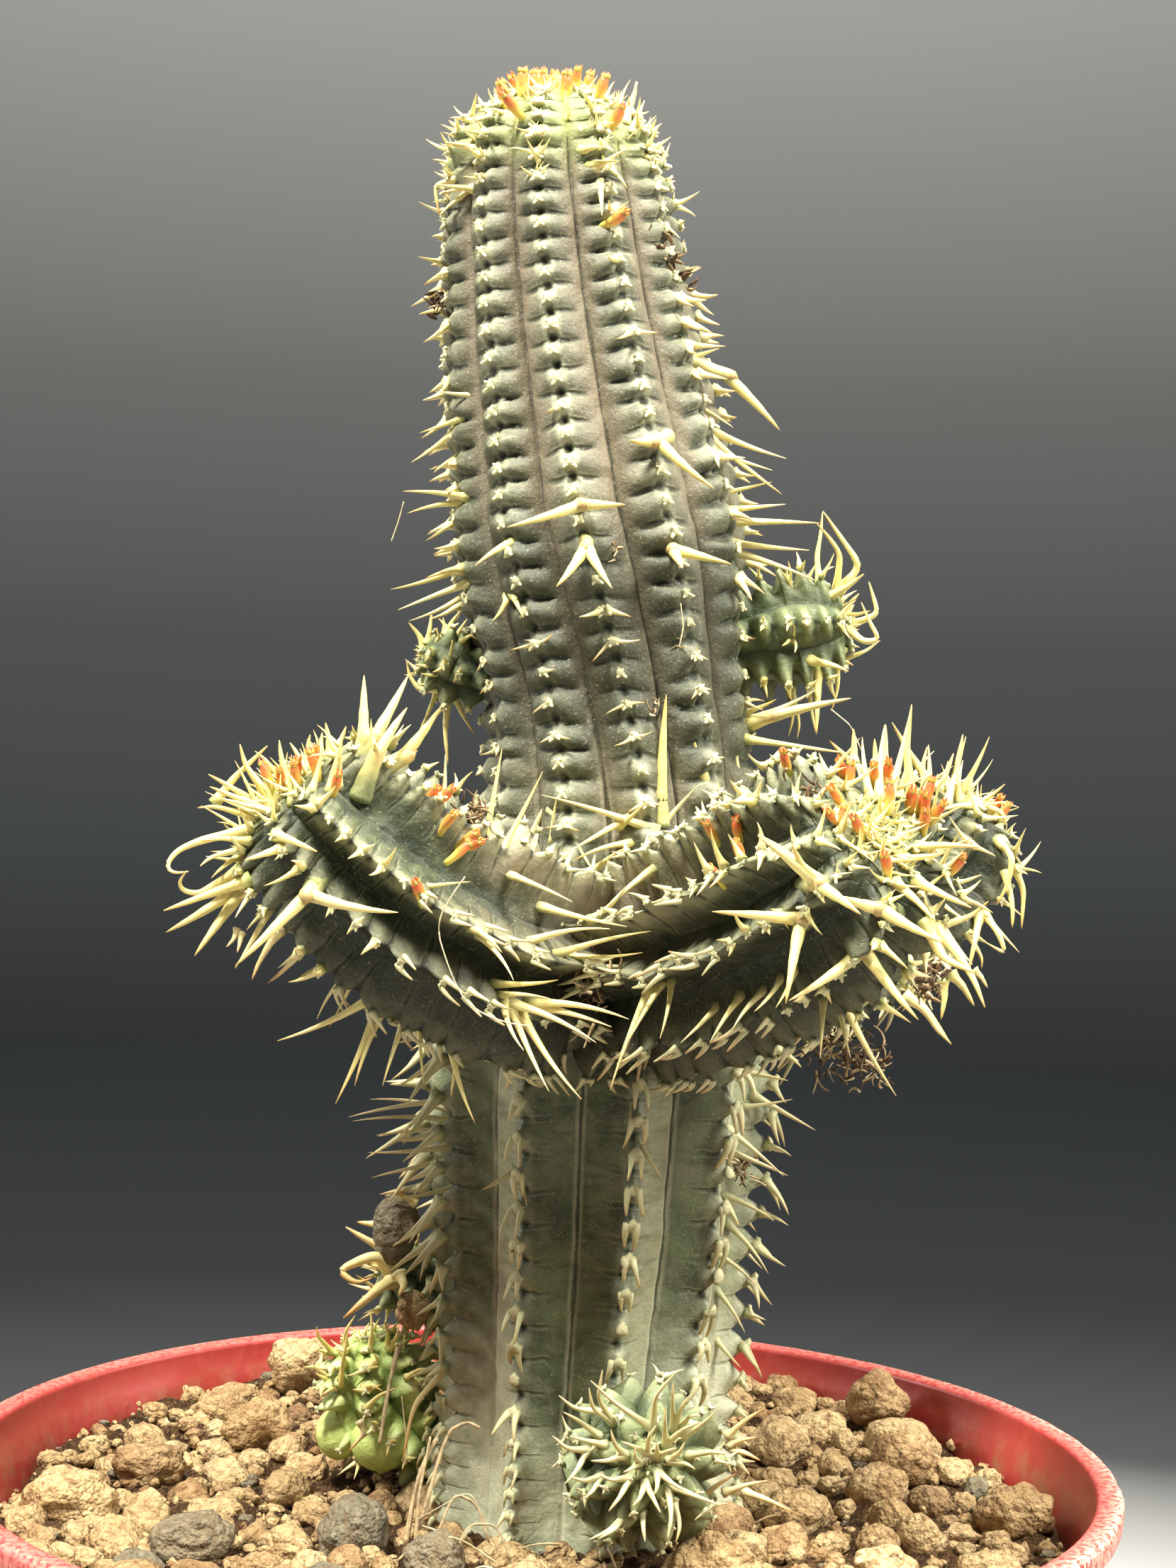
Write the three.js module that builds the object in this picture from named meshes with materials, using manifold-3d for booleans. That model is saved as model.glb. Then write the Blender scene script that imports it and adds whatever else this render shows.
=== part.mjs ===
// A potted euphorbia: a ribbed columnar stem with three arms, five offsets, forked spines and
// flower buds, standing in gritty potting mix in a round plastic nursery pot.
// Millimetres, +Z up. Origin: centre of the pot's foot, on the surface the pot stands on.
import * as THREE from "three";
import { mergeVertices } from "three/addons/utils/BufferGeometryUtils.js";
import Module from "manifold-3d";

// ---------------------------------------------------------------- driving dimensions
const GAP = 0.3; // clearance between neighbouring pieces
const POT_RIM_R = 100; // outside radius of the lip
const POT_H = 150; // foot to the top of the lip
const LIP_W = 4.7; // radial width of the lip
const LIP_H = 4.6; // height of the lip's outer face
const WALL = 2.2; // wall thickness
const FOOT_R = 72.5; // outside radius at the foot
const FLOOR_Z = 5; // inside floor
const SOIL_Z = 137.4; // level of the mix at the front
const SOIL_RISE = 5.5; // how much higher it is heaped at the back

// Main stem: [x, y, z, radius over the rib crests]
const STEM = [
  [8.0, 5, 114, 17], [8.0, 5, 124, 23.5], [8.0, 5, 133.7, 27.1], [8.1, 5, 141.9, 26.4], [8.3, 5, 155.7, 25.6],
  [8.6, 5, 169.4, 26.0], [8.8, 5, 183.2, 26.7], [8.9, 5, 196.9, 27.8], [9.0, 5, 210.6, 28.8],
  [9.5, 5, 224.4, 28.6], [10.5, 5, 245.0, 26.3], [11.1, 5, 258.7, 23.9], [10.9, 5, 265.5, 23.4],
  [10.6, 5, 272.3, 23.0], [9.7, 5, 279.2, 22.6], [9.0, 5, 286.0, 23.1], [7.9, 5, 292.8, 23.9],
  [7.0, 5, 299.6, 24.9], [6.1, 5, 306.4, 25.3], [5.0, 5, 313.2, 25.1], [3.9, 5, 320.0, 24.3],
  [2.5, 5, 326.8, 23.5], [1.3, 5, 333.6, 22.9], [0.0, 5, 340.4, 22.3], [-1.1, 5, 347.1, 21.5],
  [-2.0, 5, 353.9, 20.9], [-2.9, 5, 360.7, 20.5], [-3.5, 5, 366.0, 19.6], [-4.1, 5, 372.5, 18.4],
];
const STEM_TOP = [-4.6, 5, 385.0]; // centre of the crown
// Directions of the rib crests in degrees about the axis, 0 towards -Y and 90 towards +X: the ribs
// wander a little as they climb, so they are given at several heights
const CREST_Z = [160, 190, 222, 250, 312];
const CRESTS = [
  [-64, -26, 9, 42, 80, 115, 147, 179, 211, 241, 268],
  [-64, -26, 12, 48, 82, 115, 147, 179, 211, 241, 268],
  [-64, -26, 12, 48, 82, 115, 147, 179, 211, 241, 268],
  [-56, -19, 14.5, 47, 84, 118, 150, 182, 213, 243, 272],
  [-69, -38, -8, 26, 60, 93, 126, 159, 192, 225, 258],
];

// Arms: [x, y, z, radius] along each axis, the last one is the growing point
const LEFT_ARM = [
  [8, 0, 227, 15], [3.5, -16, 234.5, 18.5], [-8, -26, 238, 19], [-20.5, -31, 244.5, 19],
  [-31, -33.5, 252.5, 17.8], [-38, -35, 259.0, 15.2],
];
const LEFT_TIP = [-42.5, -36, 263.5];
const RIGHT_ARM = [
  [9.4, 0, 227, 15], [14, -17, 234.5, 18.5], [25, -28, 239, 19.5], [35, -38, 245.5, 20],
  [42.5, -47, 252.0, 19.5], [46.5, -52.5, 256.0, 17],
];
const RIGHT_TIP = [49.8, -57.5, 260.2];
const REAR_ARM = [
  [20, 9, 227, 13], [34, 12, 231, 15], [50, 16, 239, 16], [62, 19, 248, 16.2], [69, 20.5, 256, 15],
];
const REAR_TIP = [73.5, 21.5, 264.5];
const LEFT_RIBS = [-62, -20, 10, 62, 105, 150, 200, 250];
const RIGHT_RIBS = [-110, -72, -38, -8, 32, 70, 110, 155, 200];
const REAR_RIBS = [-80, -35, 10, 55, 100, 145, 190, 235];

// Offsets: base point on the stem, centre of the head, head radius, ribs
const OFFSETS = {
  offset_upper_left: { from: [-8, 7, 282], to: [-18.3, 8.5, 285.0], tip: [-24.6, 8.5, 287.8], r: 6.4, ribs: 6 },
  offset_upper_right: { from: [26, 7, 289], to: [39.5, 8, 292.6], tip: [50.2, 8, 295.6], r: 10.2, ribs: 6 },
  offset_base_front: { from: [14, -12, 151], to: [18.2, -27, 155.5], tip: [19.6, -38, 158.8], r: 11.3, ribs: 9 },
  offset_base_left: { from: [-15, 14, 142], to: [-28.2, 14, 155], tip: [-31.0, 12.5, 166.0], r: 9.8, ribs: 7 },
  offset_back_left: { from: [-8, 12, 170], to: [-22.5, 14, 174.5], tip: [-28, 14, 179], r: 6.2, ribs: 6 },
};

// Stones of the grit that are big enough to name: [x, y, z, half sizes, turn in degrees]
const STONES = [
  [-79.5, -5, 140.5, 8.4, 6.2, 5.4, 10], [-55.3, -24, 140.0, 7.0, 5.6, 5.0, 35],
  [-29.5, -20, 140.6, 7.2, 6.0, 6.4, 70], [-68.5, 13, 140.5, 6.6, 4.6, 4.2, 5],
  [-48, 66, 142.5, 6.0, 5.0, 6.0, 20], [-15.5, -29, 139.6, 5.2, 4.8, 4.6, 50],
  [66, 55, 142.0, 5.6, 5.0, 5.2, 15], [84.5, 4, 140.5, 5.4, 6.4, 4.8, 80],
  [67.5, 30, 140.5, 6.2, 5.6, 5.0, 30], [45, 38, 140.0, 6.8, 5.2, 4.6, 60],
  [46, 2, 140.0, 6.0, 5.4, 4.8, 0], [30, -30, 139.8, 7.8, 5.8, 4.8, 25],
  [57, -30, 139.8, 6.0, 5.0, 4.6, 75], [-52, 36, 140.2, 6.4, 5.6, 4.8, 40],
  [6, -62, 139.8, 6.6, 5.4, 4.8, 12], [-38, -62, 139.8, 6.0, 5.2, 4.6, 64],
];
const WEDGED_STONES = {
  wedged_stone_dark: [-25.8, 8.0, 185.7, 4.2, 4.0, 6.2, 12],
  wedged_stone_brown: [-22.0, 4.0, 172.6, 3.1, 3.0, 3.3, 30],
};

// Forked spines: [foot of the stalk, fork, one or two prong tips]
const FORKED_SPINES = [
  [[-30.1, -35.0, 269.4], [-30.2, -35.0, 271.9], [-30.9, -33.0, 281.8]],
  [[-29.4, -35.0, 269.5], [-28.6, -35.0, 272.0], [-24.0, -31.0, 282.1]],
  [[-29.2, -45.8, 263.4], [-27.5, -43.8, 269.5], [-23.3, -40.8, 276.7]],
  [[-26.7, -39.8, 267.2], [-23.1, -39.8, 269.2], [-18.2, -39.8, 276.9]],
  [[-37.4, -47.8, 247.2], [-36.7, -53.8, 247.5], [-22.6, -55.8, 245.5], [-46.6, -57.8, 236.8]],
  [[-48.1, -35.0, 247.7], [-48.1, -39.0, 247.8], [-59.9, -41.0, 240.3], [-54.7, -45.0, 237.1]],
  [[17.5, -16.4, 260.1], [17.6, -16.4, 264.3], [17.9, -16.4, 280.8]],
  [[26.3, -11.2, 262.4], [25.4, -12.2, 265.7], [21.6, -13.2, 276.9]],
  [[32.0, 0.0, 275.5], [36.6, -4.0, 278.1], [49.4, -8.0, 281.4]],
  [[39.9, -61.7, 251.6], [39.7, -66.7, 252.5], [30.3, -69.7, 259.2], [45.2, -73.7, 248.5]],
  [[37.8, -60.0, 246.4], [37.4, -65.0, 246.9], [24.0, -70.0, 248.0], [35.0, -72.0, 235.2]],
  [[47.9, -56.3, 241.7], [47.3, -61.3, 242.3], [35.9, -66.3, 235.1], [54.7, -68.3, 233.1]],
  [[49.5, -59.6, 248.5], [48.9, -64.6, 248.9], [42.7, -69.6, 250.8], [57.1, -73.6, 244.8]],
  [[3.1, -18.8, 311.2], [3.1, -23.8, 311.1], [-9.1, -27.8, 306.6], [9.9, -27.8, 310.9]],
  [[3.9, -18.7, 304.6], [3.9, -23.7, 304.2], [-0.7, -30.7, 297.1], [8.2, -30.7, 297.1]],
  [[14.8, -14.6, 322.7], [14.7, -18.6, 322.3], [10.3, -21.6, 322.1], [24.5, -22.6, 314.4]],
  [[18.3, -15.6, 305.0], [18.2, -19.6, 304.6], [19.6, -25.6, 301.1], [27.6, -23.6, 302.2]],
  [[22.8, 0.0, 338.8], [27.5, -2.0, 336.2], [36.2, -3.0, 327.0]],
];
// Flower buds: [foot, top]
const BUDS = [
  [[-12.9, -9.0, 380.0], [-14.4, -10.0, 384.4]],
  [[-9.8, -5.0, 383.0], [-9.7, -6.0, 388.1]],
  [[-7.5, -2.0, 383.8], [-8.0, -3.0, 387.8]],
  [[-4.9, 1.0, 385.0], [-4.3, 0.0, 388.5]],
  [[-2.6, -6.0, 382.2], [-2.4, -7.0, 386.6]],
  [[-44.3, -40.6, 263.1], [-45.6, -41.5, 267.4]],
  [[-36.8, -43.0, 265.0], [-38.0, -43.9, 269.4]],
  [[-15.8, -46.0, 253.1], [-12.5, -46.7, 256.2]],
  [[43.2, -60.7, 259.3], [43.6, -61.4, 263.8]],
  [[45.1, -52.4, 265.8], [45.2, -53.0, 270.4]],
  [[50.5, -56.9, 263.2], [50.6, -57.5, 267.7]],
  [[57.3, -48.0, 263.8], [58.2, -48.7, 268.2]],
];

// ---------------------------------------------------------------- solids
const wasm = await Module();
wasm.setup();

function solidOf(geometry) {
  const g = geometry.index ? geometry.toNonIndexed() : geometry.clone();
  const bare = new THREE.BufferGeometry().setAttribute("position", g.getAttribute("position"));
  const merged = mergeVertices(bare, 1e-3);
  return new wasm.Manifold(
    new wasm.Mesh({
      numProp: 3,
      vertProperties: merged.attributes.position.array,
      triVerts: new Uint32Array(merged.index.array),
    }),
  );
}
// A manifold solid as a BufferGeometry, keeping only its largest body
function geometryOf(solid) {
  const bodies = solid.decompose();
  bodies.sort((a, b) => b.volume() - a.volume());
  const m = bodies[0].getMesh();
  const p = new Float32Array(m.numVert * 3);
  for (let i = 0; i < m.numVert; i++) p.set(m.vertProperties.subarray(i * m.numProp, i * m.numProp + 3), i * 3);
  const g = new THREE.BufferGeometry().setAttribute("position", new THREE.BufferAttribute(p, 3));
  g.setIndex(new THREE.BufferAttribute(new Uint32Array(m.triVerts), 1));
  g.computeVertexNormals();
  return g;
}
const rad = THREE.MathUtils.degToRad;
const V = (a) => new THREE.Vector3(a[0], a[1], a[2]);
// Repeatable unevenness from a position
const wob = (x, y, z) => Math.sin(x * 1.7 + 2.1 * y + 0.6 * z) * 0.6 + Math.sin(3.1 * x - 1.3 * y + 2.3 * z + 1.7) * 0.4;

// A ribbed stem lofted along its axis: two or four points round each rib, crest and furrow.
function ribbedStem(points, tip, crests, { depth = 0.16, rows = 16, capRows = 3, perRib = 4, grow = 0 } = {}) {
  const curve = new THREE.CatmullRomCurve3(points.map(V), false, "centripetal");
  const radii = points.map((q) => q[3]);
  const n = crests(0).length;
  const around = n * perRib;
  const total = rows + capRows;
  const geometry = new THREE.SphereGeometry(1, around, total + 1);
  const pos = geometry.attributes.position, uv = geometry.attributes.uv;
  const end = V(points[points.length - 1]), top = V(tip);
  const capH = end.distanceTo(top);
  const ringOf = (row) => {
    if (row <= 0) return { c: curve.getPointAt(0), t: curve.getTangentAt(0), r: 0, s: 0 };
    if (row <= rows) {
      const u = (row - 1) / (rows - 1);
      const c = curve.getPointAt(u);
      const v = curve.getUtoTmapping(u) * (points.length - 1);
      const k = Math.min(points.length - 2, Math.floor(v)), f = v - k;
      return { c, t: curve.getTangentAt(u), r: radii[k] * (1 - f) + radii[k + 1] * f, s: u };
    }
    const a = (Math.PI / 2) * ((row - rows) / (capRows + 1));
    const dir = top.clone().sub(end).normalize();
    return {
      c: end.clone().addScaledVector(dir, (capH + grow) * Math.sin(a)),
      t: dir,
      r: row > total ? 0 : radii[radii.length - 1] * Math.cos(a),
      s: 1,
    };
  };
  const front = new THREE.Vector3(0, -1, 0);
  for (let i = 0; i < pos.count; i++) {
    const row = Math.round((1 - uv.getY(i)) * (total + 1));
    const g = ringOf(total + 1 - row); // the sphere's first row is its top pole
    const col = Math.round(uv.getX(i) * around) % around;
    const rib = Math.floor(col / perRib), f = (col % perRib) / perRib;
    const list = crests(g.c.z);
    const a0 = list[rib], a1 = rib + 1 < n ? list[rib + 1] : list[0] + 360;
    const angle = rad(a0 + (a1 - a0) * f);
    const groove = 1 - Math.pow(Math.abs(2 * f - 1), 1.35);
    const r = g.r > 0 ? g.r * (1 - depth * groove) + grow : 0;
    const e1 = front.clone().addScaledVector(g.t, -front.dot(g.t)).normalize();
    const e2 = g.t.clone().cross(e1);
    const q = g.c.clone().addScaledVector(e1, r * Math.cos(angle)).addScaledVector(e2, r * Math.sin(angle));
    pos.setXYZ(i, q.x, q.y, q.z);
  }
  return solidOf(geometry);
}
const stemCrests = (z) => {
  let k = 0;
  while (k < CREST_Z.length - 2 && z > CREST_Z[k + 1]) k++;
  const f = THREE.MathUtils.clamp((z - CREST_Z[k]) / (CREST_Z[k + 1] - CREST_Z[k]), 0, 1);
  return CRESTS[k].map((a, i) => a * (1 - f) + CRESTS[k + 1][i] * f);
};
const makeStem = (grow) => ribbedStem(STEM, STEM_TOP, stemCrests, { depth: 0.15, rows: 22, capRows: 3, perRib: 4, grow });
const stem = makeStem(0), stemClear = makeStem(GAP);

const makeArm = (pts, tip, ribs, grow, rows = 9) =>
  ribbedStem(pts, tip, () => ribs, { depth: 0.2, rows, capRows: 3, perRib: 4, grow });
let leftArm = makeArm(LEFT_ARM, LEFT_TIP, LEFT_RIBS, 0).subtract(stemClear);
let rightArm = makeArm(RIGHT_ARM, RIGHT_TIP, RIGHT_RIBS, 0)
  .subtract(stemClear)
  .subtract(makeArm(LEFT_ARM, LEFT_TIP, LEFT_RIBS, GAP));
let rearArm = makeArm(REAR_ARM, REAR_TIP, REAR_RIBS, 0)
  .subtract(stemClear)
  .subtract(makeArm(RIGHT_ARM, RIGHT_TIP, RIGHT_RIBS, GAP));

const offsets = {};
const makeOffset = (o, grow) => {
  const list = Array.from({ length: o.ribs }, (_, i) => -20 + (i * 360) / o.ribs);
  const mid = V(o.from).lerp(V(o.to), 0.5).toArray();
  return ribbedStem(
    [[...o.from, o.r * 0.55], [...mid, o.r * 0.8], [...o.to, o.r]], o.tip, () => list,
    { depth: 0.16, rows: 4, capRows: 3, perRib: 2, grow },
  );
};
for (const [name, o] of Object.entries(OFFSETS)) offsets[name] = makeOffset(o, 0).subtract(stemClear);

const rise = (y) => SOIL_RISE * THREE.MathUtils.smoothstep(y, 0, 75);

// Stones: rounded lumps with uneven sides
function stone([x, y, z, a, b, c, turn], grow = 0, lift = rise(y)) {
  const g = mergeVertices(new THREE.IcosahedronGeometry(1, 1).deleteAttribute("normal").deleteAttribute("uv"), 1e-4);
  const p = g.attributes.position;
  for (let i = 0; i < p.count; i++) {
    const n = new THREE.Vector3().fromBufferAttribute(p, i).normalize();
    const k = 1 + 0.13 * wob(n.x * 2 + x, n.y * 2 + y, n.z * 2 + z);
    p.setXYZ(i, n.x * (a * k + grow), n.y * (b * k + grow), n.z * (c * k + grow));
  }
  g.applyMatrix4(new THREE.Matrix4().makeRotationZ(rad(turn))).translate(x, y, z + lift);
  return solidOf(g);
}

// ---------------------------------------------------------------- pot and mix
const outer = (z) => FOOT_R + ((POT_RIM_R - 2.8 - FOOT_R) * z) / POT_H;
const inner = (z) => outer(z) - WALL;
const lipZ = POT_H - LIP_H;
const potProfile = [
  [0, 2.6], [FOOT_R - 6, 2.6], [FOOT_R - 5, 0], [FOOT_R - 0.8, 0], [outer(1.2), 1.2], [outer(50), 50], [outer(100), 100],
  [outer(lipZ - 1), lipZ - 1], [POT_RIM_R - 1.4, lipZ], [POT_RIM_R, lipZ + 1.3], [POT_RIM_R, POT_H - 1.2],
  [POT_RIM_R - 1.3, POT_H], [POT_RIM_R - LIP_W + 1.2, POT_H], [POT_RIM_R - LIP_W, POT_H - 1.1],
  [inner(lipZ - 1), lipZ - 1], [inner(100), 100], [inner(50), 50], [inner(FLOOR_Z + 2), FLOOR_Z + 2], [inner(FLOOR_Z) - 2, FLOOR_Z], [0, FLOOR_Z],
];
const upright = new THREE.Matrix4().makeRotationX(Math.PI / 2); // lathe axis from +Y to +Z
let pot = solidOf(
  new THREE.LatheGeometry(potProfile.map((q) => new THREE.Vector2(q[0], q[1])), 44).applyMatrix4(upright),
);
for (let i = 0; i < 6; i++) {
  const hole = new THREE.CylinderGeometry(5, 5, 12, 12).applyMatrix4(upright);
  hole.translate(46 * Math.cos((i * Math.PI) / 3), 46 * Math.sin((i * Math.PI) / 3), 3);
  pot = pot.subtract(solidOf(hole));
}

const mixBottom = FLOOR_Z + GAP;
const mixSide = [mixBottom + 2, 50, 100, SOIL_Z - 1.6];
const mixProfile = [[0, mixBottom], [inner(mixBottom) - 2.6, mixBottom]]
  .concat(mixSide.map((z) => [inner(z) - GAP - 0.25, z]))
  .concat([[80, SOIL_Z - 0.6], [65, SOIL_Z], [50, SOIL_Z + 0.4], [36, SOIL_Z + 1.2], [18, SOIL_Z + 1.4], [0, SOIL_Z + 1.4]]);
const mixGeometry = new THREE.LatheGeometry(mixProfile.map((q) => new THREE.Vector2(q[0], q[1])), 36).applyMatrix4(upright);
{
  const p = mixGeometry.attributes.position;
  for (let i = 0; i < p.count; i++) {
    const x = p.getX(i), y = p.getY(i), r = Math.hypot(x, y);
    if (p.getZ(i) > SOIL_Z - 2) p.setZ(i, p.getZ(i) + rise(y) + 1.1 * wob(x / 14, y / 14, 0) * (1 - Math.exp(-r / 20)));
  }
}
let mix = solidOf(mixGeometry).subtract(stemClear).subtract(makeOffset(OFFSETS.offset_base_left, GAP));

const stones = {};
STONES.forEach((s, i) => {
  const name = "stone_" + String(i + 1).padStart(2, "0");
  stones[name] = stone(s).subtract(stemClear);
  mix = mix.subtract(stone(s, GAP));
});
for (const [name, s] of Object.entries(WEDGED_STONES))
  stones[name] = stone(s, 0, 0).subtract(stemClear).subtract(makeOffset(OFFSETS.offset_back_left, GAP)).subtract(makeOffset(OFFSETS.offset_base_left, GAP));

// ---------------------------------------------------------------- forked spines and buds
// A spine's prong or stalk: a cylinder between two points, thinner at its far end
function taper(a, b, ra, rb, sides = 6, grow = 0) {
  const A = V(a), B = V(b), d = B.clone().sub(A);
  const g = new THREE.CylinderGeometry(rb + grow, ra + grow, d.length() + 2 * grow, sides);
  g.applyQuaternion(new THREE.Quaternion().setFromUnitVectors(new THREE.Vector3(0, 1, 0), d.clone().normalize()));
  g.translate(...A.clone().add(B).multiplyScalar(0.5).toArray());
  return solidOf(g);
}
function forkedSpine([foot, knee, ...tips], grow = 0) {
  let s = taper(foot, knee, 1.4, 1.15, 6, grow);
  for (const t of tips) s = s.add(taper(V(knee).lerp(V(foot), 0.25).toArray(), t, 1.0, 0.2, 5, grow));
  return s;
}
const budShape = ([foot, top], grow = 0) => {
  const mid = V(foot).lerp(V(top), 0.55).toArray();
  return taper(foot, mid, 0.9, 1.3, 7, grow).add(taper(mid, top, 1.3, 0.8, 7, grow));
};
const taken = [stemClear, makeArm(LEFT_ARM, LEFT_TIP, LEFT_RIBS, GAP), makeArm(RIGHT_ARM, RIGHT_TIP, RIGHT_RIBS, GAP)]
  .concat([makeArm(REAR_ARM, REAR_TIP, REAR_RIBS, GAP)], Object.values(OFFSETS).map((o) => makeOffset(o, GAP)));
// Trims a small piece against everything placed before it, then claims its own place
const place = (make, spec) => {
  const s = taken.reduce((a, b) => a.subtract(b), make(spec));
  taken.push(make(spec, GAP));
  return s;
};
const spines = {}, buds = {};
FORKED_SPINES.forEach((s, i) => (spines["forked_spine_" + String(i + 1).padStart(2, "0")] = place(forkedSpine, s)));
BUDS.forEach((b, i) => (buds["flower_bud_" + String(i + 1).padStart(2, "0")] = place(budShape, b)));

// ---------------------------------------------------------------- scene graph
const finish = (color, roughness, metalness = 0) => new THREE.MeshStandardMaterial({ color, roughness, metalness });
const plastic = finish(0xc9524a, 0.45);
const mixFinish = finish(0x8a6a45, 0.95);
const skin = finish(0x6f7861, 0.62);
const armSkin = finish(0x66705a, 0.62);
const freshSkin = finish(0x8fa35c, 0.55);
const pumice = finish(0xc39a62, 0.9);
const greyStone = finish(0x77746a, 0.85);
const spineFinish = finish(0xdccf8e, 0.5);
const budFinish = finish(0xcf5a2a, 0.5);

const plant = new THREE.Group();
const add = (name, solid, material) => {
  const mesh = new THREE.Mesh(geometryOf(solid), material);
  mesh.name = name;
  plant.add(mesh);
};
add("pot", pot, plastic);
add("potting_mix", mix, mixFinish);
add("main_stem", stem, skin);
add("left_arm", leftArm, armSkin);
add("right_arm", rightArm, armSkin);
add("rear_arm", rearArm, armSkin);
for (const [name, s] of Object.entries(offsets)) add(name, s, name === "offset_base_left" ? freshSkin : skin);
Object.entries(stones).forEach(([name, s], i) => add(name, s, [1, 2, 5, 16].includes(i) ? greyStone : pumice));
for (const [name, s] of Object.entries(spines)) add(name, s, spineFinish);
for (const [name, s] of Object.entries(buds)) add(name, s, budFinish);

export default plant;
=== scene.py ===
import bpy, math
import numpy as np
from mathutils import Matrix


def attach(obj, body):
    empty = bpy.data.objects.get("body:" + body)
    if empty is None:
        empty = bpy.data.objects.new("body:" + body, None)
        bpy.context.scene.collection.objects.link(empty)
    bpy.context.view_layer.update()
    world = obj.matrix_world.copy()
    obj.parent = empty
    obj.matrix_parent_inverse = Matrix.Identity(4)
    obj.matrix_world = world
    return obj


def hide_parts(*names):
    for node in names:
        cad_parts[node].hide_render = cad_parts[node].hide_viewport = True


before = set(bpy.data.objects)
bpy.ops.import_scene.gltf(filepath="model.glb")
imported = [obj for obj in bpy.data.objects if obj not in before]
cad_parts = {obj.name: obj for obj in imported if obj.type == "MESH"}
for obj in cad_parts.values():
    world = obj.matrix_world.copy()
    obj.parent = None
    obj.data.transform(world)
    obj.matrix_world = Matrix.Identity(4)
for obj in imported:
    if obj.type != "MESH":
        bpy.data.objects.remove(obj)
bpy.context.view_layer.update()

scene = bpy.context.scene
for _name in ("Cube", "Light", "Camera"):  # Blender's start-up objects, if any
    if _name in bpy.data.objects:
        bpy.data.objects.remove(bpy.data.objects[_name])
MM = 0.001

# ------------------------------------------------------------------ camera
F_PX, W_PX, H_PX = 3600.0, 1659, 2212
cam_data = bpy.data.cameras.new("camera")
cam_data.sensor_fit = "AUTO"
cam_data.sensor_width = 36.0
cam_data.lens = F_PX / H_PX * 36.0
cam_data.clip_start, cam_data.clip_end = 0.01, 30.0
cam = bpy.data.objects.new("camera", cam_data)
pitch, roll = 0.00795, 0.03297
r0_, u0_ = np.array([1.0, 0, 0]), np.array([0, math.sin(pitch), math.cos(pitch)])
fwd = np.array([0, math.cos(pitch), -math.sin(pitch)])
cr, sr = math.cos(roll), math.sin(roll)
cx_, cy_ = cr * r0_ + sr * u0_, cr * u0_ - sr * r0_
m = Matrix.Identity(4)
for i in range(3):
    m[i][0], m[i][1], m[i][2] = cx_[i], cy_[i], -fwd[i]
m[0][3], m[1][3], m[2][3] = 0.005395, -0.44041, 0.26887
cam.matrix_world = m
scene.collection.objects.link(cam)
scene.camera = cam

# ------------------------------------------------------------------ numbers
# Main stem: x, y, z, crest radius (mm)
STEM = np.array([
    [8.0, 5, 114, 17], [8.0, 5, 124, 23.5], [8.0, 5, 133.7, 27.1], [8.1, 5, 141.9, 26.4], [8.3, 5, 155.7, 25.6],
    [8.6, 5, 169.4, 26.0], [8.8, 5, 183.2, 26.7], [8.9, 5, 196.9, 27.8], [9.0, 5, 210.6, 28.8],
    [9.5, 5, 224.4, 28.6], [10.5, 5, 245.0, 26.3], [11.1, 5, 258.7, 23.9], [10.9, 5, 265.5, 23.4],
    [10.6, 5, 272.3, 23.0], [9.7, 5, 279.2, 22.6], [9.0, 5, 286.0, 23.1], [7.9, 5, 292.8, 23.9],
    [7.0, 5, 299.6, 24.9], [6.1, 5, 306.4, 25.3], [5.0, 5, 313.2, 25.1], [3.9, 5, 320.0, 24.3],
    [2.5, 5, 326.8, 23.5], [1.3, 5, 333.6, 22.9], [0.0, 5, 340.4, 22.3], [-1.1, 5, 347.1, 21.5],
    [-2.0, 5, 353.9, 20.9], [-2.9, 5, 360.7, 20.5], [-3.5, 5, 366.0, 19.6], [-4.1, 5, 372.5, 18.4]])
STEM_TIP = np.array([-4.6, 5, 385.0])
CREST_Z = [160, 190, 222, 250, 312]
CRESTS = np.array([
    [-64, -26, 9, 42, 80, 115, 147, 179, 211, 241, 268], [-64, -26, 12, 48, 82, 115, 147, 179, 211, 241, 268],
    [-64, -26, 12, 48, 82, 115, 147, 179, 211, 241, 268], [-56, -19, 14.5, 47, 84, 118, 150, 182, 213, 243, 272],
    [-69, -38, -8, 26, 60, 93, 126, 159, 192, 225, 258.]])
LEFT_ARM = np.array([[8, 0, 227, 15], [3.5, -16, 234.5, 18.5], [-8, -26, 238, 19], [-20.5, -31, 244.5, 19],
                     [-31, -33.5, 252.5, 17.8], [-38, -35, 259.0, 15.2]])
LEFT_TIP = np.array([-42.5, -36, 263.5])
RIGHT_ARM = np.array([[9.4, 0, 227, 15], [14, -17, 234.5, 18.5], [25, -28, 239, 19.5], [35, -38, 245.5, 20],
                      [42.5, -47, 252.0, 19.5], [46.5, -52.5, 256.0, 17]])
RIGHT_TIP = np.array([49.8, -57.5, 260.2])
REAR_ARM = np.array([[20, 9, 227, 13], [34, 12, 231, 15], [50, 16, 239, 16], [62, 19, 248, 16.2], [69, 20.5, 256, 15]])
REAR_TIP = np.array([73.5, 21.5, 264.5])
LEFT_RIBS = np.array([-62, -20, 10, 62, 105, 150, 200, 250.])
RIGHT_RIBS = np.array([-110, -72, -38, -8, 32, 70, 110, 155, 200.])
REAR_RIBS = np.array([-80, -35, 10, 55, 100, 145, 190, 235.])
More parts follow.
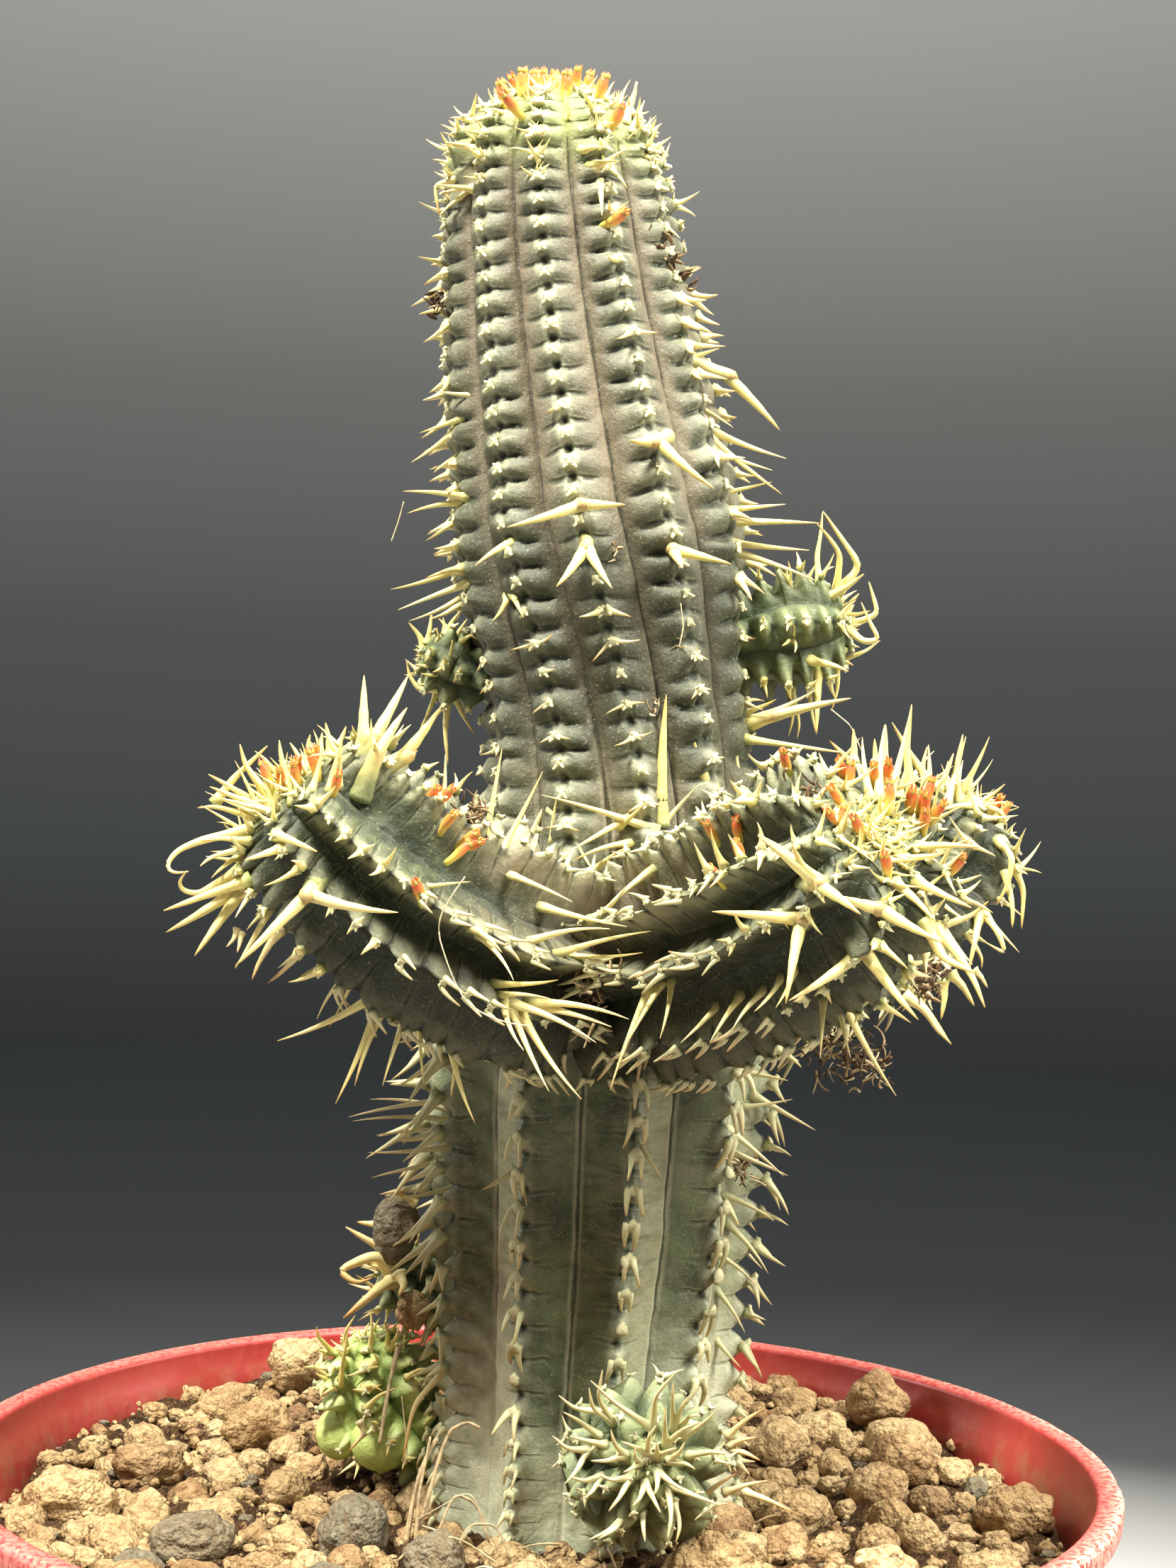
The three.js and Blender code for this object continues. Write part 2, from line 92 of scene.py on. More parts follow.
FORKED = [[[-30.1, -35.0, 269.4], [-30.2, -35.0, 271.9], [-30.9, -33.0, 281.8]], [[-29.4, -35.0, 269.5], [-28.6, -35.0, 272.0], [-24.0, -31.0, 282.1]], [[-29.2, -45.8, 263.4], [-27.5, -43.8, 269.5], [-23.3, -40.8, 276.7]], [[-26.7, -39.8, 267.2], [-23.1, -39.8, 269.2], [-18.2, -39.8, 276.9]], [[-37.4, -47.8, 247.2], [-36.7, -53.8, 247.5], [-22.6, -55.8, 245.5], [-46.6, -57.8, 236.8]], [[-48.1, -35.0, 247.7], [-48.1, -39.0, 247.8], [-59.9, -41.0, 240.3], [-54.7, -45.0, 237.1]], [[17.5, -16.4, 260.1], [17.6, -16.4, 264.3], [17.9, -16.4, 280.8]], [[26.3, -11.2, 262.4], [25.4, -12.2, 265.7], [21.6, -13.2, 276.9]], [[32.0, 0.0, 275.5], [36.6, -4.0, 278.1], [49.4, -8.0, 281.4]], [[39.9, -61.7, 251.6], [39.7, -66.7, 252.5], [30.3, -69.7, 259.2], [45.2, -73.7, 248.5]], [[37.8, -60.0, 246.4], [37.4, -65.0, 246.9], [24.0, -70.0, 248.0], [35.0, -72.0, 235.2]], [[47.9, -56.3, 241.7], [47.3, -61.3, 242.3], [35.9, -66.3, 235.1], [54.7, -68.3, 233.1]], [[49.5, -59.6, 248.5], [48.9, -64.6, 248.9], [42.7, -69.6, 250.8], [57.1, -73.6, 244.8]], [[3.1, -18.8, 311.2], [3.1, -23.8, 311.1], [-9.1, -27.8, 306.6], [9.9, -27.8, 310.9]], [[3.9, -18.7, 304.6], [3.9, -23.7, 304.2], [-0.7, -30.7, 297.1], [8.2, -30.7, 297.1]], [[14.8, -14.6, 322.7], [14.7, -18.6, 322.3], [10.3, -21.6, 322.1], [24.5, -22.6, 314.4]], [[18.3, -15.6, 305.0], [18.2, -19.6, 304.6], [19.6, -25.6, 301.1], [27.6, -23.6, 302.2]], [[22.8, 0.0, 338.8], [27.5, -2.0, 336.2], [36.2, -3.0, 327.0]]]
SINGLES = [[21.0, 0.9, 339.7, 25.5, -0.1, 341.1, 0.7], [24.4, 2.1, 327.5, 37.7, 0.1, 322.6, 0.9], [24.6, 1.0, 326.3, 37.0, -2.0, 316.2, 0.9], [25.4, 0.7, 323.7, 35.2, -2.3, 320.2, 0.7], [28.2, -0.0, 313.5, 37.7, -2.0, 314.5, 0.8], [28.6, -0.5, 311.1, 43.5, -3.5, 311.3, 1.0], [29.4, 0.7, 308.2, 42.0, -2.3, 306.7, 0.9], [29.9, 1.8, 306.7, 43.2, -2.2, 301.6, 0.9], [27.6, 0.5, 316.0, 35.3, -1.5, 318.3, 0.6], [23.2, 0.4, 331.0, 28.3, -1.6, 327.4, 0.6], [-17.8, -4.2, 327.6, -25.2, -6.2, 324.1, 0.7], [-18.0, -3.1, 324.8, -26.5, -5.1, 319.2, 0.8], [-18.3, -1.7, 321.5, -22.7, -4.7, 317.6, 0.7], [-16.5, -5.2, 313.3, -27.6, -7.2, 314.0, 0.8], [-16.8, -4.1, 311.6, -26.7, -7.1, 310.3, 0.8], [-17.7, -1.0, 310.2, -23.7, -4.0, 306.0, 0.7], [-16.0, -2.2, 302.1, -29.4, -4.2, 297.5, 0.9], [-15.4, -2.8, 299.9, -27.8, -6.8, 293.9, 0.9], [-16.1, 1.8, 298.3, -26.1, -3.2, 292.3, 0.8], [-17.3, -5.9, 330.7, -22.6, -6.9, 331.1, 0.6], [-8.3, -13.9, 304.3, -14.4, -19.9, 300.8, 0.9], [-8.8, -11.5, 296.6, -11.4, -16.5, 292.0, 0.8], [-7.5, -13.1, 297.6, -6.1, -19.1, 292.6, 0.7], [-18.2, -2.1, 377.8, -22.0, -2.1, 378.8, 0.7], [-17.5, -6.9, 372.4, -22.4, -6.9, 373.3, 0.7], [-18.4, -6.7, 365.8, -23.7, -7.7, 365.9, 0.8], [-19.2, -5.6, 365.2, -23.0, -6.6, 361.0, 0.7], [8.4, -4.6, 377.8, 9.9, -4.6, 385.3, 1.0], [9.5, -4.8, 376.5, 11.2, -4.8, 382.1, 0.8], [10.9, -4.8, 373.6, 15.0, -5.8, 371.6, 0.7], [0.6, -12.6, 371.6, 4.8, -18.6, 370.6, 0.8], [2.2, -12.5, 369.1, 7.2, -19.5, 368.2, 0.7], [4.0, -12.4, 366.3, 4.6, -19.4, 359.2, 0.7], [5.3, -11.4, 368.8, 8.6, -17.4, 364.3, 0.6], [14.0, -4.6, 360.7, 18.0, -6.6, 358.4, 0.6], [-5.9, -13.4, 369.2, -8.2, -18.4, 371.5, 0.6], [-12.9, -8.5, 377.5, -15.2, -11.5, 378.2, 0.6], [31.5, 2.0, 276.4, 43.9, -2.0, 282.8, 0.9], [31.0, 1.5, 278.7, 37.2, -2.5, 281.0, 0.7], [31.2, -1.2, 273.9, 50.5, -4.2, 272.0, 0.8], [-6.9, -32.4, 256.9, -1.9, -32.4, 267.4, 0.7], [-5.1, -11.5, 255.9, 0.9, -11.5, 266.6, 0.7], [-0.8, -14.9, 255.5, 0.5, -16.9, 264.0, 0.6], [-10.4, -33.4, 258.9, -8.5, -33.4, 270.8, 0.8], [-16.3, -35.3, 262.4, -17.4, -35.3, 269.6, 0.8], [25.9, -11.7, 262.2, 21.6, -12.7, 275.9, 0.9], [31.8, -2.7, 264.6, 29.7, -3.7, 276.1, 0.8], [18.7, -16.2, 258.8, 23.8, -18.2, 266.1, 0.6], [17.1, -17.0, 257.8, -2.2, -23.0, 263.5, 0.9], [13.8, -17.9, 256.0, 3.3, -23.9, 252.9, 0.7], [-1.0, -14.0, 261.1, 7.2, -22.0, 250.4, 0.7], [12.1, -17.6, 260.3, 2.2, -25.6, 254.2, 0.7], [10.8, -17.6, 258.4, 15.5, -23.6, 263.3, 0.6], [15.7, -36.1, 253.6, 8.5, -44.1, 246.3, 0.7], [7.2, -19.8, 251.4, 12.9, -25.8, 255.9, 0.6], [-5.1, -41.2, 249.4, 3.6, -47.2, 247.5, 0.6], [-1.2, -41.5, 243.4, 9.5, -48.5, 243.6, 0.7], [-0.1, -39.8, 245.8, 12.1, -47.8, 244.0, 0.7], [2.5, -39.8, 241.6, 15.8, -47.8, 243.4, 0.7], [4.4, -38.4, 240.3, 14.7, -46.4, 240.0, 0.6], [5.5, -35.6, 244.5, 12.0, -43.6, 250.1, 0.7], [-12.0, -46.6, 242.8, -6.8, -54.6, 239.9, 0.7], [-10.5, -46.0, 240.9, -4.9, -54.0, 235.7, 0.6], [-7.0, -43.9, 235.4, 1.8, -51.9, 235.8, 0.7], [-5.2, -43.0, 233.8, 1.1, -52.0, 232.8, 0.6], [-17.1, -47.4, 250.5, -12.0, -51.4, 250.3, 0.5], [-5.9, -41.8, 230.4, 1.0, -50.8, 218.6, 0.8], [-3.5, -41.0, 229.8, 6.0, -51.0, 217.6, 0.8], [-6.9, -42.3, 231.0, -3.1, -50.3, 224.7, 0.7], [-4.5, -42.3, 232.1, 7.9, -52.3, 226.5, 0.8], [-0.9, -41.2, 232.6, 12.8, -51.2, 230.1, 0.9], [-0.8, -39.9, 229.7, 10.2, -49.9, 228.7, 0.8], [-16.5, -32.0, 223.4, -10.6, -40.0, 211.9, 0.8], [-13.3, -32.2, 222.3, -14.6, -38.2, 215.5, 0.7], [15.2, -40.5, 230.3, 10.3, -48.5, 218.7, 0.8], [17.3, -42.5, 231.1, 12.7, -50.5, 226.4, 0.7], [19.9, -44.4, 231.5, 17.6, -52.4, 227.4, 0.6], [23.4, -47.1, 232.5, 20.7, -55.1, 227.2, 0.6], [28.0, -50.5, 233.5, 24.9, -58.5, 227.7, 0.7], [31.2, -53.2, 235.4, 28.2, -60.2, 230.1, 0.6], [34.2, -54.6, 237.1, 31.2, -61.6, 232.9, 0.6], [37.1, -55.7, 238.5, 34.3, -62.7, 233.7, 0.6], [-29.0, -35.5, 229.6, -42.1, -39.5, 223.7, 0.9], [-27.4, -34.9, 228.7, -32.5, -40.9, 214.3, 0.9], [-25.8, -35.8, 228.3, -29.6, -40.8, 217.2, 0.8], [-23.2, -35.2, 227.1, -25.2, -41.2, 217.4, 0.7], [-22.0, -32.0, 225.7, -19.0, -38.0, 217.8, 0.7], [-33.3, -36.2, 233.1, -36.0, -39.2, 227.3, 0.5], [-32.3, -34.6, 231.8, -34.2, -37.6, 225.9, 0.5], [49.3, -41.8, 234.3, 54.4, -47.8, 219.3, 0.9], [61.8, 9.2, 231.9, 70.1, 5.2, 222.2, 0.9], [45.4, -45.0, 231.8, 47.0, -50.0, 225.1, 0.6], [41.4, -49.1, 232.0, 41.9, -54.1, 225.4, 0.6], [-46.7, -38.3, 250.9, -54.0, -41.3, 252.4, 0.7], [-46.7, -38.6, 254.9, -55.1, -40.6, 260.3, 0.6], [-46.9, -38.0, 253.5, -52.6, -44.0, 249.2, 0.8], [-45.9, -39.6, 248.6, -48.2, -47.6, 243.4, 0.8], [-45.5, -37.1, 245.4, -48.3, -45.1, 235.4, 0.9], [-46.3, -39.4, 258.4, -54.7, -39.4, 262.5, 0.5], [-40.4, -44.7, 260.6, -40.7, -44.7, 268.8, 0.6], [-37.6, -45.5, 261.9, -35.8, -45.5, 270.4, 0.7], [-34.6, -45.6, 263.2, -32.7, -45.6, 272.0, 0.7], [-44.7, -41.5, 259.8, -46.2, -41.5, 268.3, 0.6], [-46.6, -38.5, 258.4, -50.3, -38.5, 267.5, 0.6], [-32.3, -44.9, 264.5, -32.9, -44.9, 270.8, 0.6], [50.9, -54.9, 263.9, 54.0, -52.9, 278.7, 1.0], [65.7, 16.3, 265.8, 66.3, 18.3, 274.3, 0.9], [48.1, -52.8, 265.2, 47.1, -49.8, 274.3, 0.8], [49.6, -52.5, 264.8, 50.5, -49.5, 276.3, 0.9], [68.7, 12.0, 263.2, 72.5, 15.0, 275.9, 1.0], [71.0, 13.7, 264.6, 72.5, 17.7, 271.7, 0.8], [42.4, -52.5, 265.8, 40.6, -49.5, 271.7, 0.8], [36.5, -51.1, 265.0, 35.3, -49.1, 272.2, 0.7], [66.2, 7.0, 256.3, 72.1, 1.0, 258.1, 0.7], [66.8, 5.4, 252.3, 70.0, 0.4, 259.4, 0.6], [68.5, 5.6, 245.5, 73.0, -0.4, 247.3, 0.7], [67.8, 5.7, 244.1, 72.4, -2.3, 236.6, 0.9], [62.3, 4.4, 239.8, 64.4, -3.6, 229.7, 0.8], [74.4, 17.4, 265.2, 82.3, 14.4, 263.6, 0.8], [78.5, 15.6, 259.2, 83.5, 12.6, 252.5, 0.8], [78.2, 16.2, 250.6, 83.8, 14.2, 244.1, 0.8], [76.2, 14.4, 245.5, 82.9, 12.4, 237.9, 0.8], [72.0, 17.7, 266.4, 76.8, 15.7, 276.0, 0.8], [75.6, 16.4, 264.1, 79.5, 13.4, 267.7, 0.7], [35.3, -2.8, 216.3, 41.1, -5.8, 216.0, 0.7], [35.8, -0.5, 212.9, 46.2, -4.5, 207.5, 0.8], [35.5, -2.0, 211.1, 42.1, -4.0, 212.6, 0.6], [34.1, -5.2, 207.4, 40.7, -9.2, 200.2, 0.7], [33.7, -5.5, 203.4, 41.4, -8.5, 200.2, 0.7], [33.2, -5.0, 195.3, 39.1, -8.0, 192.7, 0.7], [33.1, -4.2, 191.1, 38.7, -8.2, 183.4, 0.7], [32.1, -5.5, 186.0, 36.7, -9.5, 181.6, 0.6], [32.2, -4.1, 179.0, 35.1, -8.1, 173.2, 0.6], [32.1, -2.6, 170.6, 34.7, -6.6, 166.9, 0.6], [-17.5, -1.6, 210.6, -33.7, -3.6, 207.0, 0.8], [-18.0, 2.0, 207.6, -30.4, 0.0, 209.7, 0.7], [-17.2, -1.5, 205.7, -32.8, -5.5, 206.6, 0.7], [-17.1, -1.0, 202.1, -30.1, -4.0, 201.1, 0.8], [-17.1, -0.4, 199.8, -29.5, -3.4, 196.7, 0.8], [-17.0, 0.4, 195.4, -25.8, -3.6, 193.1, 0.7], [-17.1, -1.8, 205.2, -28.9, -3.8, 204.1, 0.7], [-5.5, -17.4, 201.4, -9.9, -22.4, 198.4, 0.8], [-4.1, -18.1, 200.2, -2.3, -23.1, 195.9, 0.7], [15.0, -21.4, 207.8, 19.7, -26.4, 201.7, 0.7], [14.2, -21.8, 214.3, 13.6, -25.8, 209.7, 0.6]]
BUDS = [[[-12.9, -4.0, 380.0], [-14.4, -5.0, 384.4]], [[-9.8, 0.0, 383.0], [-9.7, -1.0, 388.1]], [[-7.5, 3.0, 383.8], [-8.0, 2.0, 387.8]], [[-4.9, 6.0, 385.0], [-4.3, 5.0, 388.5]], [[-2.6, -1.0, 382.2], [-2.4, -2.0, 386.6]], [[-44.3, -40.6, 263.1], [-45.6, -41.5, 267.4]], [[-36.8, -43.0, 265.0], [-38.0, -43.9, 269.4]], [[-15.8, -46.0, 253.1], [-12.5, -46.7, 256.2]], [[43.2, -60.7, 259.3], [43.6, -61.4, 263.8]], [[45.1, -52.4, 265.8], [45.2, -53.0, 270.4]], [[50.5, -56.9, 263.2], [50.6, -57.5, 267.7]], [[57.3, -48.0, 263.8], [58.2, -48.7, 268.2]]]
CROWN_BUDS = [[-0.6, 3.0, 383.4, -0.4, 2.0, 387.6], [1.5, 6.0, 383.8, 1.8, 5.0, 387.7], [3.3, 0.0, 382.3, 4.5, -1.0, 385.8], [-11.5, -8.0, 378.1, -12.4, -9.0, 380.2], [6.8, -6.0, 377.4, 7.3, -7.0, 379.1], [-10.9, 8.0, 385.3, -11.9, 7.0, 387.3], [-6.2, 10.0, 386.3, -6.5, 9.0, 388.9], [-1.1, 11.0, 386.4, -1.5, 10.0, 388.9], [4.6, -14.5, 359.1, 8.6, -18.0, 360.3]]
MORE_BUDS = [[-44.0, -39.8, 264.3, -44.4, -42.0, 268.1, "l"], [-37.4, -40.9, 266.5, -37.1, -43.1, 270.3, "l"], [-33.7, -45.7, 263.4, -32.6, -48.1, 266.9, "l"], [-19.1, -36.5, 264.1, -17.1, -38.7, 267.3, "l"], [-17.9, -38.6, 262.5, -15.1, -41.0, 264.9, "l"], [-17.1, -44.1, 257.3, -15.0, -46.4, 260.4, "l"], [-14.4, -43.8, 255.4, -11.5, -46.0, 257.8, "l"], [-14.0, -44.6, 253.8, -10.7, -47.1, 255.2, "l"], [-19.1, -48.6, 245.9, -20.2, -51.0, 249.5, "l"], [-41.7, -40.4, 265.5, -41.2, -42.7, 269.3, "l"], [-39.6, -43.1, 263.8, -40.2, -45.5, 267.4, "l"], [45.2, -50.0, 268.5, 43.7, -52.4, 271.9, "r"], [49.4, -50.0, 265.8, 48.7, -52.3, 269.5, "r"], [51.4, -50.0, 265.1, 51.6, -52.3, 268.9, "r"], [52.1, -50.0, 267.7, 52.0, -52.3, 271.4, "r"], [43.4, -57.2, 263.6, 41.2, -59.6, 266.5, "r"], [43.6, -59.9, 260.8, 40.8, -62.5, 263.2, "r"], [46.5, -61.1, 259.5, 44.9, -63.6, 262.7, "r"], [55.9, -50.0, 265.3, 55.9, -52.3, 269.0, "r"], [57.5, -50.0, 265.7, 58.3, -52.4, 269.3, "r"], [56.9, -50.0, 262.4, 57.3, -52.4, 266.1, "r"], [56.1, -50.0, 259.9, 56.1, -52.5, 263.5, "r"], [62.0, -50.0, 259.7, 63.6, -52.5, 263.0, "r"], [77.8, 17.5, 262.1, 79.5, 15.3, 265.6, "b"], [81.3, 18.0, 261.4, 82.9, 15.8, 264.9, "b"], [49.7, -60.8, 253.0, 48.9, -63.4, 256.4, "r"], [61.7, -50.0, 255.0, 63.4, -52.8, 257.9, "r"], [35.5, -50.0, 268.2, 34.0, -52.4, 271.6, "r"], [27.7, -51.1, 257.9, 26.6, -53.5, 261.4, "r"], [24.6, -49.5, 255.9, 22.5, -51.8, 259.0, "r"], [29.3, -55.2, 254.5, 27.9, -57.5, 258.0, "r"], [26.7, -54.4, 250.1, 24.4, -56.9, 253.0, "r"]]
STONES = [[-79.5, -5, 140.5, 8.4, 6.2, 5.4, 10], [-55.3, -24, 140.0, 7.0, 5.6, 5.0, 35], [-29.5, -20, 140.6, 7.2, 6.0, 6.4, 70], [-68.5, 13, 140.5, 6.6, 4.6, 4.2, 5], [-48, 66, 142.5, 6.0, 5.0, 6.0, 20], [-15.5, -29, 139.6, 5.2, 4.8, 4.6, 50], [66, 55, 142.0, 5.6, 5.0, 5.2, 15], [84.5, 4, 140.5, 5.4, 6.4, 4.8, 80], [67.5, 30, 140.5, 6.2, 5.6, 5.0, 30], [45, 38, 140.0, 6.8, 5.2, 4.6, 60], [46, 2, 140.0, 6.0, 5.4, 4.8, 0], [30, -30, 139.8, 7.8, 5.8, 4.8, 25], [57, -30, 139.8, 6.0, 5.0, 4.6, 75], [-52, 36, 140.2, 6.4, 5.6, 4.8, 40], [6, -62, 139.8, 6.6, 5.4, 4.8, 12], [-38, -62, 139.8, 6.0, 5.2, 4.6, 64]]
WEDGED = [[-25.8, 8.0, 185.7, 4.2, 4.0, 6.2, 12], [-22.0, 4.0, 172.6, 3.1, 3.0, 3.3, 30]]
DEBRIS = [[[-13.1, -35.8, 260.1], 1.6, 60, 3.0, 0.16], [[15.3, -3.9, 356.1], 0.9, 26, 2.2, 0.14], [[-23.0, 0.0, 347.6], 0.8, 16, 2.0, 0.14], [[33.7, -4.9, 200.7], 1.3, 34, 2.6, 0.15], [[51.1, -35.0, 222.3], 1.8, 50, 3.4, 0.15], [[47.9, -35.0, 224.6], 1.8, 40, 3.4, 0.15], [[44.6, -30.0, 225.2], 2.2, 40, 3.6, 0.15], [[62.6, -20.0, 235.1], 1.6, 50, 2.6, 0.25], [[7.7, -35.2, 233.3], 2.2, 40, 3.2, 0.18], [[20.3, -13.7, 289.6], 0.7, 10, 2.2, 0.12], [[19.1, -17.1, 146.0], 1.4, 20, 3, 0.15], [[8.6, -18.7, 304.5], 0.8, 14, 1.8, 0.16], [[39.8, -54.5, 264.6], 1.6, 40, 3.0, 0.15], [[16.1, -15.4, 278.3], 0.8, 12, 1.8, 0.14]]
DRIED = [[13.1, -6.0, 358.8], [14.7, -6.0, 356.4], [16.3, -5.0, 354.2], [18.0, -4.0, 351.7], [-22.9, 2.0, 349.0], [-23.0, 2.0, 346.5]]
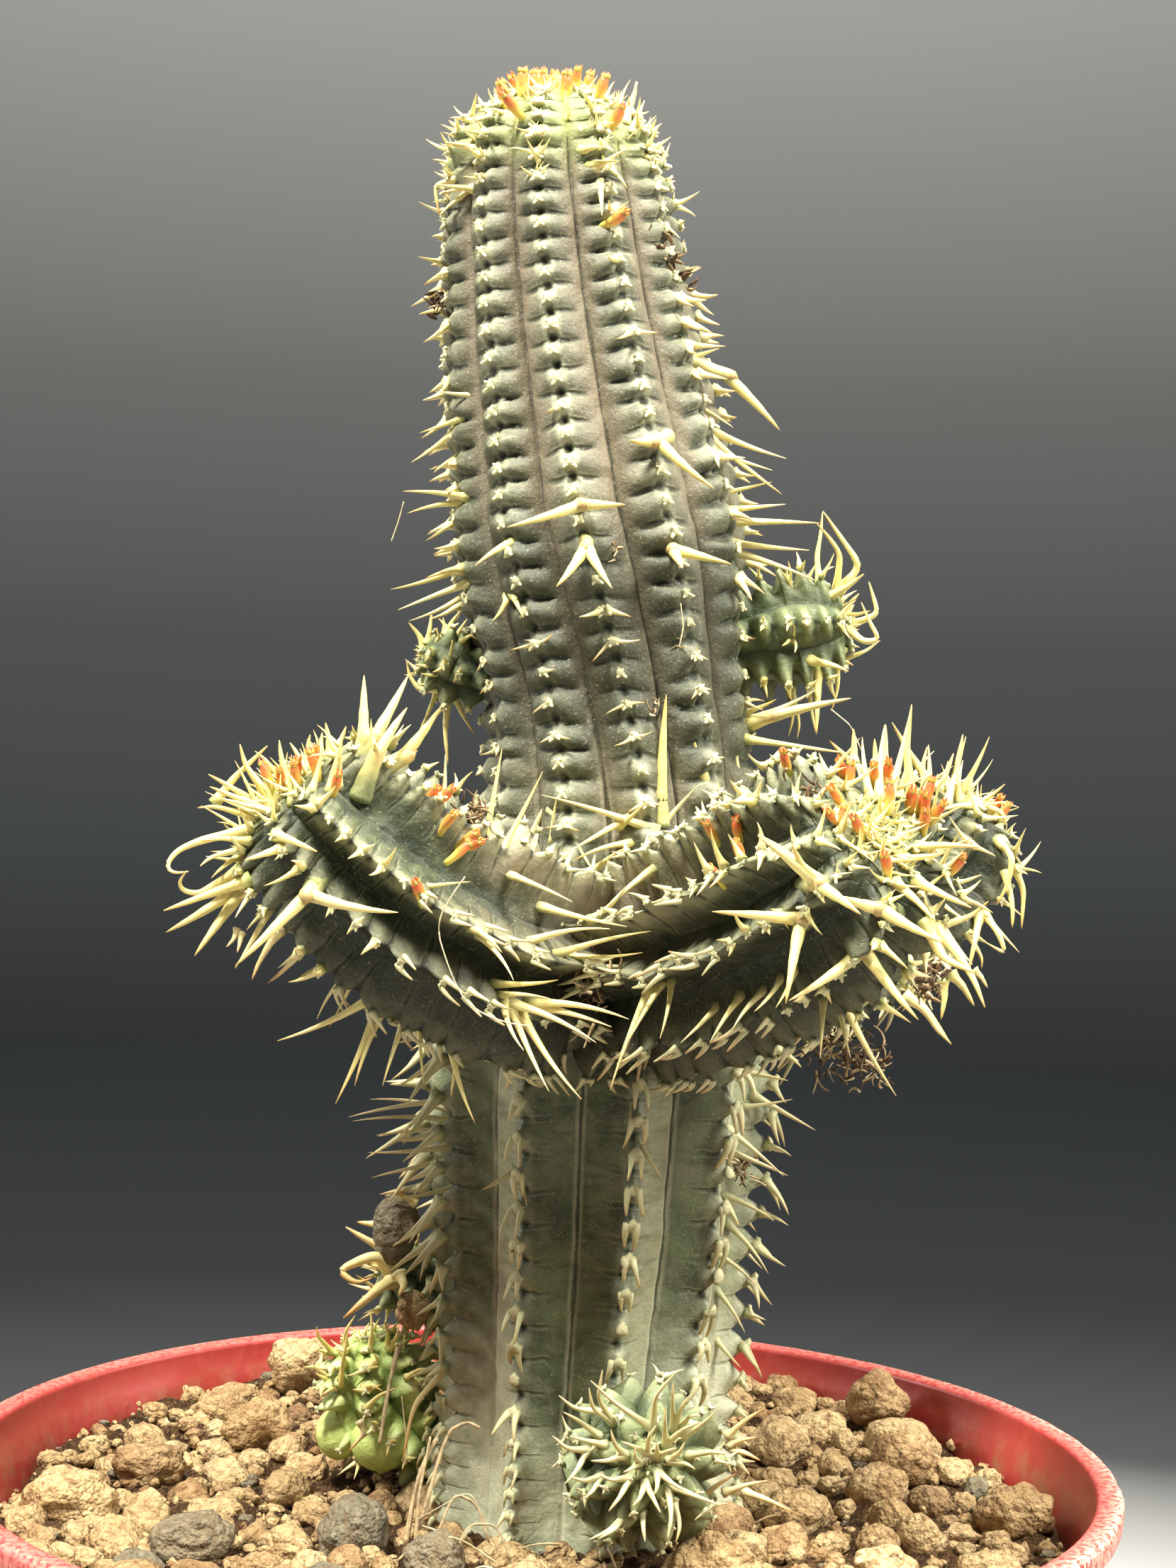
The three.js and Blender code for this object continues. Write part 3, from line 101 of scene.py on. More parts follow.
# bent spines: points from foot to tip, thickness, where they grow
KINKED = [[[[47.4, 6.0, 302.5], [51.8, 5.0, 304.8], [48.3, 4.0, 309.2], [44.6, 3.0, 314.0]], 0.8, "ur"], [[[47.5, 4.0, 302.1], [47.9, 3.0, 306.8], [45.4, 2.0, 309.8], [43.4, 1.0, 311.7]], 0.7, "ur"], [[[43.7, 7.0, 304.8], [44.1, 7.0, 306.5], [44.7, 7.0, 310.2], [44.9, 7.0, 314.3]], 0.6, "ur"], [[[46.5, 4.0, 299.8], [49.1, 2.0, 300.9], [51.7, 0.0, 303.1]], 0.75, "ur"], [[[49.1, 6.0, 294.3], [53.0, 5.3, 295.7], [55.0, 4.7, 296.7], [53.1, 4.0, 302.1]], 0.7, "ur"], [[[48.7, 4.0, 293.9], [52.4, 3.5, 291.5], [55.3, 3.0, 292.0], [53.4, 2.5, 294.8], [51.7, 2.0, 298.3]], 0.7, "ur"], [[[49.7, 6.0, 287.5], [53.3, 6.0, 290.2], [55.6, 6.0, 292.1]], 0.5, "ur"], [[[48.1, 5.0, 289.7], [48.6, 4.5, 288.6], [50.9, 4.0, 287.5]], 0.6, "ur"], [[[44.5, -1.0, 287.5], [46.8, -3.0, 287.1], [49.1, -5.0, 286.1]], 0.8, "ur"], [[[44.5, 2.0, 286.3], [44.6, 1.0, 281.2], [44.5, 0.0, 275.3]], 0.8, "ur"], [[[43.2, 5.0, 282.7], [44.0, 4.5, 279.0], [44.8, 4.0, 275.4]], 0.5, "ur"], [[[48.9, 7.0, 287.0], [48.6, 7.0, 283.5], [47.6, 7.0, 279.5]], 0.6, "ur"], [[[42.1, 8.0, 281.3], [41.0, 8.0, 277.9], [40.3, 8.0, 274.8]], 0.55, "ur"], [[[42.0, 9.0, 280.8], [42.3, 9.0, 277.1], [41.9, 9.0, 274.4]], 0.5, "ur"], [[[48.2, 5.0, 297.1], [49.9, 4.0, 298.2], [51.3, 3.0, 299.9]], 0.65, "ur"], [[[48.4, 5.0, 296.1], [51.4, 4.0, 296.4], [53.4, 3.0, 297.0]], 0.5, "ur"], [[[39.6, 3.0, 300.6], [38.6, 2.0, 302.2], [37.3, 1.0, 303.5]], 0.4, "ur"], [[[39.1, 3.0, 301.2], [39.3, 2.0, 303.1], [38.7, 1.0, 305.0]], 0.4, "ur"], [[[39.8, -2.0, 291.4], [39.9, -3.0, 292.7], [39.6, -4.0, 293.8]], 0.45, "ur"], [[[39.8, -2.0, 291.4], [38.6, -3.0, 290.6], [37.8, -4.0, 290.1]], 0.45, "ur"], [[[39.8, -2.0, 291.4], [40.3, -3.0, 290.2], [40.0, -4.0, 289.0]], 0.45, "ur"], [[[-22.4, 8.0, 287.6], [-25.0, 7.5, 290.4], [-26.9, 7.0, 292.5]], 0.65, "ul"], [[[-23.0, 7.0, 289.3], [-23.2, 7.0, 291.2], [-22.9, 7.0, 294.7]], 0.6, "ul"], [[[-21.5, 7.0, 284.6], [-24.0, 6.5, 286.2], [-25.4, 6.0, 288.0]], 0.6, "ul"], [[[-21.4, 6.0, 284.3], [-23.5, 5.5, 285.0], [-25.5, 5.0, 285.1]], 0.5, "ul"], [[[-21.0, 5.0, 283.0], [-22.8, 4.5, 283.3], [-24.3, 4.0, 283.6]], 0.5, "ul"], [[[-21.0, 7.0, 280.4], [-24.8, 6.7, 280.8], [-26.5, 6.3, 283.2], [-27.0, 6.0, 285.8]], 0.65, "ul"], [[[-21.3, 6.0, 281.1], [-23.2, 5.5, 281.9], [-24.7, 5.0, 281.6]], 0.4, "ul"], [[[-20.1, 8.0, 279.3], [-20.0, 8.0, 273.8], [-19.3, 8.0, 267.9]], 0.75, "ul"], [[[-22.1, 10.0, 279.9], [-23.3, 10.0, 276.6], [-24.9, 10.0, 272.9]], 0.5, "ul"], [[[-18.3, 7.0, 278.4], [-16.7, 7.0, 276.2], [-14.8, 7.0, 273.4]], 0.5, "ul"], [[[-20.0, 6.0, 291.2], [-19.3, 6.0, 292.9], [-18.0, 6.0, 294.7]], 0.6, "ul"], [[[-20.7, 6.0, 291.2], [-20.6, 6.0, 292.3], [-20.9, 6.0, 293.6]], 0.45, "ul"], [[[-17.9, 6.0, 291.3], [-17.2, 6.0, 292.6], [-16.4, 6.0, 293.8]], 0.45, "ul"], [[[-22.2, 6.0, 288.7], [-21.4, 5.5, 290.2], [-22.0, 5.0, 291.5]], 0.4, "ul"], [[[-17.9, 1.0, 288.2], [-18.7, 0.5, 289.7], [-19.0, 0.0, 288.9]], 0.35, "ul"], [[[-16.8, 1.0, 290.3], [-15.5, 0.0, 290.5], [-14.4, -1.0, 289.5]], 0.45, "ul"], [[[-49.0, -40.0, 256.8], [-54.6, -40.6, 255.0], [-58.7, -41.2, 253.2], [-60.3, -41.8, 250.6], [-59.1, -42.4, 249.5], [-56.4, -43.0, 250.0]], 0.8, "la"], [[[-51.2, -40.0, 247.7], [-54.9, -40.8, 246.4], [-57.7, -41.5, 246.9], [-58.1, -42.2, 248.4], [-56.6, -43.0, 250.1]], 0.75, "la"], [[[-48.3, -37.0, 263.5], [-48.9, -37.0, 266.8], [-49.8, -37.0, 270.1]], 0.8, "la"], [[[-53.7, -36.0, 260.6], [-50.8, -36.0, 264.7], [-45.6, -36.0, 270.0]], 0.75, "la"], [[[-43.0, -37.0, 266.3], [-43.3, -37.0, 268.7], [-43.6, -37.0, 270.9]], 0.7, "la"], [[[-40.2, -36.0, 268.1], [-41.1, -36.0, 269.4], [-42.0, -36.0, 270.6]], 0.6, "la"], [[[-39.7, -34.0, 267.8], [-39.4, -34.0, 270.2], [-39.1, -34.0, 272.0]], 0.65, "la"], [[[-35.4, -33.0, 268.9], [-36.2, -33.0, 271.6], [-36.8, -33.0, 274.0]], 0.7, "la"], [[[-37.3, -33.0, 268.9], [-37.4, -33.0, 270.6], [-37.3, -33.0, 272.4]], 0.6, "la"], [[[-34.7, -32.0, 269.3], [-34.3, -32.0, 271.4], [-33.6, -32.0, 273.5]], 0.7, "la"], [[[-43.8, -36.0, 266.3], [-45.9, -36.0, 267.9], [-47.5, -36.0, 269.1]], 0.6, "la"], [[[-48.1, -38.0, 261.5], [-51.5, -38.5, 263.7], [-54.3, -39.0, 265.2]], 0.75, "la"], [[[-45.1, -40.0, 259.6], [-49.8, -40.5, 261.8], [-53.7, -41.0, 263.3]], 0.75, "la"], [[[-43.5, -42.0, 259.0], [-47.4, -43.0, 260.6], [-51.6, -44.0, 261.6]], 0.6, "la"], [[[-50.4, -38.0, 260.7], [-53.4, -38.5, 260.3], [-55.8, -39.0, 259.9]], 0.7, "la"], [[[-48.8, -42.0, 248.2], [-54.1, -44.0, 246.2], [-59.5, -46.0, 244.0]], 0.9, "la"], [[[-52.6, -42.0, 253.4], [-53.1, -43.0, 252.4], [-54.4, -44.0, 251.0]], 0.6, "la"], [[[-43.0, -50.0, 254.0], [-44.4, -51.5, 253.2], [-46.3, -53.0, 252.5]], 0.75, "la"], [[[-41.8, -50.0, 256.0], [-38.9, -52.0, 255.5], [-35.3, -54.0, 254.2]], 0.8, "la"], [[[-48.5, -44.0, 255.9], [-50.9, -45.0, 255.5], [-54.2, -46.0, 255.0]], 0.6, "la"], [[[-48.9, -40.0, 241.1], [-49.3, -41.0, 239.5], [-50.2, -42.0, 238.4]], 0.5, "lt"], [[[-48.2, -40.0, 240.5], [-48.3, -41.0, 238.9], [-48.5, -42.0, 237.6]], 0.5, "lt"], [[[-44.1, -40.0, 237.9], [-45.2, -41.5, 236.0], [-45.9, -43.0, 233.6]], 0.7, "lt"], [[[-40.2, -38.0, 235.6], [-42.1, -39.0, 234.2], [-43.8, -40.0, 232.8]], 0.6, "lt"], [[[40.2, -66.0, 251.9], [37.1, -68.0, 254.9], [35.3, -70.0, 258.0]], 0.9, "ra"], [[[38.7, -66.0, 253.5], [34.3, -67.5, 257.2], [30.4, -69.0, 259.4]], 0.7, "ra"], [[[58.8, -58.0, 244.7], [61.0, -60.0, 242.8], [63.6, -62.0, 238.8], [65.0, -64.0, 234.9]], 0.9, "ra"], [[[56.3, -60.0, 245.8], [58.5, -63.0, 241.9], [63.0, -66.0, 240.0]], 1.0, "ra"], [[[63.3, -40.0, 237.7], [65.1, -41.0, 236.0], [66.8, -42.0, 233.1]], 0.8, "ra"], [[[53.1, -62.0, 252.1], [54.6, -64.0, 250.2], [56.7, -66.0, 247.7]], 0.8, "ra"], [[[55.1, -60.0, 252.4], [58.7, -62.0, 251.1], [62.5, -64.0, 249.5]], 0.8, "ra"], [[[56.8, -56.0, 258.7], [60.1, -57.5, 258.5], [64.1, -59.0, 258.3]], 0.7, "ra"], [[[53.9, -60.0, 256.6], [57.2, -61.5, 256.9], [59.0, -63.0, 257.7]], 0.6, "ra"], [[[60.3, -50.0, 252.5], [62.7, -51.0, 252.6], [65.7, -52.0, 253.9]], 0.5, "ra"], [[[63.2, -44.0, 246.8], [65.5, -45.5, 247.3], [67.7, -47.0, 249.7]], 0.7, "ra"], [[[76.7, 14.0, 267.2], [79.4, 14.0, 262.7], [80.1, 14.0, 260.2]], 0.8, "rb"], [[[76.0, 12.0, 266.4], [70.8, 10.0, 263.7], [65.8, 8.0, 262.3]], 0.7, "rb"], [[[79.7, 10.0, 259.0], [80.8, 10.0, 254.9], [80.2, 10.0, 250.3], [78.2, 10.0, 246.3]], 0.8, "rb"], [[[81.9, 12.0, 253.2], [83.3, 12.0, 249.1], [83.1, 12.0, 242.2]], 0.7, "rb"], [[[80.4, 10.0, 250.3], [81.1, 10.0, 246.2], [81.1, 10.0, 241.4]], 0.7, "rb"], [[[76.9, 8.0, 244.5], [78.3, 8.0, 241.7], [79.9, 8.0, 237.8], [76.3, 8.0, 239.7]], 0.7, "rb"], [[[75.4, 6.0, 244.6], [73.9, 6.0, 239.6], [73.0, 6.0, 234.6]], 0.8, "rb"], [[[74.8, 8.0, 239.5], [75.7, 8.0, 237.0], [75.6, 8.0, 235.2]], 0.6, "rb"], [[[67.9, 0.0, 233.7], [68.2, 0.0, 230.5], [67.7, 0.0, 226.8]], 0.8, "rb"], [[[59.9, -10.0, 231.5], [63.5, -10.0, 229.3], [65.6, -10.0, 226.1], [68.1, -10.0, 223.6]], 0.9, "rb"], [[[73.1, 0.0, 235.5], [74.4, 0.0, 234.3], [75.5, 0.0, 232.5]], 0.6, "rb"], [[[60.4, 10.0, 264.6], [61.3, 10.0, 273.0], [62.0, 10.0, 281.1]], 1.0, "rb"], [[[65.5, 12.0, 266.8], [62.4, 12.0, 272.2], [58.9, 12.0, 277.9]], 0.9, "rb"], [[[57.2, 8.0, 267.0], [57.4, 8.0, 272.0], [57.3, 8.0, 277.4]], 0.9, "rb"], [[[71.8, 14.0, 264.1], [70.6, 14.0, 268.3], [71.8, 14.0, 276.2]], 0.9, "rb"], [[[63.6, 10.0, 267.2], [64.3, 10.0, 270.6], [65.0, 10.0, 273.8]], 0.7, "rb"], [[[67.7, 13.0, 267.7], [69.3, 13.0, 270.3], [70.1, 13.0, 272.8]], 0.7, "rb"], [[[73.6, 14.0, 265.0], [73.5, 14.0, 267.1], [73.7, 14.0, 269.2]], 0.6, "rb"], [[[55.0, 4.0, 267.8], [50.8, 4.0, 270.9], [47.2, 4.0, 274.2]], 0.9, "rb"], [[[43.9, -6.0, 266.7], [42.7, -6.0, 269.1], [41.0, -6.0, 271.2]], 0.7, "rb"], [[[49.0, -20.0, 270.5], [49.0, -20.0, 273.2], [48.8, -20.0, 276.0]], 0.75, "rb"], [[[50.6, -40.0, 268.7], [50.3, -40.0, 271.6], [50.1, -40.0, 274.2]], 0.7, "rb"], [[[42.2, -30.0, 266.8], [42.0, -30.0, 268.7], [42.0, -30.0, 270.6]], 0.5, "rb"], [[[36.1, -10.0, 264.9], [38.0, -10.0, 268.9], [39.8, -10.0, 272.7]], 0.5, "rb"], [[[43.9, -44.0, 265.9], [43.1, -44.0, 267.3], [42.0, -44.0, 268.4]], 0.5, "rb"], [[[54.3, -40.0, 265.1], [54.6, -40.0, 267.3], [55.5, -40.0, 270.7]], 0.6, "rb"], [[[-27.2, 6.0, 180.9], [-28.8, 5.5, 182.0], [-35.7, 5.0, 178.9], [-32.0, 4.5, 176.5], [-29.5, 4.0, 178.0]], 1.2, "bl"], [[[-26.0, 4.0, 178.5], [-28.3, 1.5, 176.5], [-33.7, -1.0, 171.9]], 1.25, "bl"], [[[-24.6, 2.0, 179.2], [-23.5, 0.5, 177.7], [-24.3, -1.0, 176.1]], 1.0, "bl"], [[[-28.2, 10.0, 183.6], [-31.4, 10.0, 183.7], [-34.8, 10.0, 185.6]], 1.0, "bl"], [[[-28.5, 12.0, 185.9], [-31.0, 12.0, 186.0], [-33.0, 12.0, 186.2]], 0.8, "bl"], [[[-22.5, 6.0, 191.2], [-23.7, 5.0, 192.0], [-25.7, 4.0, 193.0]], 0.8, "bl"], [[[17.3, -36.6, 165.8], [12.7, -40.1, 168.6], [8.9, -41.5, 172.3]], 0.62, "bf"], [[[17.3, -36.6, 165.8], [19.2, -39.9, 170.1], [22.1, -41.2, 173.9]], 0.62, "bf"], [[[10.8, -34.7, 163.8], [10.1, -38.0, 168.7], [10.7, -39.3, 173.5]], 0.62, "bf"], [[[10.8, -34.7, 163.8], [9.3, -37.6, 167.0], [8.7, -38.6, 170.4]], 0.62, "bf"], [[[9.3, -32.8, 164.8], [6.4, -35.8, 166.4], [4.0, -36.7, 168.6]], 0.62, "bf"], [[[9.4, -33.5, 164.0], [7.0, -36.3, 164.8], [4.8, -37.1, 166.1]], 0.62, "bf"], [[[10.8, -35.6, 161.9], [8.3, -38.4, 162.1], [5.9, -39.3, 162.9]], 0.62, "bf"], [[[8.2, -34.1, 158.7], [5.5, -37.1, 160.3], [3.2, -38.0, 162.5]], 0.62, "bf"], [[[8.2, -34.1, 158.7], [7.1, -37.1, 156.7], [5.4, -38.0, 155.0]], 0.62, "bf"], [[[14.3, -38.0, 160.0], [13.0, -40.8, 162.2], [12.3, -41.5, 164.7]], 0.62, "bf"], [[[14.3, -38.0, 160.0], [11.8, -40.8, 159.6], [9.4, -41.7, 159.8]], 0.62, "bf"], [[[17.8, -38.6, 161.7], [15.8, -41.3, 162.2], [14.0, -42.0, 163.1]], 0.62, "bf"], [[[17.8, -38.6, 161.7], [18.3, -41.3, 163.8], [19.3, -42.0, 165.7]], 0.62, "bf"], [[[21.5, -38.0, 163.1], [20.8, -40.8, 165.8], [20.8, -41.6, 168.6]], 0.62, "bf"], [[[21.5, -38.0, 163.1], [23.7, -40.9, 165.1], [26.3, -41.9, 166.5]], 0.62, "bf"], [[[22.6, -36.2, 165.9], [21.9, -39.1, 169.0], [21.9, -40.0, 172.1]], 0.62, "bf"], [[[22.6, -36.2, 165.9], [23.4, -39.0, 168.2], [24.7, -39.7, 170.2]], 0.62, "bf"], [[[23.4, -35.8, 166.0], [24.8, -38.5, 166.6], [26.4, -39.1, 166.8]], 0.62, "bf"], [[[25.4, -36.6, 162.9], [26.8, -39.5, 165.6], [28.7, -40.5, 167.9]], 0.62, "bf"], [[[25.9, -36.9, 161.0], [28.7, -39.9, 161.4], [31.4, -40.8, 161.2]], 0.62, "bf"], [[[20.3, -38.8, 160.9], [19.7, -41.2, 161.9], [19.4, -41.7, 163.1]], 0.62, "bf"], [[[20.3, -38.8, 160.9], [21.4, -41.4, 161.7], [22.7, -41.9, 162.3]], 0.62, "bf"], [[[23.3, -38.3, 159.8], [23.4, -40.8, 161.5], [23.9, -41.4, 163.1]], 0.62, "bf"], [[[23.3, -38.3, 159.8], [24.5, -40.9, 159.6], [25.7, -41.6, 159.0]], 0.62, "bf"], [[[16.5, -38.7, 159.0], [16.2, -41.2, 160.5], [16.2, -41.8, 162.0]], 0.62, "bf"], [[[16.5, -38.7, 159.0], [15.5, -41.3, 158.5], [14.5, -41.8, 158.2]], 0.62, "bf"], [[[10.8, -35.9, 155.3], [8.4, -38.7, 155.7], [6.1, -39.5, 156.6]], 0.62, "bf"], [[[10.8, -35.9, 155.3], [9.8, -38.6, 154.1], [8.5, -39.3, 153.1]], 0.62, "bf"], [[[15.1, -38.1, 156.1], [12.8, -40.9, 156.6], [10.7, -41.7, 157.6]], 0.62, "bf"], [[[15.1, -38.1, 156.1], [14.0, -41.0, 153.9], [12.4, -42.0, 152.1]], 0.62, "bf"], [[[18.1, -38.4, 155.1], [17.2, -41.1, 153.9], [16.1, -41.8, 152.9]], 0.62, "bf"], [[[18.1, -38.4, 155.1], [19.5, -41.2, 153.7], [20.5, -42.1, 152.1]], 0.62, "bf"], [[[20.2, -38.8, 156.7], [19.9, -41.4, 155.8], [19.4, -42.0, 154.9]], 0.62, "bf"], [[[20.2, -38.8, 156.7], [22.4, -41.6, 156.5], [24.4, -42.5, 155.7]], 0.62, "bf"], [[[22.2, -38.0, 154.6], [26.1, -41.2, 154.6], [29.8, -42.5, 153.7]], 0.62, "bf"], [[[22.2, -38.0, 154.6], [22.3, -41.2, 151.3], [21.7, -42.4, 148.1]], 0.62, "bf"], [[[15.6, -36.0, 150.1], [13.5, -39.0, 148.3], [11.0, -40.0, 147.1]], 0.62, "bf"], [[[15.6, -36.0, 150.1], [12.7, -39.1, 148.2], [9.5, -40.3, 147.0]], 0.62, "bf"], [[[17.3, -36.2, 150.0], [18.0, -39.0, 148.5], [18.3, -39.8, 146.8]], 0.62, "bf"], [[[23.8, -36.5, 151.8], [23.8, -39.5, 149.4], [23.1, -40.5, 147.1]], 0.62, "bf"], [[[31.9, -19.0, 158.4], [34.8, -20.6, 161.6], [37.7, -21.0, 163.7]], 0.6, "sl"], [[[32.4, -19.0, 156.9], [34.6, -20.6, 158.4], [36.8, -21.0, 158.9]], 0.6, "sl"], [[[33.0, -19.0, 156.2], [35.2, -20.6, 156.1], [37.4, -21.0, 155.1]], 0.6, "sl"], [[[35.0, -18.0, 149.1], [39.2, -19.6, 148.2], [43.3, -20.0, 146.4]], 0.6, "sl"], [[[27.6, -24.0, 149.5], [30.4, -25.6, 152.3], [33.1, -26.0, 154.1]], 0.6, "sl"], [[[31.6, -20.0, 149.3], [35.2, -21.6, 151.2], [38.7, -22.0, 152.1]], 0.6, "sl"], [[[-36.4, 8.0, 164.5], [-34.0, 6.5, 168.0], [-32.3, 6.0, 170.9]], 0.55, "bs"], [[[-35.0, 5.0, 159.9], [-33.8, 3.5, 164.7], [-33.2, 3.0, 169.0]], 0.55, "bs"], [[[-29.7, 8.0, 163.8], [-29.3, 6.5, 168.2], [-29.6, 6.0, 171.9]], 0.55, "bs"], [[[-39.6, 12.0, 163.5], [-39.2, 10.5, 166.0], [-39.4, 10.0, 167.8]], 0.55, "bs"], [[[-30.9, 2.0, 160.4], [-28.5, 0.5, 160.2], [-26.7, 0.0, 159.3]], 0.55, "bs"], [[[-30.7, 1.0, 156.6], [-27.0, -0.5, 158.8], [-23.8, -1.0, 160.3]], 0.55, "bs"], [[[-22.9, 4.0, 161.8], [-20.6, 2.5, 162.7], [-18.8, 2.0, 163.0]], 0.55, "bs"], [[[-37.7, 10.0, 158.6], [-38.4, 8.5, 160.4], [-39.8, 8.0, 161.6]], 0.55, "bs"], [[[-37.2, 9.0, 158.2], [-37.8, 7.5, 159.5], [-39.0, 7.0, 160.2]], 0.55, "bs"], [[[-36.1, 7.0, 158.1], [-36.4, 5.5, 157.8], [-37.4, 5.0, 157.0]], 0.55, "bs"], [[[-34.7, 6.0, 158.1], [-34.2, 4.5, 160.0], [-34.3, 4.0, 161.4]], 0.55, "bs"], [[[-33.6, 6.0, 162.2], [-34.2, 4.5, 164.2], [-35.4, 4.0, 165.5]], 0.55, "bs"], [[[-26.5, 7.0, 165.7], [-26.5, 5.5, 168.3], [-27.1, 5.0, 170.3]], 0.55, "bs"], [[[-25.8, 6.0, 165.7], [-24.8, 4.5, 167.8], [-24.5, 4.0, 169.3]], 0.55, "bs"], [[[-27.4, 4.0, 162.3], [-27.7, 2.5, 164.1], [-28.6, 2.0, 165.2]], 0.55, "bs"], [[[-30.5, 0.0, 154.0], [-29.5, 0.0, 151.9], [-32.1, 0.0, 148.7]], 0.6, "sl"], [[[-18.2, -8.0, 164.8], [-20.8, -8.0, 159.2], [-22.3, -8.0, 149.0]], 0.6, "sl"], [[[9.3, -2.0, 382.2], [9.6, -2.0, 384.0], [9.6, -2.0, 386.0]], 0.6, "cr"], [[[-20.1, 0.0, 376.7], [-21.2, 0.0, 377.8], [-22.3, 0.0, 378.8]], 0.6, "cr"], [[[-16.3, -6.0, 372.3], [-19.3, -6.0, 372.8], [-22.3, -6.0, 373.5]], 0.6, "cr"], [[[-16.7, -6.0, 366.5], [-19.7, -6.0, 365.7], [-22.8, -6.0, 365.0]], 0.6, "cr"], [[[-22.1, -3.0, 367.6], [-24.3, -3.0, 366.9], [-23.2, -3.0, 361.7]], 0.6, "cr"], [[[2.8, -16.0, 368.4], [5.6, -16.0, 369.4], [8.2, -16.0, 371.0]], 0.6, "cr"], [[[0.3, -12.0, 374.7], [2.4, -12.0, 375.7], [4.2, -12.0, 377.0]], 0.6, "cr"], [[[12.4, 0.0, 375.0], [13.7, 0.0, 374.0], [15.1, 0.0, 372.8]], 0.6, "cr"]]
ROOTS = [([[-20.2, -27.0, 141.0], [-18.9, -26.0, 150.0], [-17.1, -25.0, 155.6], [-15.8, -24.0, 157.7]], 0.5), ([[-18.6, -28.0, 140.0], [-18.3, -27.0, 149.2], [-17.4, -26.0, 154.7], [-16.8, -25.0, 158.2]], 0.3), ([[-15.6, -28.0, 141.5], [-12.6, -27.0, 149.9], [-8.9, -26.0, 148.0], [-6.6, -27.0, 142.0]], 0.28), ([[-12.2, -30.0, 140.1], [-10.1, -29.0, 145.4], [-5.5, -28.0, 145.3], [-3.0, -29.0, 140.0]], 0.22), ([[-18.2, -24.0, 142.8], [-14.4, -20.0, 157.9], [-11.0, -20.0, 159.7], [-9.0, -21.0, 159.0]], 0.36), ([[-23.8, -6.0, 168.4], [-25.1, -8.0, 161.6], [-25.8, -9.0, 155.8], [-26.2, -9.0, 152.8]], 0.42), ([[-21.1, -32.0, 140.0], [-16.8, -30.0, 143.8], [-11.1, -30.0, 143.4], [-5.2, -32.0, 140.3]], 0.2)]
HAIRS = [[[-12.7, -55.0, 251.2], [-15.3, -55.0, 247.3], [-16.9, -55.0, 243.7], [-15.6, -55.0, 239.6], [-13.7, -55.0, 234.9], [-11.5, -55.0, 231.5], [-6.4, -55.0, 229.3], [-2.6, -55.0, 229.0]], [[19.6, -22.0, 295.6], [20.2, -22.0, 291.7], [19.6, -22.0, 288.5]], [[-27.8, -2.0, 312.8], [-28.6, -2.0, 309.4], [-29.7, -2.0, 306.0]], [[-22.8, -8.0, 160.6], [-21.5, -8.0, 151.3], [-22.1, -8.0, 148.6]], [[-18.8, -24.0, 144.2], [-10.0, -24.0, 149.6], [-4.5, -24.0, 138.2]], [[46.4, -5.0, 279.5], [49.8, -5.0, 276.9], [52.0, -5.0, 272.3]]]

rng = np.random.default_rng(41)

# ------------------------------------------------------------------ helpers
def unit(v):
    v = np.asarray(v, float)
    return v / np.maximum(np.linalg.norm(v, axis=-1, keepdims=True), 1e-12)

def vnoise(P, scale=1.0, seed=0):
    q = np.asarray(P, float) / scale + seed * 17.13
    i = np.floor(q).astype(np.int64)
    f = q - i
    f = f * f * (3 - 2 * f)
    def h(dx, dy, dz):
        n = ((i[..., 0] + dx) * 374761393 + (i[..., 1] + dy) * 668265263 + (i[..., 2] + dz) * 1442695041 + seed * 101390423) & 0xffffffff
        n = ((n ^ (n >> 13)) * 1274126177) & 0xffffffff
        n = n ^ (n >> 16)
        return (n & 0xffff) / 32767.5 - 1.0
    x, y, z = f[..., 0], f[..., 1], f[..., 2]
    a = h(0, 0, 0) * (1 - x) + h(1, 0, 0) * x
    b = h(0, 1, 0) * (1 - x) + h(1, 1, 0) * x
    c = h(0, 0, 1) * (1 - x) + h(1, 0, 1) * x
    d = h(0, 1, 1) * (1 - x) + h(1, 1, 1) * x
    return (a * (1 - y) + b * y) * (1 - z) + (c * (1 - y) + d * y) * z

def fbm(P, scale, seed=0, octaves=3):
    o, amp, s = 0, 1.0, scale
    for k in range(octaves):
        o = o + amp * vnoise(P, s, seed + k)
        amp *= 0.5
        s *= 0.5
    return o

def sstep(x, a, b):
    t = np.clip((np.asarray(x, float) - a) / (b - a), 0, 1)
    return t * t * (3 - 2 * t)

def build(name, V, quads=None, tris=None, attrs=None, mat=None, smooth=True, replaces=()):
    me = bpy.data.meshes.new(name)
    V = np.ascontiguousarray(V, np.float32) * MM
    me.vertices.add(len(V))
    me.vertices.foreach_set("co", V.ravel())
    parts, starts, n = [], [], 0
    for f, k in ((quads, 4), (tris, 3)):
        if f is not None and len(f):
            f = np.asarray(f, np.int32)
            parts.append(f.ravel())
            starts.append(n + np.arange(len(f)) * k)
            n += f.size
    loops = np.concatenate(parts)
    starts = np.concatenate(starts).astype(np.int32)
    me.loops.add(len(loops))
    me.loops.foreach_set("vertex_index", loops)
    me.polygons.add(len(starts))
    me.polygons.foreach_set("loop_start", starts)
    me.update(calc_edges=True)
    me.validate()
    if smooth:
        me.polygons.foreach_set("use_smooth", np.ones(len(me.polygons), bool))
    for key, arr in (attrs or {}).items():
        a = me.attributes.new(key, "FLOAT", "POINT")
        a.data.foreach_set("value", np.ascontiguousarray(arr, np.float32))
    ob = bpy.data.objects.new(name, me)
    scene.collection.objects.link(ob)
    if mat is not None:
        me.materials.append(mat)
    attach(ob, "root")
    if replaces:
        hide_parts(*replaces)
    return ob

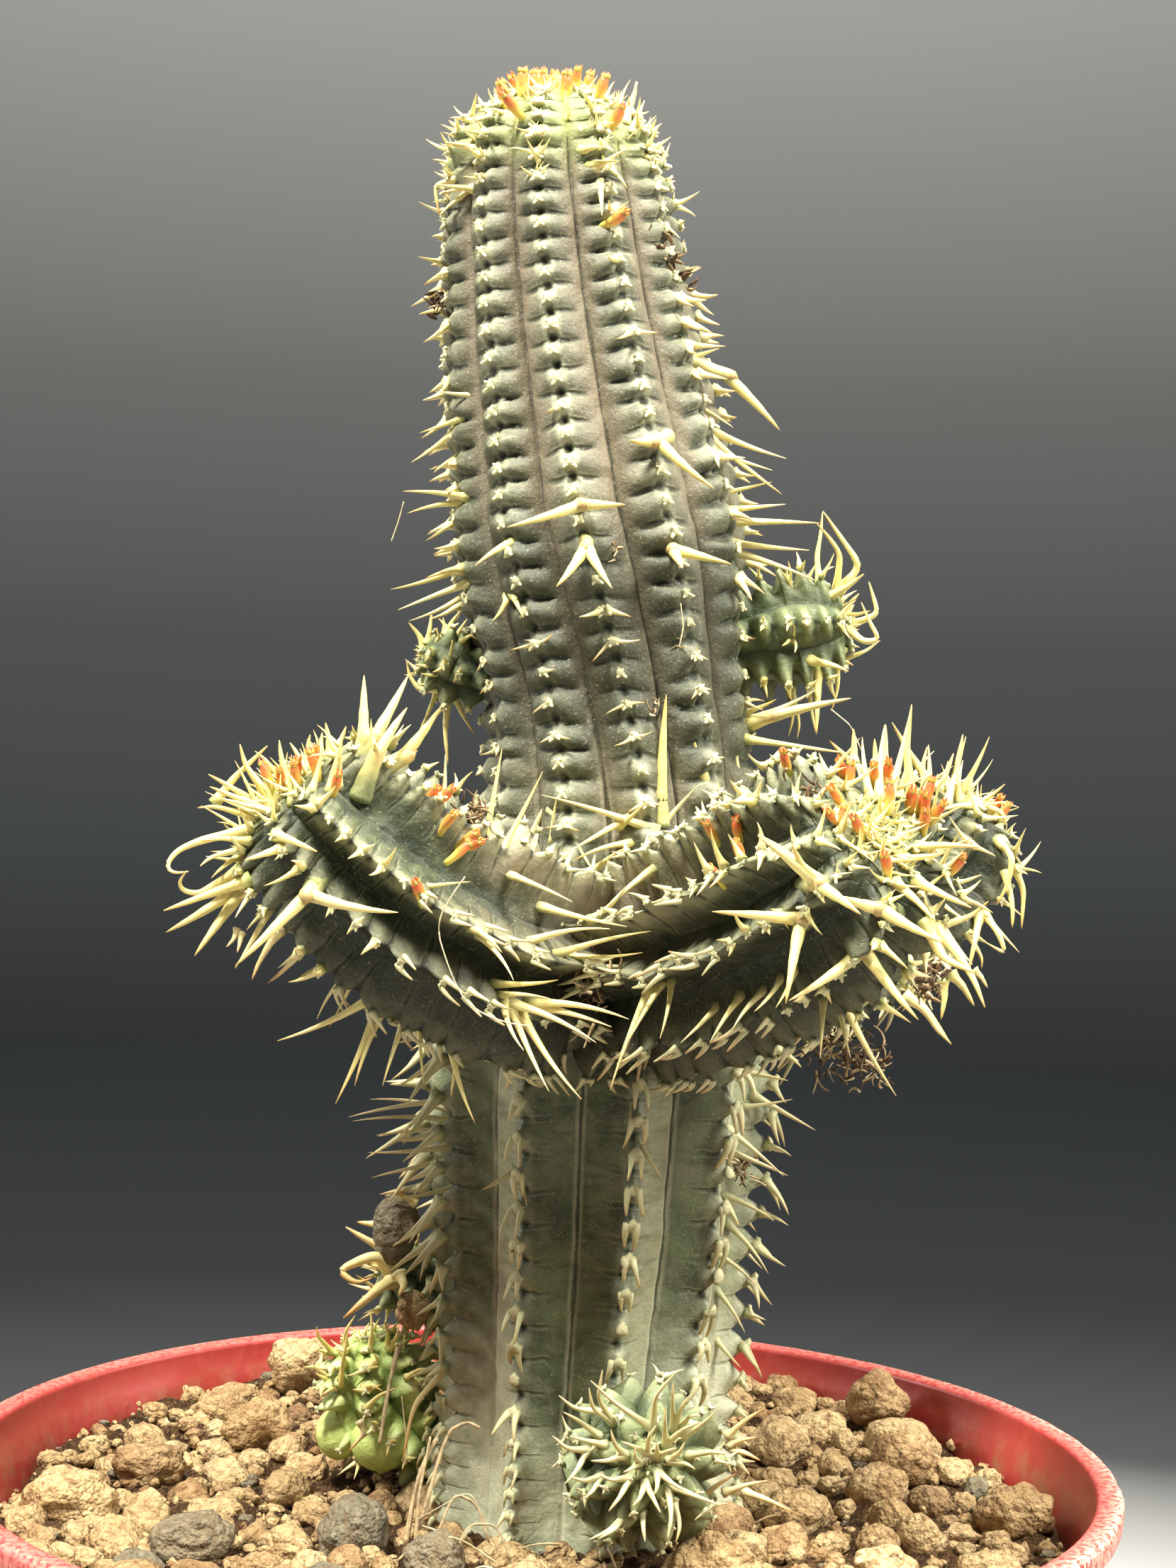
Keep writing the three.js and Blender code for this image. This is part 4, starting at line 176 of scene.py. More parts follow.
class Buf:
    """Collects closed little shapes into one mesh."""
    def __init__(self):
        self.V, self.Q, self.T, self.A, self.n = [], [], [], {}, 0
    def add(self, V, Q=None, T=None, **attrs):
        V = np.asarray(V, float)
        self.V.append(V)
        if Q is not None and len(Q):
            self.Q.append(np.asarray(Q) + self.n)
        if T is not None and len(T):
            self.T.append(np.asarray(T) + self.n)
        for k, a in attrs.items():
            self.A.setdefault(k, []).append(np.broadcast_to(np.asarray(a, float), (len(V),)))
        self.n += len(V)
    def make(self, name, mat, slot, replaces=(), smooth=True):
        if not self.V:
            return None
        return build(name, np.vstack(self.V), np.vstack(self.Q) if self.Q else None,
                     np.vstack(self.T) if self.T else None, {k: np.concatenate(v) for k, v in self.A.items()},
                     mat, smooth, replaces)

def frame_of(t, ref=None):
    t = unit(t)
    r = np.array([0, 0, 1.0]) if ref is None else np.asarray(ref, float)
    if abs(np.dot(t, r)) > 0.95:
        r = np.array([1.0, 0, 0])
    a = unit(np.cross(t, r))
    return a, np.cross(t, a), t

_tubes = {}
def tube_faces(n, sides):
    key = (n, sides)
    if key not in _tubes:
        q = []
        for i in range(n - 1):
            for k in range(sides):
                k2 = (k + 1) % sides
                q.append([i * sides + k, i * sides + k2, (i + 1) * sides + k2, (i + 1) * sides + k])
        t = []
        base, tip = n * sides, n * sides + 1
        for k in range(sides):
            k2 = (k + 1) % sides
            t.append([base, k2, k])
            t.append([tip, (n - 1) * sides + k, (n - 1) * sides + k2])
        _tubes[key] = (np.array(q), np.array(t))
    return _tubes[key]

def sweep(buf, pts, radii, sides=6, flat=1.0, **attrs):
    """Closed tube along pts. Attribute h runs 0 to 1 along it."""
    pts = np.asarray(pts, float)
    n = len(pts)
    tan = unit(np.gradient(pts, axis=0))
    a = np.array([0, 0, 1.0]) if abs(tan[0][2]) < 0.9 else np.array([1.0, 0, 0])
    A = unit(np.cross(tan, a))
    B = np.cross(tan, A)
    th = np.arange(sides) / sides * 2 * np.pi
    R = np.asarray(radii, float)[:, None, None]
    ring = pts[:, None, :] + R * (np.cos(th)[None, :, None] * A[:, None, :] + flat * np.sin(th)[None, :, None] * B[:, None, :])
    V = np.vstack([ring.reshape(-1, 3), pts[:1] - tan[:1] * radii[0] * 0.2, pts[-1:] + tan[-1:] * radii[-1]])
    h = np.concatenate([np.repeat(np.linspace(0, 1, n), sides), [0, 1]])
    q, t = tube_faces(n, sides)
    buf.add(V, q[:, ::-1], t[:, ::-1], h=h, **attrs)

def bezier(p0, p1, p2, n):
    t = np.linspace(0, 1, n)[:, None]
    return (1 - t) ** 2 * np.asarray(p0) + 2 * t * (1 - t) * np.asarray(p1) + t ** 2 * np.asarray(p2)

def spine(buf, foot, tip, r0=0.7, bend=0.1, rnd=None, seg=7, sides=6, hook=0.0, age=0.5, fl=1.5):
    foot, tip = np.asarray(foot, float), np.asarray(tip, float)
    d = tip - foot
    L = np.linalg.norm(d)
    a, b, t = frame_of(d)
    rnd = rng.random() if rnd is None else rnd
    ang = rng.random() * 2 * np.pi
    side = a * np.cos(ang) + b * np.sin(ang)
    mid = foot + d * 0.5 + side * L * bend
    pts = bezier(foot, mid, tip, seg)
    if hook:
        e = pts[-1] + side * hook * 0.9 + t * hook * 0.2
        e2 = e + side * hook * 0.5 - t * hook * 0.5
        pts = np.vstack([pts, e, e2])
    u = np.linspace(0, 1, len(pts))
    rad = r0 * ((1 - u) ** 0.85 * 0.93 + 0.07) * (1 + (fl - 1) * np.exp(-u * 9))
    sweep(buf, pts, rad, sides, rnd=rnd, age=age)

# A ribbed skin swept along an axis, with an areole row on every crest.
class Ribbed:
    def __init__(self, axis, tip, crests, rows, cap_rows, fdiv, spacing, relief, cap_pow=2.2, rad_pow=2.4, seed=0, srows=None):
        """axis: n x 4. crests(z, L) -> rib directions in degrees. spacing(L, total) -> mm between areoles."""
        P, Rr = axis[:, :3], axis[:, 3]
        cum = np.concatenate([[0], np.cumsum(np.linalg.norm(np.diff(P, axis=0), axis=1))])
        s = np.linspace(0, cum[-1], rows) if srows is None else srows * cum[-1]
        rows = len(s)
        fine = np.linspace(0, cum[-1], 600)
        dense = np.stack([np.interp(fine, cum, axis[:, k]) for k in range(4)], 1)
        step = fine[1]
        width = max(3, int((cum[-1] / (len(axis) - 1)) * 0.55 / step)) | 1
        ker = np.hanning(width + 2)[1:-1]
        ker /= ker.sum()
        pad = width // 2
        ext = np.vstack([dense[0] - (dense[1] - dense[0]) * np.arange(pad, 0, -1)[:, None], dense,
                         dense[-1] + (dense[-1] - dense[-2]) * np.arange(1, pad + 1)[:, None]])
        dense = np.stack([np.convolve(ext[:, k], ker, "valid") for k in range(4)], 1)
        C = np.stack([np.interp(s, fine, dense[:, k]) for k in range(3)], 1)
        R = np.interp(s, fine, dense[:, 3])
        T = unit(np.gradient(C, s, axis=0))
        end, dirn = C[-1], unit(np.asarray(tip) - C[-1])
        capH = np.linalg.norm(np.asarray(tip) - C[-1])
        a = np.linspace(0, 1, cap_rows + 1)[1:] * (np.pi / 2) * 0.985
        capC = end + dirn * (capH * np.sin(a) ** (2 / cap_pow))[:, None]
        capR = R[-1] * np.cos(a) ** (2 / rad_pow)
        C = np.vstack([C, capC])
        R = np.concatenate([R, capR])
        T = np.vstack([T, np.repeat(dirn[None], cap_rows, 0)])
        n = len(R)
        dL = np.sqrt(np.sum(np.diff(C, axis=0) ** 2, 1) + np.diff(R) ** 2)
        L = np.concatenate([[0], np.cumsum(dL)])
        self.C, self.R, self.T, self.L, self.n = C, R, T, L, n
        self.body = rows
        ph = np.concatenate([[0], np.cumsum(np.diff(L) / spacing((L[1:] + L[:-1]) / 2, L[-1]))])
        self.ph = ph
        A = np.array([crests(C[j][2], L[j] / L[-1]) for j in range(n)])
        nr = A.shape[1]
        self.nr, self.f = nr, np.asarray(fdiv)
        A2 = np.concatenate([A, A[:, :1] + 360], 1)
        f = np.asarray(fdiv)
        m_ = len(f)
        ang = np.radians(A2[:, :-1, None] + (A2[:, 1:] - A2[:, :-1])[:, :, None] * f[None, None, :])
        front = np.array([0, -1.0, 0])
        e1 = unit(front - (T @ front)[:, None] * T)
        e2 = np.cross(T, e1)
        self.e1, self.e2, self.A = e1, e2, A
        g_rng = np.random.default_rng(seed + 7)
        self.off = (np.arange(nr) % 2) * 0.5 + g_rng.uniform(-0.18, 0.18, nr)
        near = np.where(f < 0.5, 0, 1)
        ribi = (np.arange(nr)[:, None] + near[None, :]) % nr
        width = R[:, None, None] * np.radians(A2[:, 1:] - A2[:, :-1])[:, :, None]
        d = np.abs(np.where(f < 0.5, f, 1 - f))[None, None, :] * width
        aa = 1 - np.abs(2 * f - 1)
        phi = ph[:, None, None] + self.off[ribi][None, :, :]
        u = (L / L[-1])[:, None, None] * np.ones_like(ang)
        cs, sn = np.cos(ang)[..., None], np.sin(ang)[..., None]
        radial = cs * e1[:, None, None, :] + sn * e2[:, None, None, :]
        base = C[:, None, None, :] + R[:, None, None, None] * radial
        aB = np.broadcast_to(aa[None, None, :], ang.shape)
        rr, attrs = relief(self, R[:, None, None] * np.ones_like(ang), aB, d, phi, u, base, radial, width * 0.5 * np.ones_like(ang))
        X = C[:, None, None, :] + rr[..., None] * radial
        self.grid = X
        around = nr * m_
        V = X.reshape(-1, 3)
        idx = np.arange(n * around).reshape(n, around)
        nx = np.roll(idx, -1, axis=1)
        q = np.stack([idx[:-1], nx[:-1], nx[1:], idx[1:]], -1).reshape(-1, 4)
        bot, top = len(V), len(V) + 1
        V = np.vstack([V, C[:1], C[-1:] + T[-1:] * 0.05])
        t = np.concatenate([np.stack([np.full(around, bot), nx[0], idx[0]], -1), np.stack([np.full(around, top), idx[-1], nx[-1]], -1)])
        self.V, self.Q, self.Tr = V, q, t
        self.attrs = {k: np.concatenate([np.broadcast_to(v, ang.shape).reshape(-1), [0, 0]]) for k, v in attrs.items()}
    def make(self, name, mat, slot, replaces=()):
        return build(name, self.V, self.Q, self.Tr, self.attrs, mat, True, replaces)
    def snap(self, p, reach=6.0, sink=0.4):
        """the nearest point of the skin, a little below it"""
        p = np.asarray(p, float)
        dd = np.linalg.norm(self.V - p, axis=1)
        i = int(np.argmin(dd))
        if dd[i] > reach:
            return p
        j = min(i // (self.V.shape[0] // self.n), self.n - 1)
        q = self.V[i]
        return q - unit(q - self.C[min(j, self.n - 1)]) * sink
    def sites(self, lift=0.0):
        out = []
        jj = np.arange(self.n)
        for i in range(self.nr):
            ph = self.ph + self.off[i]
            k0, k1 = math.ceil(ph[0] + 0.2), math.floor(ph[-1] - 0.15)
            for k in range(k0, k1 + 1):
                jf = float(np.interp(k, ph, jj))
                j = min(int(jf), self.n - 2)
                w = jf - j
                p = self.grid[j, i, 0] * (1 - w) + self.grid[j + 1, i, 0] * w
                ja = max(0, int(np.searchsorted(self.L, self.L[j] - 2.2)))
                jb = min(self.n - 1, int(np.searchsorted(self.L, self.L[j] + 2.2)))
                up = unit(self.grid[jb, i, 0] - self.grid[ja, i, 0])
                ar = np.radians(self.A[j, i])
                radial = unit(np.cos(ar) * self.e1[j] + np.sin(ar) * self.e2[j])
                s_ = unit(np.cross(up, radial))
                nrm = unit(np.cross(s_, up))
                out.append(dict(p=p + nrm * lift, n=nrm, up=up, s=s_, rib=i, k=k, u=self.L[j] / self.L[-1], L=self.L[j], az=self.A[j, i], j=j, cap=j >= self.body))
        return out

def fdiv(n, crest=0.5):
    """n stations from one crest to the next, closer together at the crests and in the furrow"""
    t = np.arange(n) / n
    return t - crest * np.sin(4 * np.pi * t) / (4 * np.pi) * 1.15

# ------------------------------------------------------------------ materials
def N(nt, kind, loc=(0, 0), **kw):
    n = nt.nodes.new(kind)
    n.location = loc
    for k, v in kw.items():
        setattr(n, k, v)
    return n

class Mat:
    def __init__(self, name, rough=0.6, metal=0.0, spec=0.5, sub=0.0, subrad=(0.3, 0.2, 0.1)):
        self.m = bpy.data.materials.new(name)
        self.m.use_nodes = True
        self.nt = self.m.node_tree
        self.b = self.nt.nodes["Principled BSDF"]
        self.b.inputs["Roughness"].default_value = rough
        self.b.inputs["Metallic"].default_value = metal
        self.b.inputs["Specular IOR Level"].default_value = spec
        if sub:
            self.b.inputs["Subsurface Weight"].default_value = sub
            self.b.inputs["Subsurface Radius"].default_value = subrad
            self.b.inputs["Subsurface Scale"].default_value = 0.004
        self.tc = N(self.nt, "ShaderNodeTexCoord", (-1400, 0))
    def link(self, a, b):
        self.nt.links.new(a, b)
        return b
    def attr(self, name):
        n = N(self.nt, "ShaderNodeAttribute")
        n.attribute_name = name
        return n.outputs["Fac"]
    def noise(self, scale, detail=4, rough=0.55, dist=0.0, stretch=None, lac=2.0):
        n = N(self.nt, "ShaderNodeTexNoise")
        n.inputs["Scale"].default_value = scale
        n.inputs["Detail"].default_value = detail
        n.inputs["Roughness"].default_value = rough
        n.inputs["Lacunarity"].default_value = lac
        n.inputs["Distortion"].default_value = dist
        src = self.tc.outputs["Object"]
        if stretch:
            mp = N(self.nt, "ShaderNodeMapping")
            mp.inputs["Scale"].default_value = stretch
            self.link(src, mp.inputs["Vector"])
            src = mp.outputs["Vector"]
        self.link(src, n.inputs["Vector"])
        return n.outputs["Fac"]
    def voronoi(self, scale, feature="F1"):
        n = N(self.nt, "ShaderNodeTexVoronoi", feature=feature)
        n.inputs["Scale"].default_value = scale
        self.link(self.tc.outputs["Object"], n.inputs["Vector"])
        return n.outputs["Distance"]
    def ramp(self, fac, stops, interp="LINEAR"):
        n = N(self.nt, "ShaderNodeValToRGB")
        n.color_ramp.interpolation = interp
        el = n.color_ramp.elements
        while len(el) > 1:
            el.remove(el[-1])
        for i, (p, c) in enumerate(stops):
            e = el[0] if i == 0 else el.new(p)
            e.position = p
            c = c if isinstance(c, (tuple, list)) else (c, c, c)
            e.color = (*c[:3], 1)
        self.link(fac, n.inputs["Fac"])
        return n.outputs["Color"]
    def math(self, op, a, b=None, c=None, clamp=False):
        n = N(self.nt, "ShaderNodeMath", operation=op, use_clamp=clamp)
        for i, v in enumerate((a, b, c)):
            if v is None:
                continue
            if isinstance(v, (int, float)):
                n.inputs[i].default_value = v
            else:
                self.link(v, n.inputs[i])
        return n.outputs[0]
    def mul(self, *v):
        o = v[0]
        for x in v[1:]:
            o = self.math("MULTIPLY", o, x, clamp=True)
        return o
    def mix(self, fac, a, b, mode="MIX"):
        n = N(self.nt, "ShaderNodeMix", data_type="RGBA", blend_type=mode)
        # the RGBA sockets share their names with the float ones, so they are taken by place
        ins = list(n.inputs)
        for sock, v in ((ins[0], fac), (ins[6], a), (ins[7], b)):
            if isinstance(v, (int, float)):
                sock.default_value = v if sock is ins[0] else (v, v, v, 1)
            elif isinstance(v, (tuple, list)):
                sock.default_value = (*v[:3], 1)
            else:
                self.link(v, sock)
        return n.outputs[2]
    def color(self, c):
        self.link(c, self.b.inputs["Base Color"])
    def rough(self, r):
        self.link(r, self.b.inputs["Roughness"])
    def bump(self, height, strength=0.4, dist=0.0005, prev=None):
        n = N(self.nt, "ShaderNodeBump")
        n.inputs["Strength"].default_value = strength
        n.inputs["Distance"].default_value = dist
        self.link(height, n.inputs["Height"])
        if prev is not None:
            self.link(prev, n.inputs["Normal"])
        self.link(n.outputs["Normal"], self.b.inputs["Normal"])
        return n.outputs["Normal"]

def srgb(r, g, b):
    f = lambda v: (v / 255 / 12.92) if v / 255 <= 0.04045 else ((v / 255 + 0.055) / 1.055) ** 2.4
    return (f(r), f(g), f(b))

def skin_material(name, c, brown_amount=0.5, bloom_and_highlight_amount=0.5, rough=0.55):
    M = Mat(name, rough, spec=0.4, sub=0.05, subrad=(0.5, 0.6, 0.25))
    n1 = M.noise(70, 5, 0.62)
    n2 = M.noise(300, 5, 0.64)
    n3 = M.noise(1300, 4, 0.62)
    n4 = M.noise(38, 4, 0.6, 0.6)
    n5 = M.noise(210, 4, 0.6, 0.3, stretch=(1, 1, 3.2))
    at = {k: M.attr(k) for k in ("pil", "furrow", "flat", "notch", "edge", "old", "low", "up", "fresh", "bloom", "bare", "dk", "lite", "ph", "sl", "cd", "fd")}
    f1 = M.ramp(n1, [(0.32, 0), (0.68, 1)])
    base = M.mix(f1, c["deep"], c["mid"])
    lowc = M.mix(f1, c["low_deep"], c["low_mid"])
    base = M.mix(at["low"], base, lowc)
    base = M.mix(M.mul(M.ramp(n2, [(0.46, 0), (0.66, 1)]), 0.6), base, c["pale"])
    base = M.mix(M.mul(M.ramp(n5, [(0.5, 0), (0.68, 1)]), 0.55), base, c["deep"])
    base = M.mix(M.mul(M.ramp(n1, [(0.34, 1), (0.46, 0)]), 0.5), base, c["deep"])
    # raised cushions painted paler than the grooves between them: partly bloom, partly painted highlight on the cushion
    # tops
    base = M.mix(M.mul(at["pil"], M.ramp(n2, [(0.32, 0.35), (0.66, 1)]), bloom_and_highlight_amount), base, c["bloom"])
    # old corky and rosy patches
    base = M.mix(M.mul(M.ramp(n4, [(0.5, 0), (0.66, 1)]), brown_amount, M.math("SUBTRACT", 1.0, M.math("MULTIPLY", at["low"], 0.8))), base, c["brown"])
    # painted light: the lower-stem faces in RIGHT_LITE and LEFT_LITE made paler
    base = M.mix(M.mul(at["lite"], M.ramp(n5, [(0.3, 0.3), (0.65, 0.85)])), base, c["lite"])
    # faces without cushions are browner and plainer
    base = M.mix(M.mul(at["bare"], M.ramp(n5, [(0.3, 0.45), (0.65, 0.9)])), base, c["face"])
    base = M.mix(M.mul(at["old"], M.ramp(n2, [(0.25, 0.4), (0.66, 1)])), base, c["cork"])
    # the flat strip beside the furrow, with a pale hem, and the furrow's groove painted as a dark line of painted shade
    base = M.mix(M.mul(at["flat"], M.ramp(n5, [(0.3, 0.5), (0.65, 0.95)])), base, c["flat"])
    wob = M.math("MULTIPLY", M.math("SUBTRACT", M.noise(150, 3, 0.6), 0.5), 0.95)
    fdn = M.math("DIVIDE", M.math("ABSOLUTE", M.math("ADD", at["fd"], wob)), 4.0)
    base = M.mix(M.mul(M.ramp(fdn, [(0.05, 0), (0.13, 1), (0.2, 0.8), (0.3, 0)]), M.ramp(n2, [(0.3, 0.5), (0.6, 1)]), at["furrow"]), base, c["bloom"])
    # painted shade: the groove down the middle of the furrow painted dark
    base = M.mix(M.mul(M.ramp(fdn, [(0.0, 1), (0.04, 0.85), (0.085, 0)]), M.ramp(n2, [(0.32, 0.4), (0.55, 1)]), 0.8), base, tuple(v * 0.42 for v in c["deep"]))
    # painted shade: the pockets, gaps and crevices in the notch attribute painted nearly black
    base = M.mix(M.mul(at["notch"], 0.88), base, c["notch"])
    base = M.mix(M.mul(at["edge"], M.ramp(n2, [(0.3, 0.3), (0.6, 0.95)])), base, c["bloom"])
    base = M.mix(M.mul(at["bloom"], M.ramp(n2, [(0.3, 0.4), (0.62, 1)])), base, srgb(208, 210, 178))
    base = M.mix(M.mul(at["fresh"], M.ramp(n2, [(0.3, 0.5), (0.66, 1.0)])), base, c["fresh"])
    # thin creases that run from each notch across the smooth faces, painted dark as painted shade, with a pale hem
    jit = M.math("MULTIPLY", M.math("SUBTRACT", M.noise(190, 3, 0.6), 0.5), 0.4)
    w = M.math("ABSOLUTE", M.math("SUBTRACT", M.math("FRACT", M.math("ADD", at["ph"], jit)), 0.5))
    cdn = M.math("DIVIDE", at["cd"], 10.0)
    cr = M.mul(M.ramp(w, [(0.0, 1), (0.035, 0.8), (0.06, 0)]), M.ramp(cdn, [(0.0, 0.6), (0.2, 0.85), (0.5, 0)]), M.ramp(n4, [(0.4, 0.15), (0.6, 1)]), at["low"])
    hem = M.mul(M.ramp(w, [(0.05, 0), (0.085, 1), (0.14, 0)]), M.ramp(cdn, [(0.0, 0.6), (0.3, 0.7), (0.55, 0)]), at["low"])
    base = M.mix(M.mul(hem, 0.45), base, c["bloom"])
    base = M.mix(M.mul(cr, 0.8), base, tuple(v * 0.5 for v in c["low_deep"]))
    # curved crevices between the cushions of the upper ribs, painted dark as painted shade, with a pale lip
    wv = M.math("ABSOLUTE", M.math("SUBTRACT", M.math("FRACT", M.math("ADD", at["sl"], M.math("MULTIPLY", jit, 0.5))), 0.5))
    crev = M.mul(M.ramp(wv, [(0.0, 1), (0.035, 0.85), (0.11, 0)]), M.ramp(cdn, [(0.06, 0), (0.12, 1), (0.34, 0.6), (0.5, 0)]), M.ramp(n2, [(0.3, 0.45), (0.55, 1)]), at["up"])
    lip = M.mul(M.ramp(wv, [(0.08, 0), (0.14, 1), (0.22, 0)]), M.ramp(cdn, [(0.1, 0), (0.2, 1), (0.4, 0)]), M.ramp(n1, [(0.4, 0.1), (0.6, 1)]), at["up"])
    base = M.mix(M.mul(lip, 0.6), base, c["bloom"])
    base = M.mix(M.mul(crev, 0.88), base, c["notch"])
    # painted shade on the lower part of each cushion, next to the crevice
    under = M.mul(M.ramp(M.math("FRACT", M.math("ADD", at["sl"], M.math("MULTIPLY", jit, 0.5))), [(0.5, 0), (0.54, 1), (0.8, 0.25), (0.92, 0)]), M.ramp(cdn, [(0.08, 0), (0.16, 1), (0.36, 0.7), (0.55, 0)]), M.ramp(n1, [(0.3, 0.35), (0.6, 1)]), at["up"])
    base = M.mix(M.mul(under, 0.45), base, c["deep"])
    # a hole on the crest between two areoles, painted dark as painted shade, with a pale rim that joins them
    hx, hy = M.math("DIVIDE", at["cd"], 0.75), M.math("MULTIPLY", M.math("ABSOLUTE", M.math("SUBTRACT", M.math("FRACT", M.math("ADD", at["ph"], M.math("MULTIPLY", jit, 0.35))), 0.5)), 5.4)
    hq = M.math("DIVIDE", M.math("SQRT", M.math("ADD", M.math("MULTIPLY", hx, hx), M.math("MULTIPLY", hy, hy))), 4.0)
    hq = M.math("ADD", hq, M.math("MULTIPLY", M.math("SUBTRACT", M.noise(800, 2, 0.5), 0.5), 0.16))
    chain = M.mul(M.ramp(cdn, [(0.0, 1), (0.12, 1), (0.19, 0)]), M.ramp(hq, [(0.26, 0), (0.34, 1)]), M.ramp(n2, [(0.36, 0.1), (0.62, 1)]), M.ramp(n1, [(0.35, 0.4), (0.6, 1)]), c.get("chain", 0.7))
    base = M.mix(chain, base, c["bloom"])
    base = M.mix(M.mul(M.ramp(hq, [(0.1, 1), (0.24, 0)]), M.ramp(n2, [(0.34, 0.35), (0.52, 1)]), 0.9), base, c["notch"])
    # painted shade: dk darkens the arm undersides and the lower-stem faces with little painted light; on the stem it
    # also darkens a band from z 262 to 318 and the more cushioned upper faces
    base = M.mix(M.mul(at["dk"], 0.62), base, tuple(v * 0.6 for v in c["deep"]))
    # tiny pale specks
    sp = M.ramp(M.noise(2300, 2, 0.5), [(0.64, 0), (0.7, 1)])
    base = M.mix(M.mul(sp, 0.4), base, c["bloom"])
    M.color(base)
    M.rough(M.ramp(n2, [(0.3, rough - 0.08), (0.75, rough + 0.14)]))
    h = M.math("ADD", M.math("MULTIPLY", n2, 0.7), M.math("MULTIPLY", n3, 0.5))
    h = M.math("SUBTRACT", h, M.math("MULTIPLY", M.math("MAXIMUM", cr, crev), 0.7))
    M.bump(h, 0.6, 0.0007)
    return M.m

# lite is the paler colour of painted light on some lower-stem faces; notch the near-black colour of painted shade in
# pockets, crevices and holes
WARM = dict(deep=srgb(50, 58, 38), mid=srgb(92, 93, 68), pale=srgb(136, 133, 106), bloom=srgb(184, 182, 150), low_deep=srgb(64, 82, 52), low_mid=srgb(130, 142, 100),
            brown=srgb(120, 106, 84), cork=srgb(150, 134, 112), flat=srgb(122, 106, 84), notch=srgb(22, 34, 18), fresh=srgb(164, 178, 96), face=srgb(122, 113, 92), lite=srgb(186, 184, 150))
skin_stem = skin_material("skin_stem", WARM, 0.4, 0.4)
ARMC = dict(WARM, deep=srgb(30, 40, 22), mid=srgb(62, 70, 42), pale=srgb(92, 96, 66), bloom=srgb(164, 162, 124), brown=srgb(92, 82, 60), low_deep=srgb(30, 40, 22), low_mid=srgb(62, 70, 42), notch=srgb(18, 26, 12), chain=0.45)
skin_arm = skin_material("skin_arm", ARMC, 0.2, 0.5)
FRESHC = dict(WARM, chain=0.3, deep=srgb(134, 156, 72), mid=srgb(174, 192, 100), pale=srgb(204, 216, 132), bloom=srgb(224, 232, 168), low_deep=srgb(134, 156, 72), low_mid=srgb(174, 192, 100), notch=srgb(72, 92, 36), flat=srgb(170, 186, 100), brown=srgb(150, 150, 80), fresh=srgb(196, 216, 108))
skin_fresh = skin_material("skin_fresh", FRESHC, 0.12, 0.75)
PUPC = dict(WARM, chain=0.3, deep=srgb(58, 72, 42), mid=srgb(100, 110, 72), pale=srgb(140, 146, 104), bloom=srgb(154, 160, 116), low_deep=srgb(58, 72, 42), low_mid=srgb(100, 110, 72), notch=srgb(36, 50, 26), brown=srgb(130, 120, 84))
skin_pup = skin_material("skin_offset", PUPC, 0.2, 0.6)

def spine_material(name, low, body, tip, pale, aged):
    M = Mat(name, 0.5, spec=0.5, sub=0.1, subrad=(0.6, 0.45, 0.2))
    h, r, age, stk = M.attr("h"), M.attr("rnd"), M.attr("age"), M.attr("stk")
    col = M.ramp(h, [(0.0, low), (0.14, body), (0.66, body), (0.92, tip), (1.0, tuple(v * 0.6 for v in tip))])
    col = M.mix(M.mul(M.ramp(r, [(0.2, 0), (0.9, 1)]), 0.55), col, pale)
    n = M.noise(900, 4, 0.6)
    col = M.mix(M.mul(M.ramp(n, [(0.5, 0), (0.72, 1)]), 0.35), col, tip)
    old = M.ramp(h, [(0.0, aged[0]), (0.35, aged[1]), (0.8, aged[2]), (1.0, aged[3])])
    col = M.mix(age, col, old)
    col = M.mix(stk, col, M.mix(M.ramp(n, [(0.35, 0), (0.7, 1)]), srgb(96, 108, 66), srgb(146, 150, 104)))
    M.color(col)
    M.rough(M.ramp(n, [(0.3, 0.38), (0.75, 0.62)]))
    M.bump(n, 0.35, 0.0003)
    return M.m

spine_yellow = spine_material("spine_yellow", srgb(150, 160, 92), srgb(216, 202, 126), srgb(200, 164, 94), srgb(234, 223, 168), (srgb(186, 176, 130), srgb(226, 206, 148), srgb(204, 156, 100), srgb(140, 84, 50)))
spine_tan = spine_material("spine_tan", srgb(164, 162, 112), srgb(216, 200, 132), srgb(202, 152, 84), srgb(236, 224, 168), (srgb(176, 164, 130), srgb(208, 188, 144), srgb(190, 134, 86), srgb(120, 66, 40)))
spine_green = spine_material("spine_green", srgb(132, 140, 100), srgb(190, 188, 140), srgb(206, 188, 132), srgb(222, 214, 168), (srgb(150, 152, 112), srgb(186, 178, 136), srgb(184, 146, 100), srgb(130, 92, 60)))

def areole_material():
    M = Mat("areole", 0.7, spec=0.3, sub=0.06)
    h, r = M.attr("h"), M.attr("rnd")
    n = M.noise(1300, 4, 0.65)
    col = M.ramp(h, [(0.0, srgb(136, 136, 94)), (0.4, srgb(190, 186, 142)), (1.0, srgb(222, 216, 172))])
    col = M.mix(M.ramp(r, [(0.6, 0), (1.0, 0.6)]), col, srgb(176, 150, 104))
    col = M.mix(M.mul(M.ramp(n, [(0.48, 0), (0.7, 1)]), 0.4), col, srgb(128, 118, 76))
    M.color(col)
    M.bump(n, 0.6, 0.0005)
    return M.m
areole_mat = areole_material()

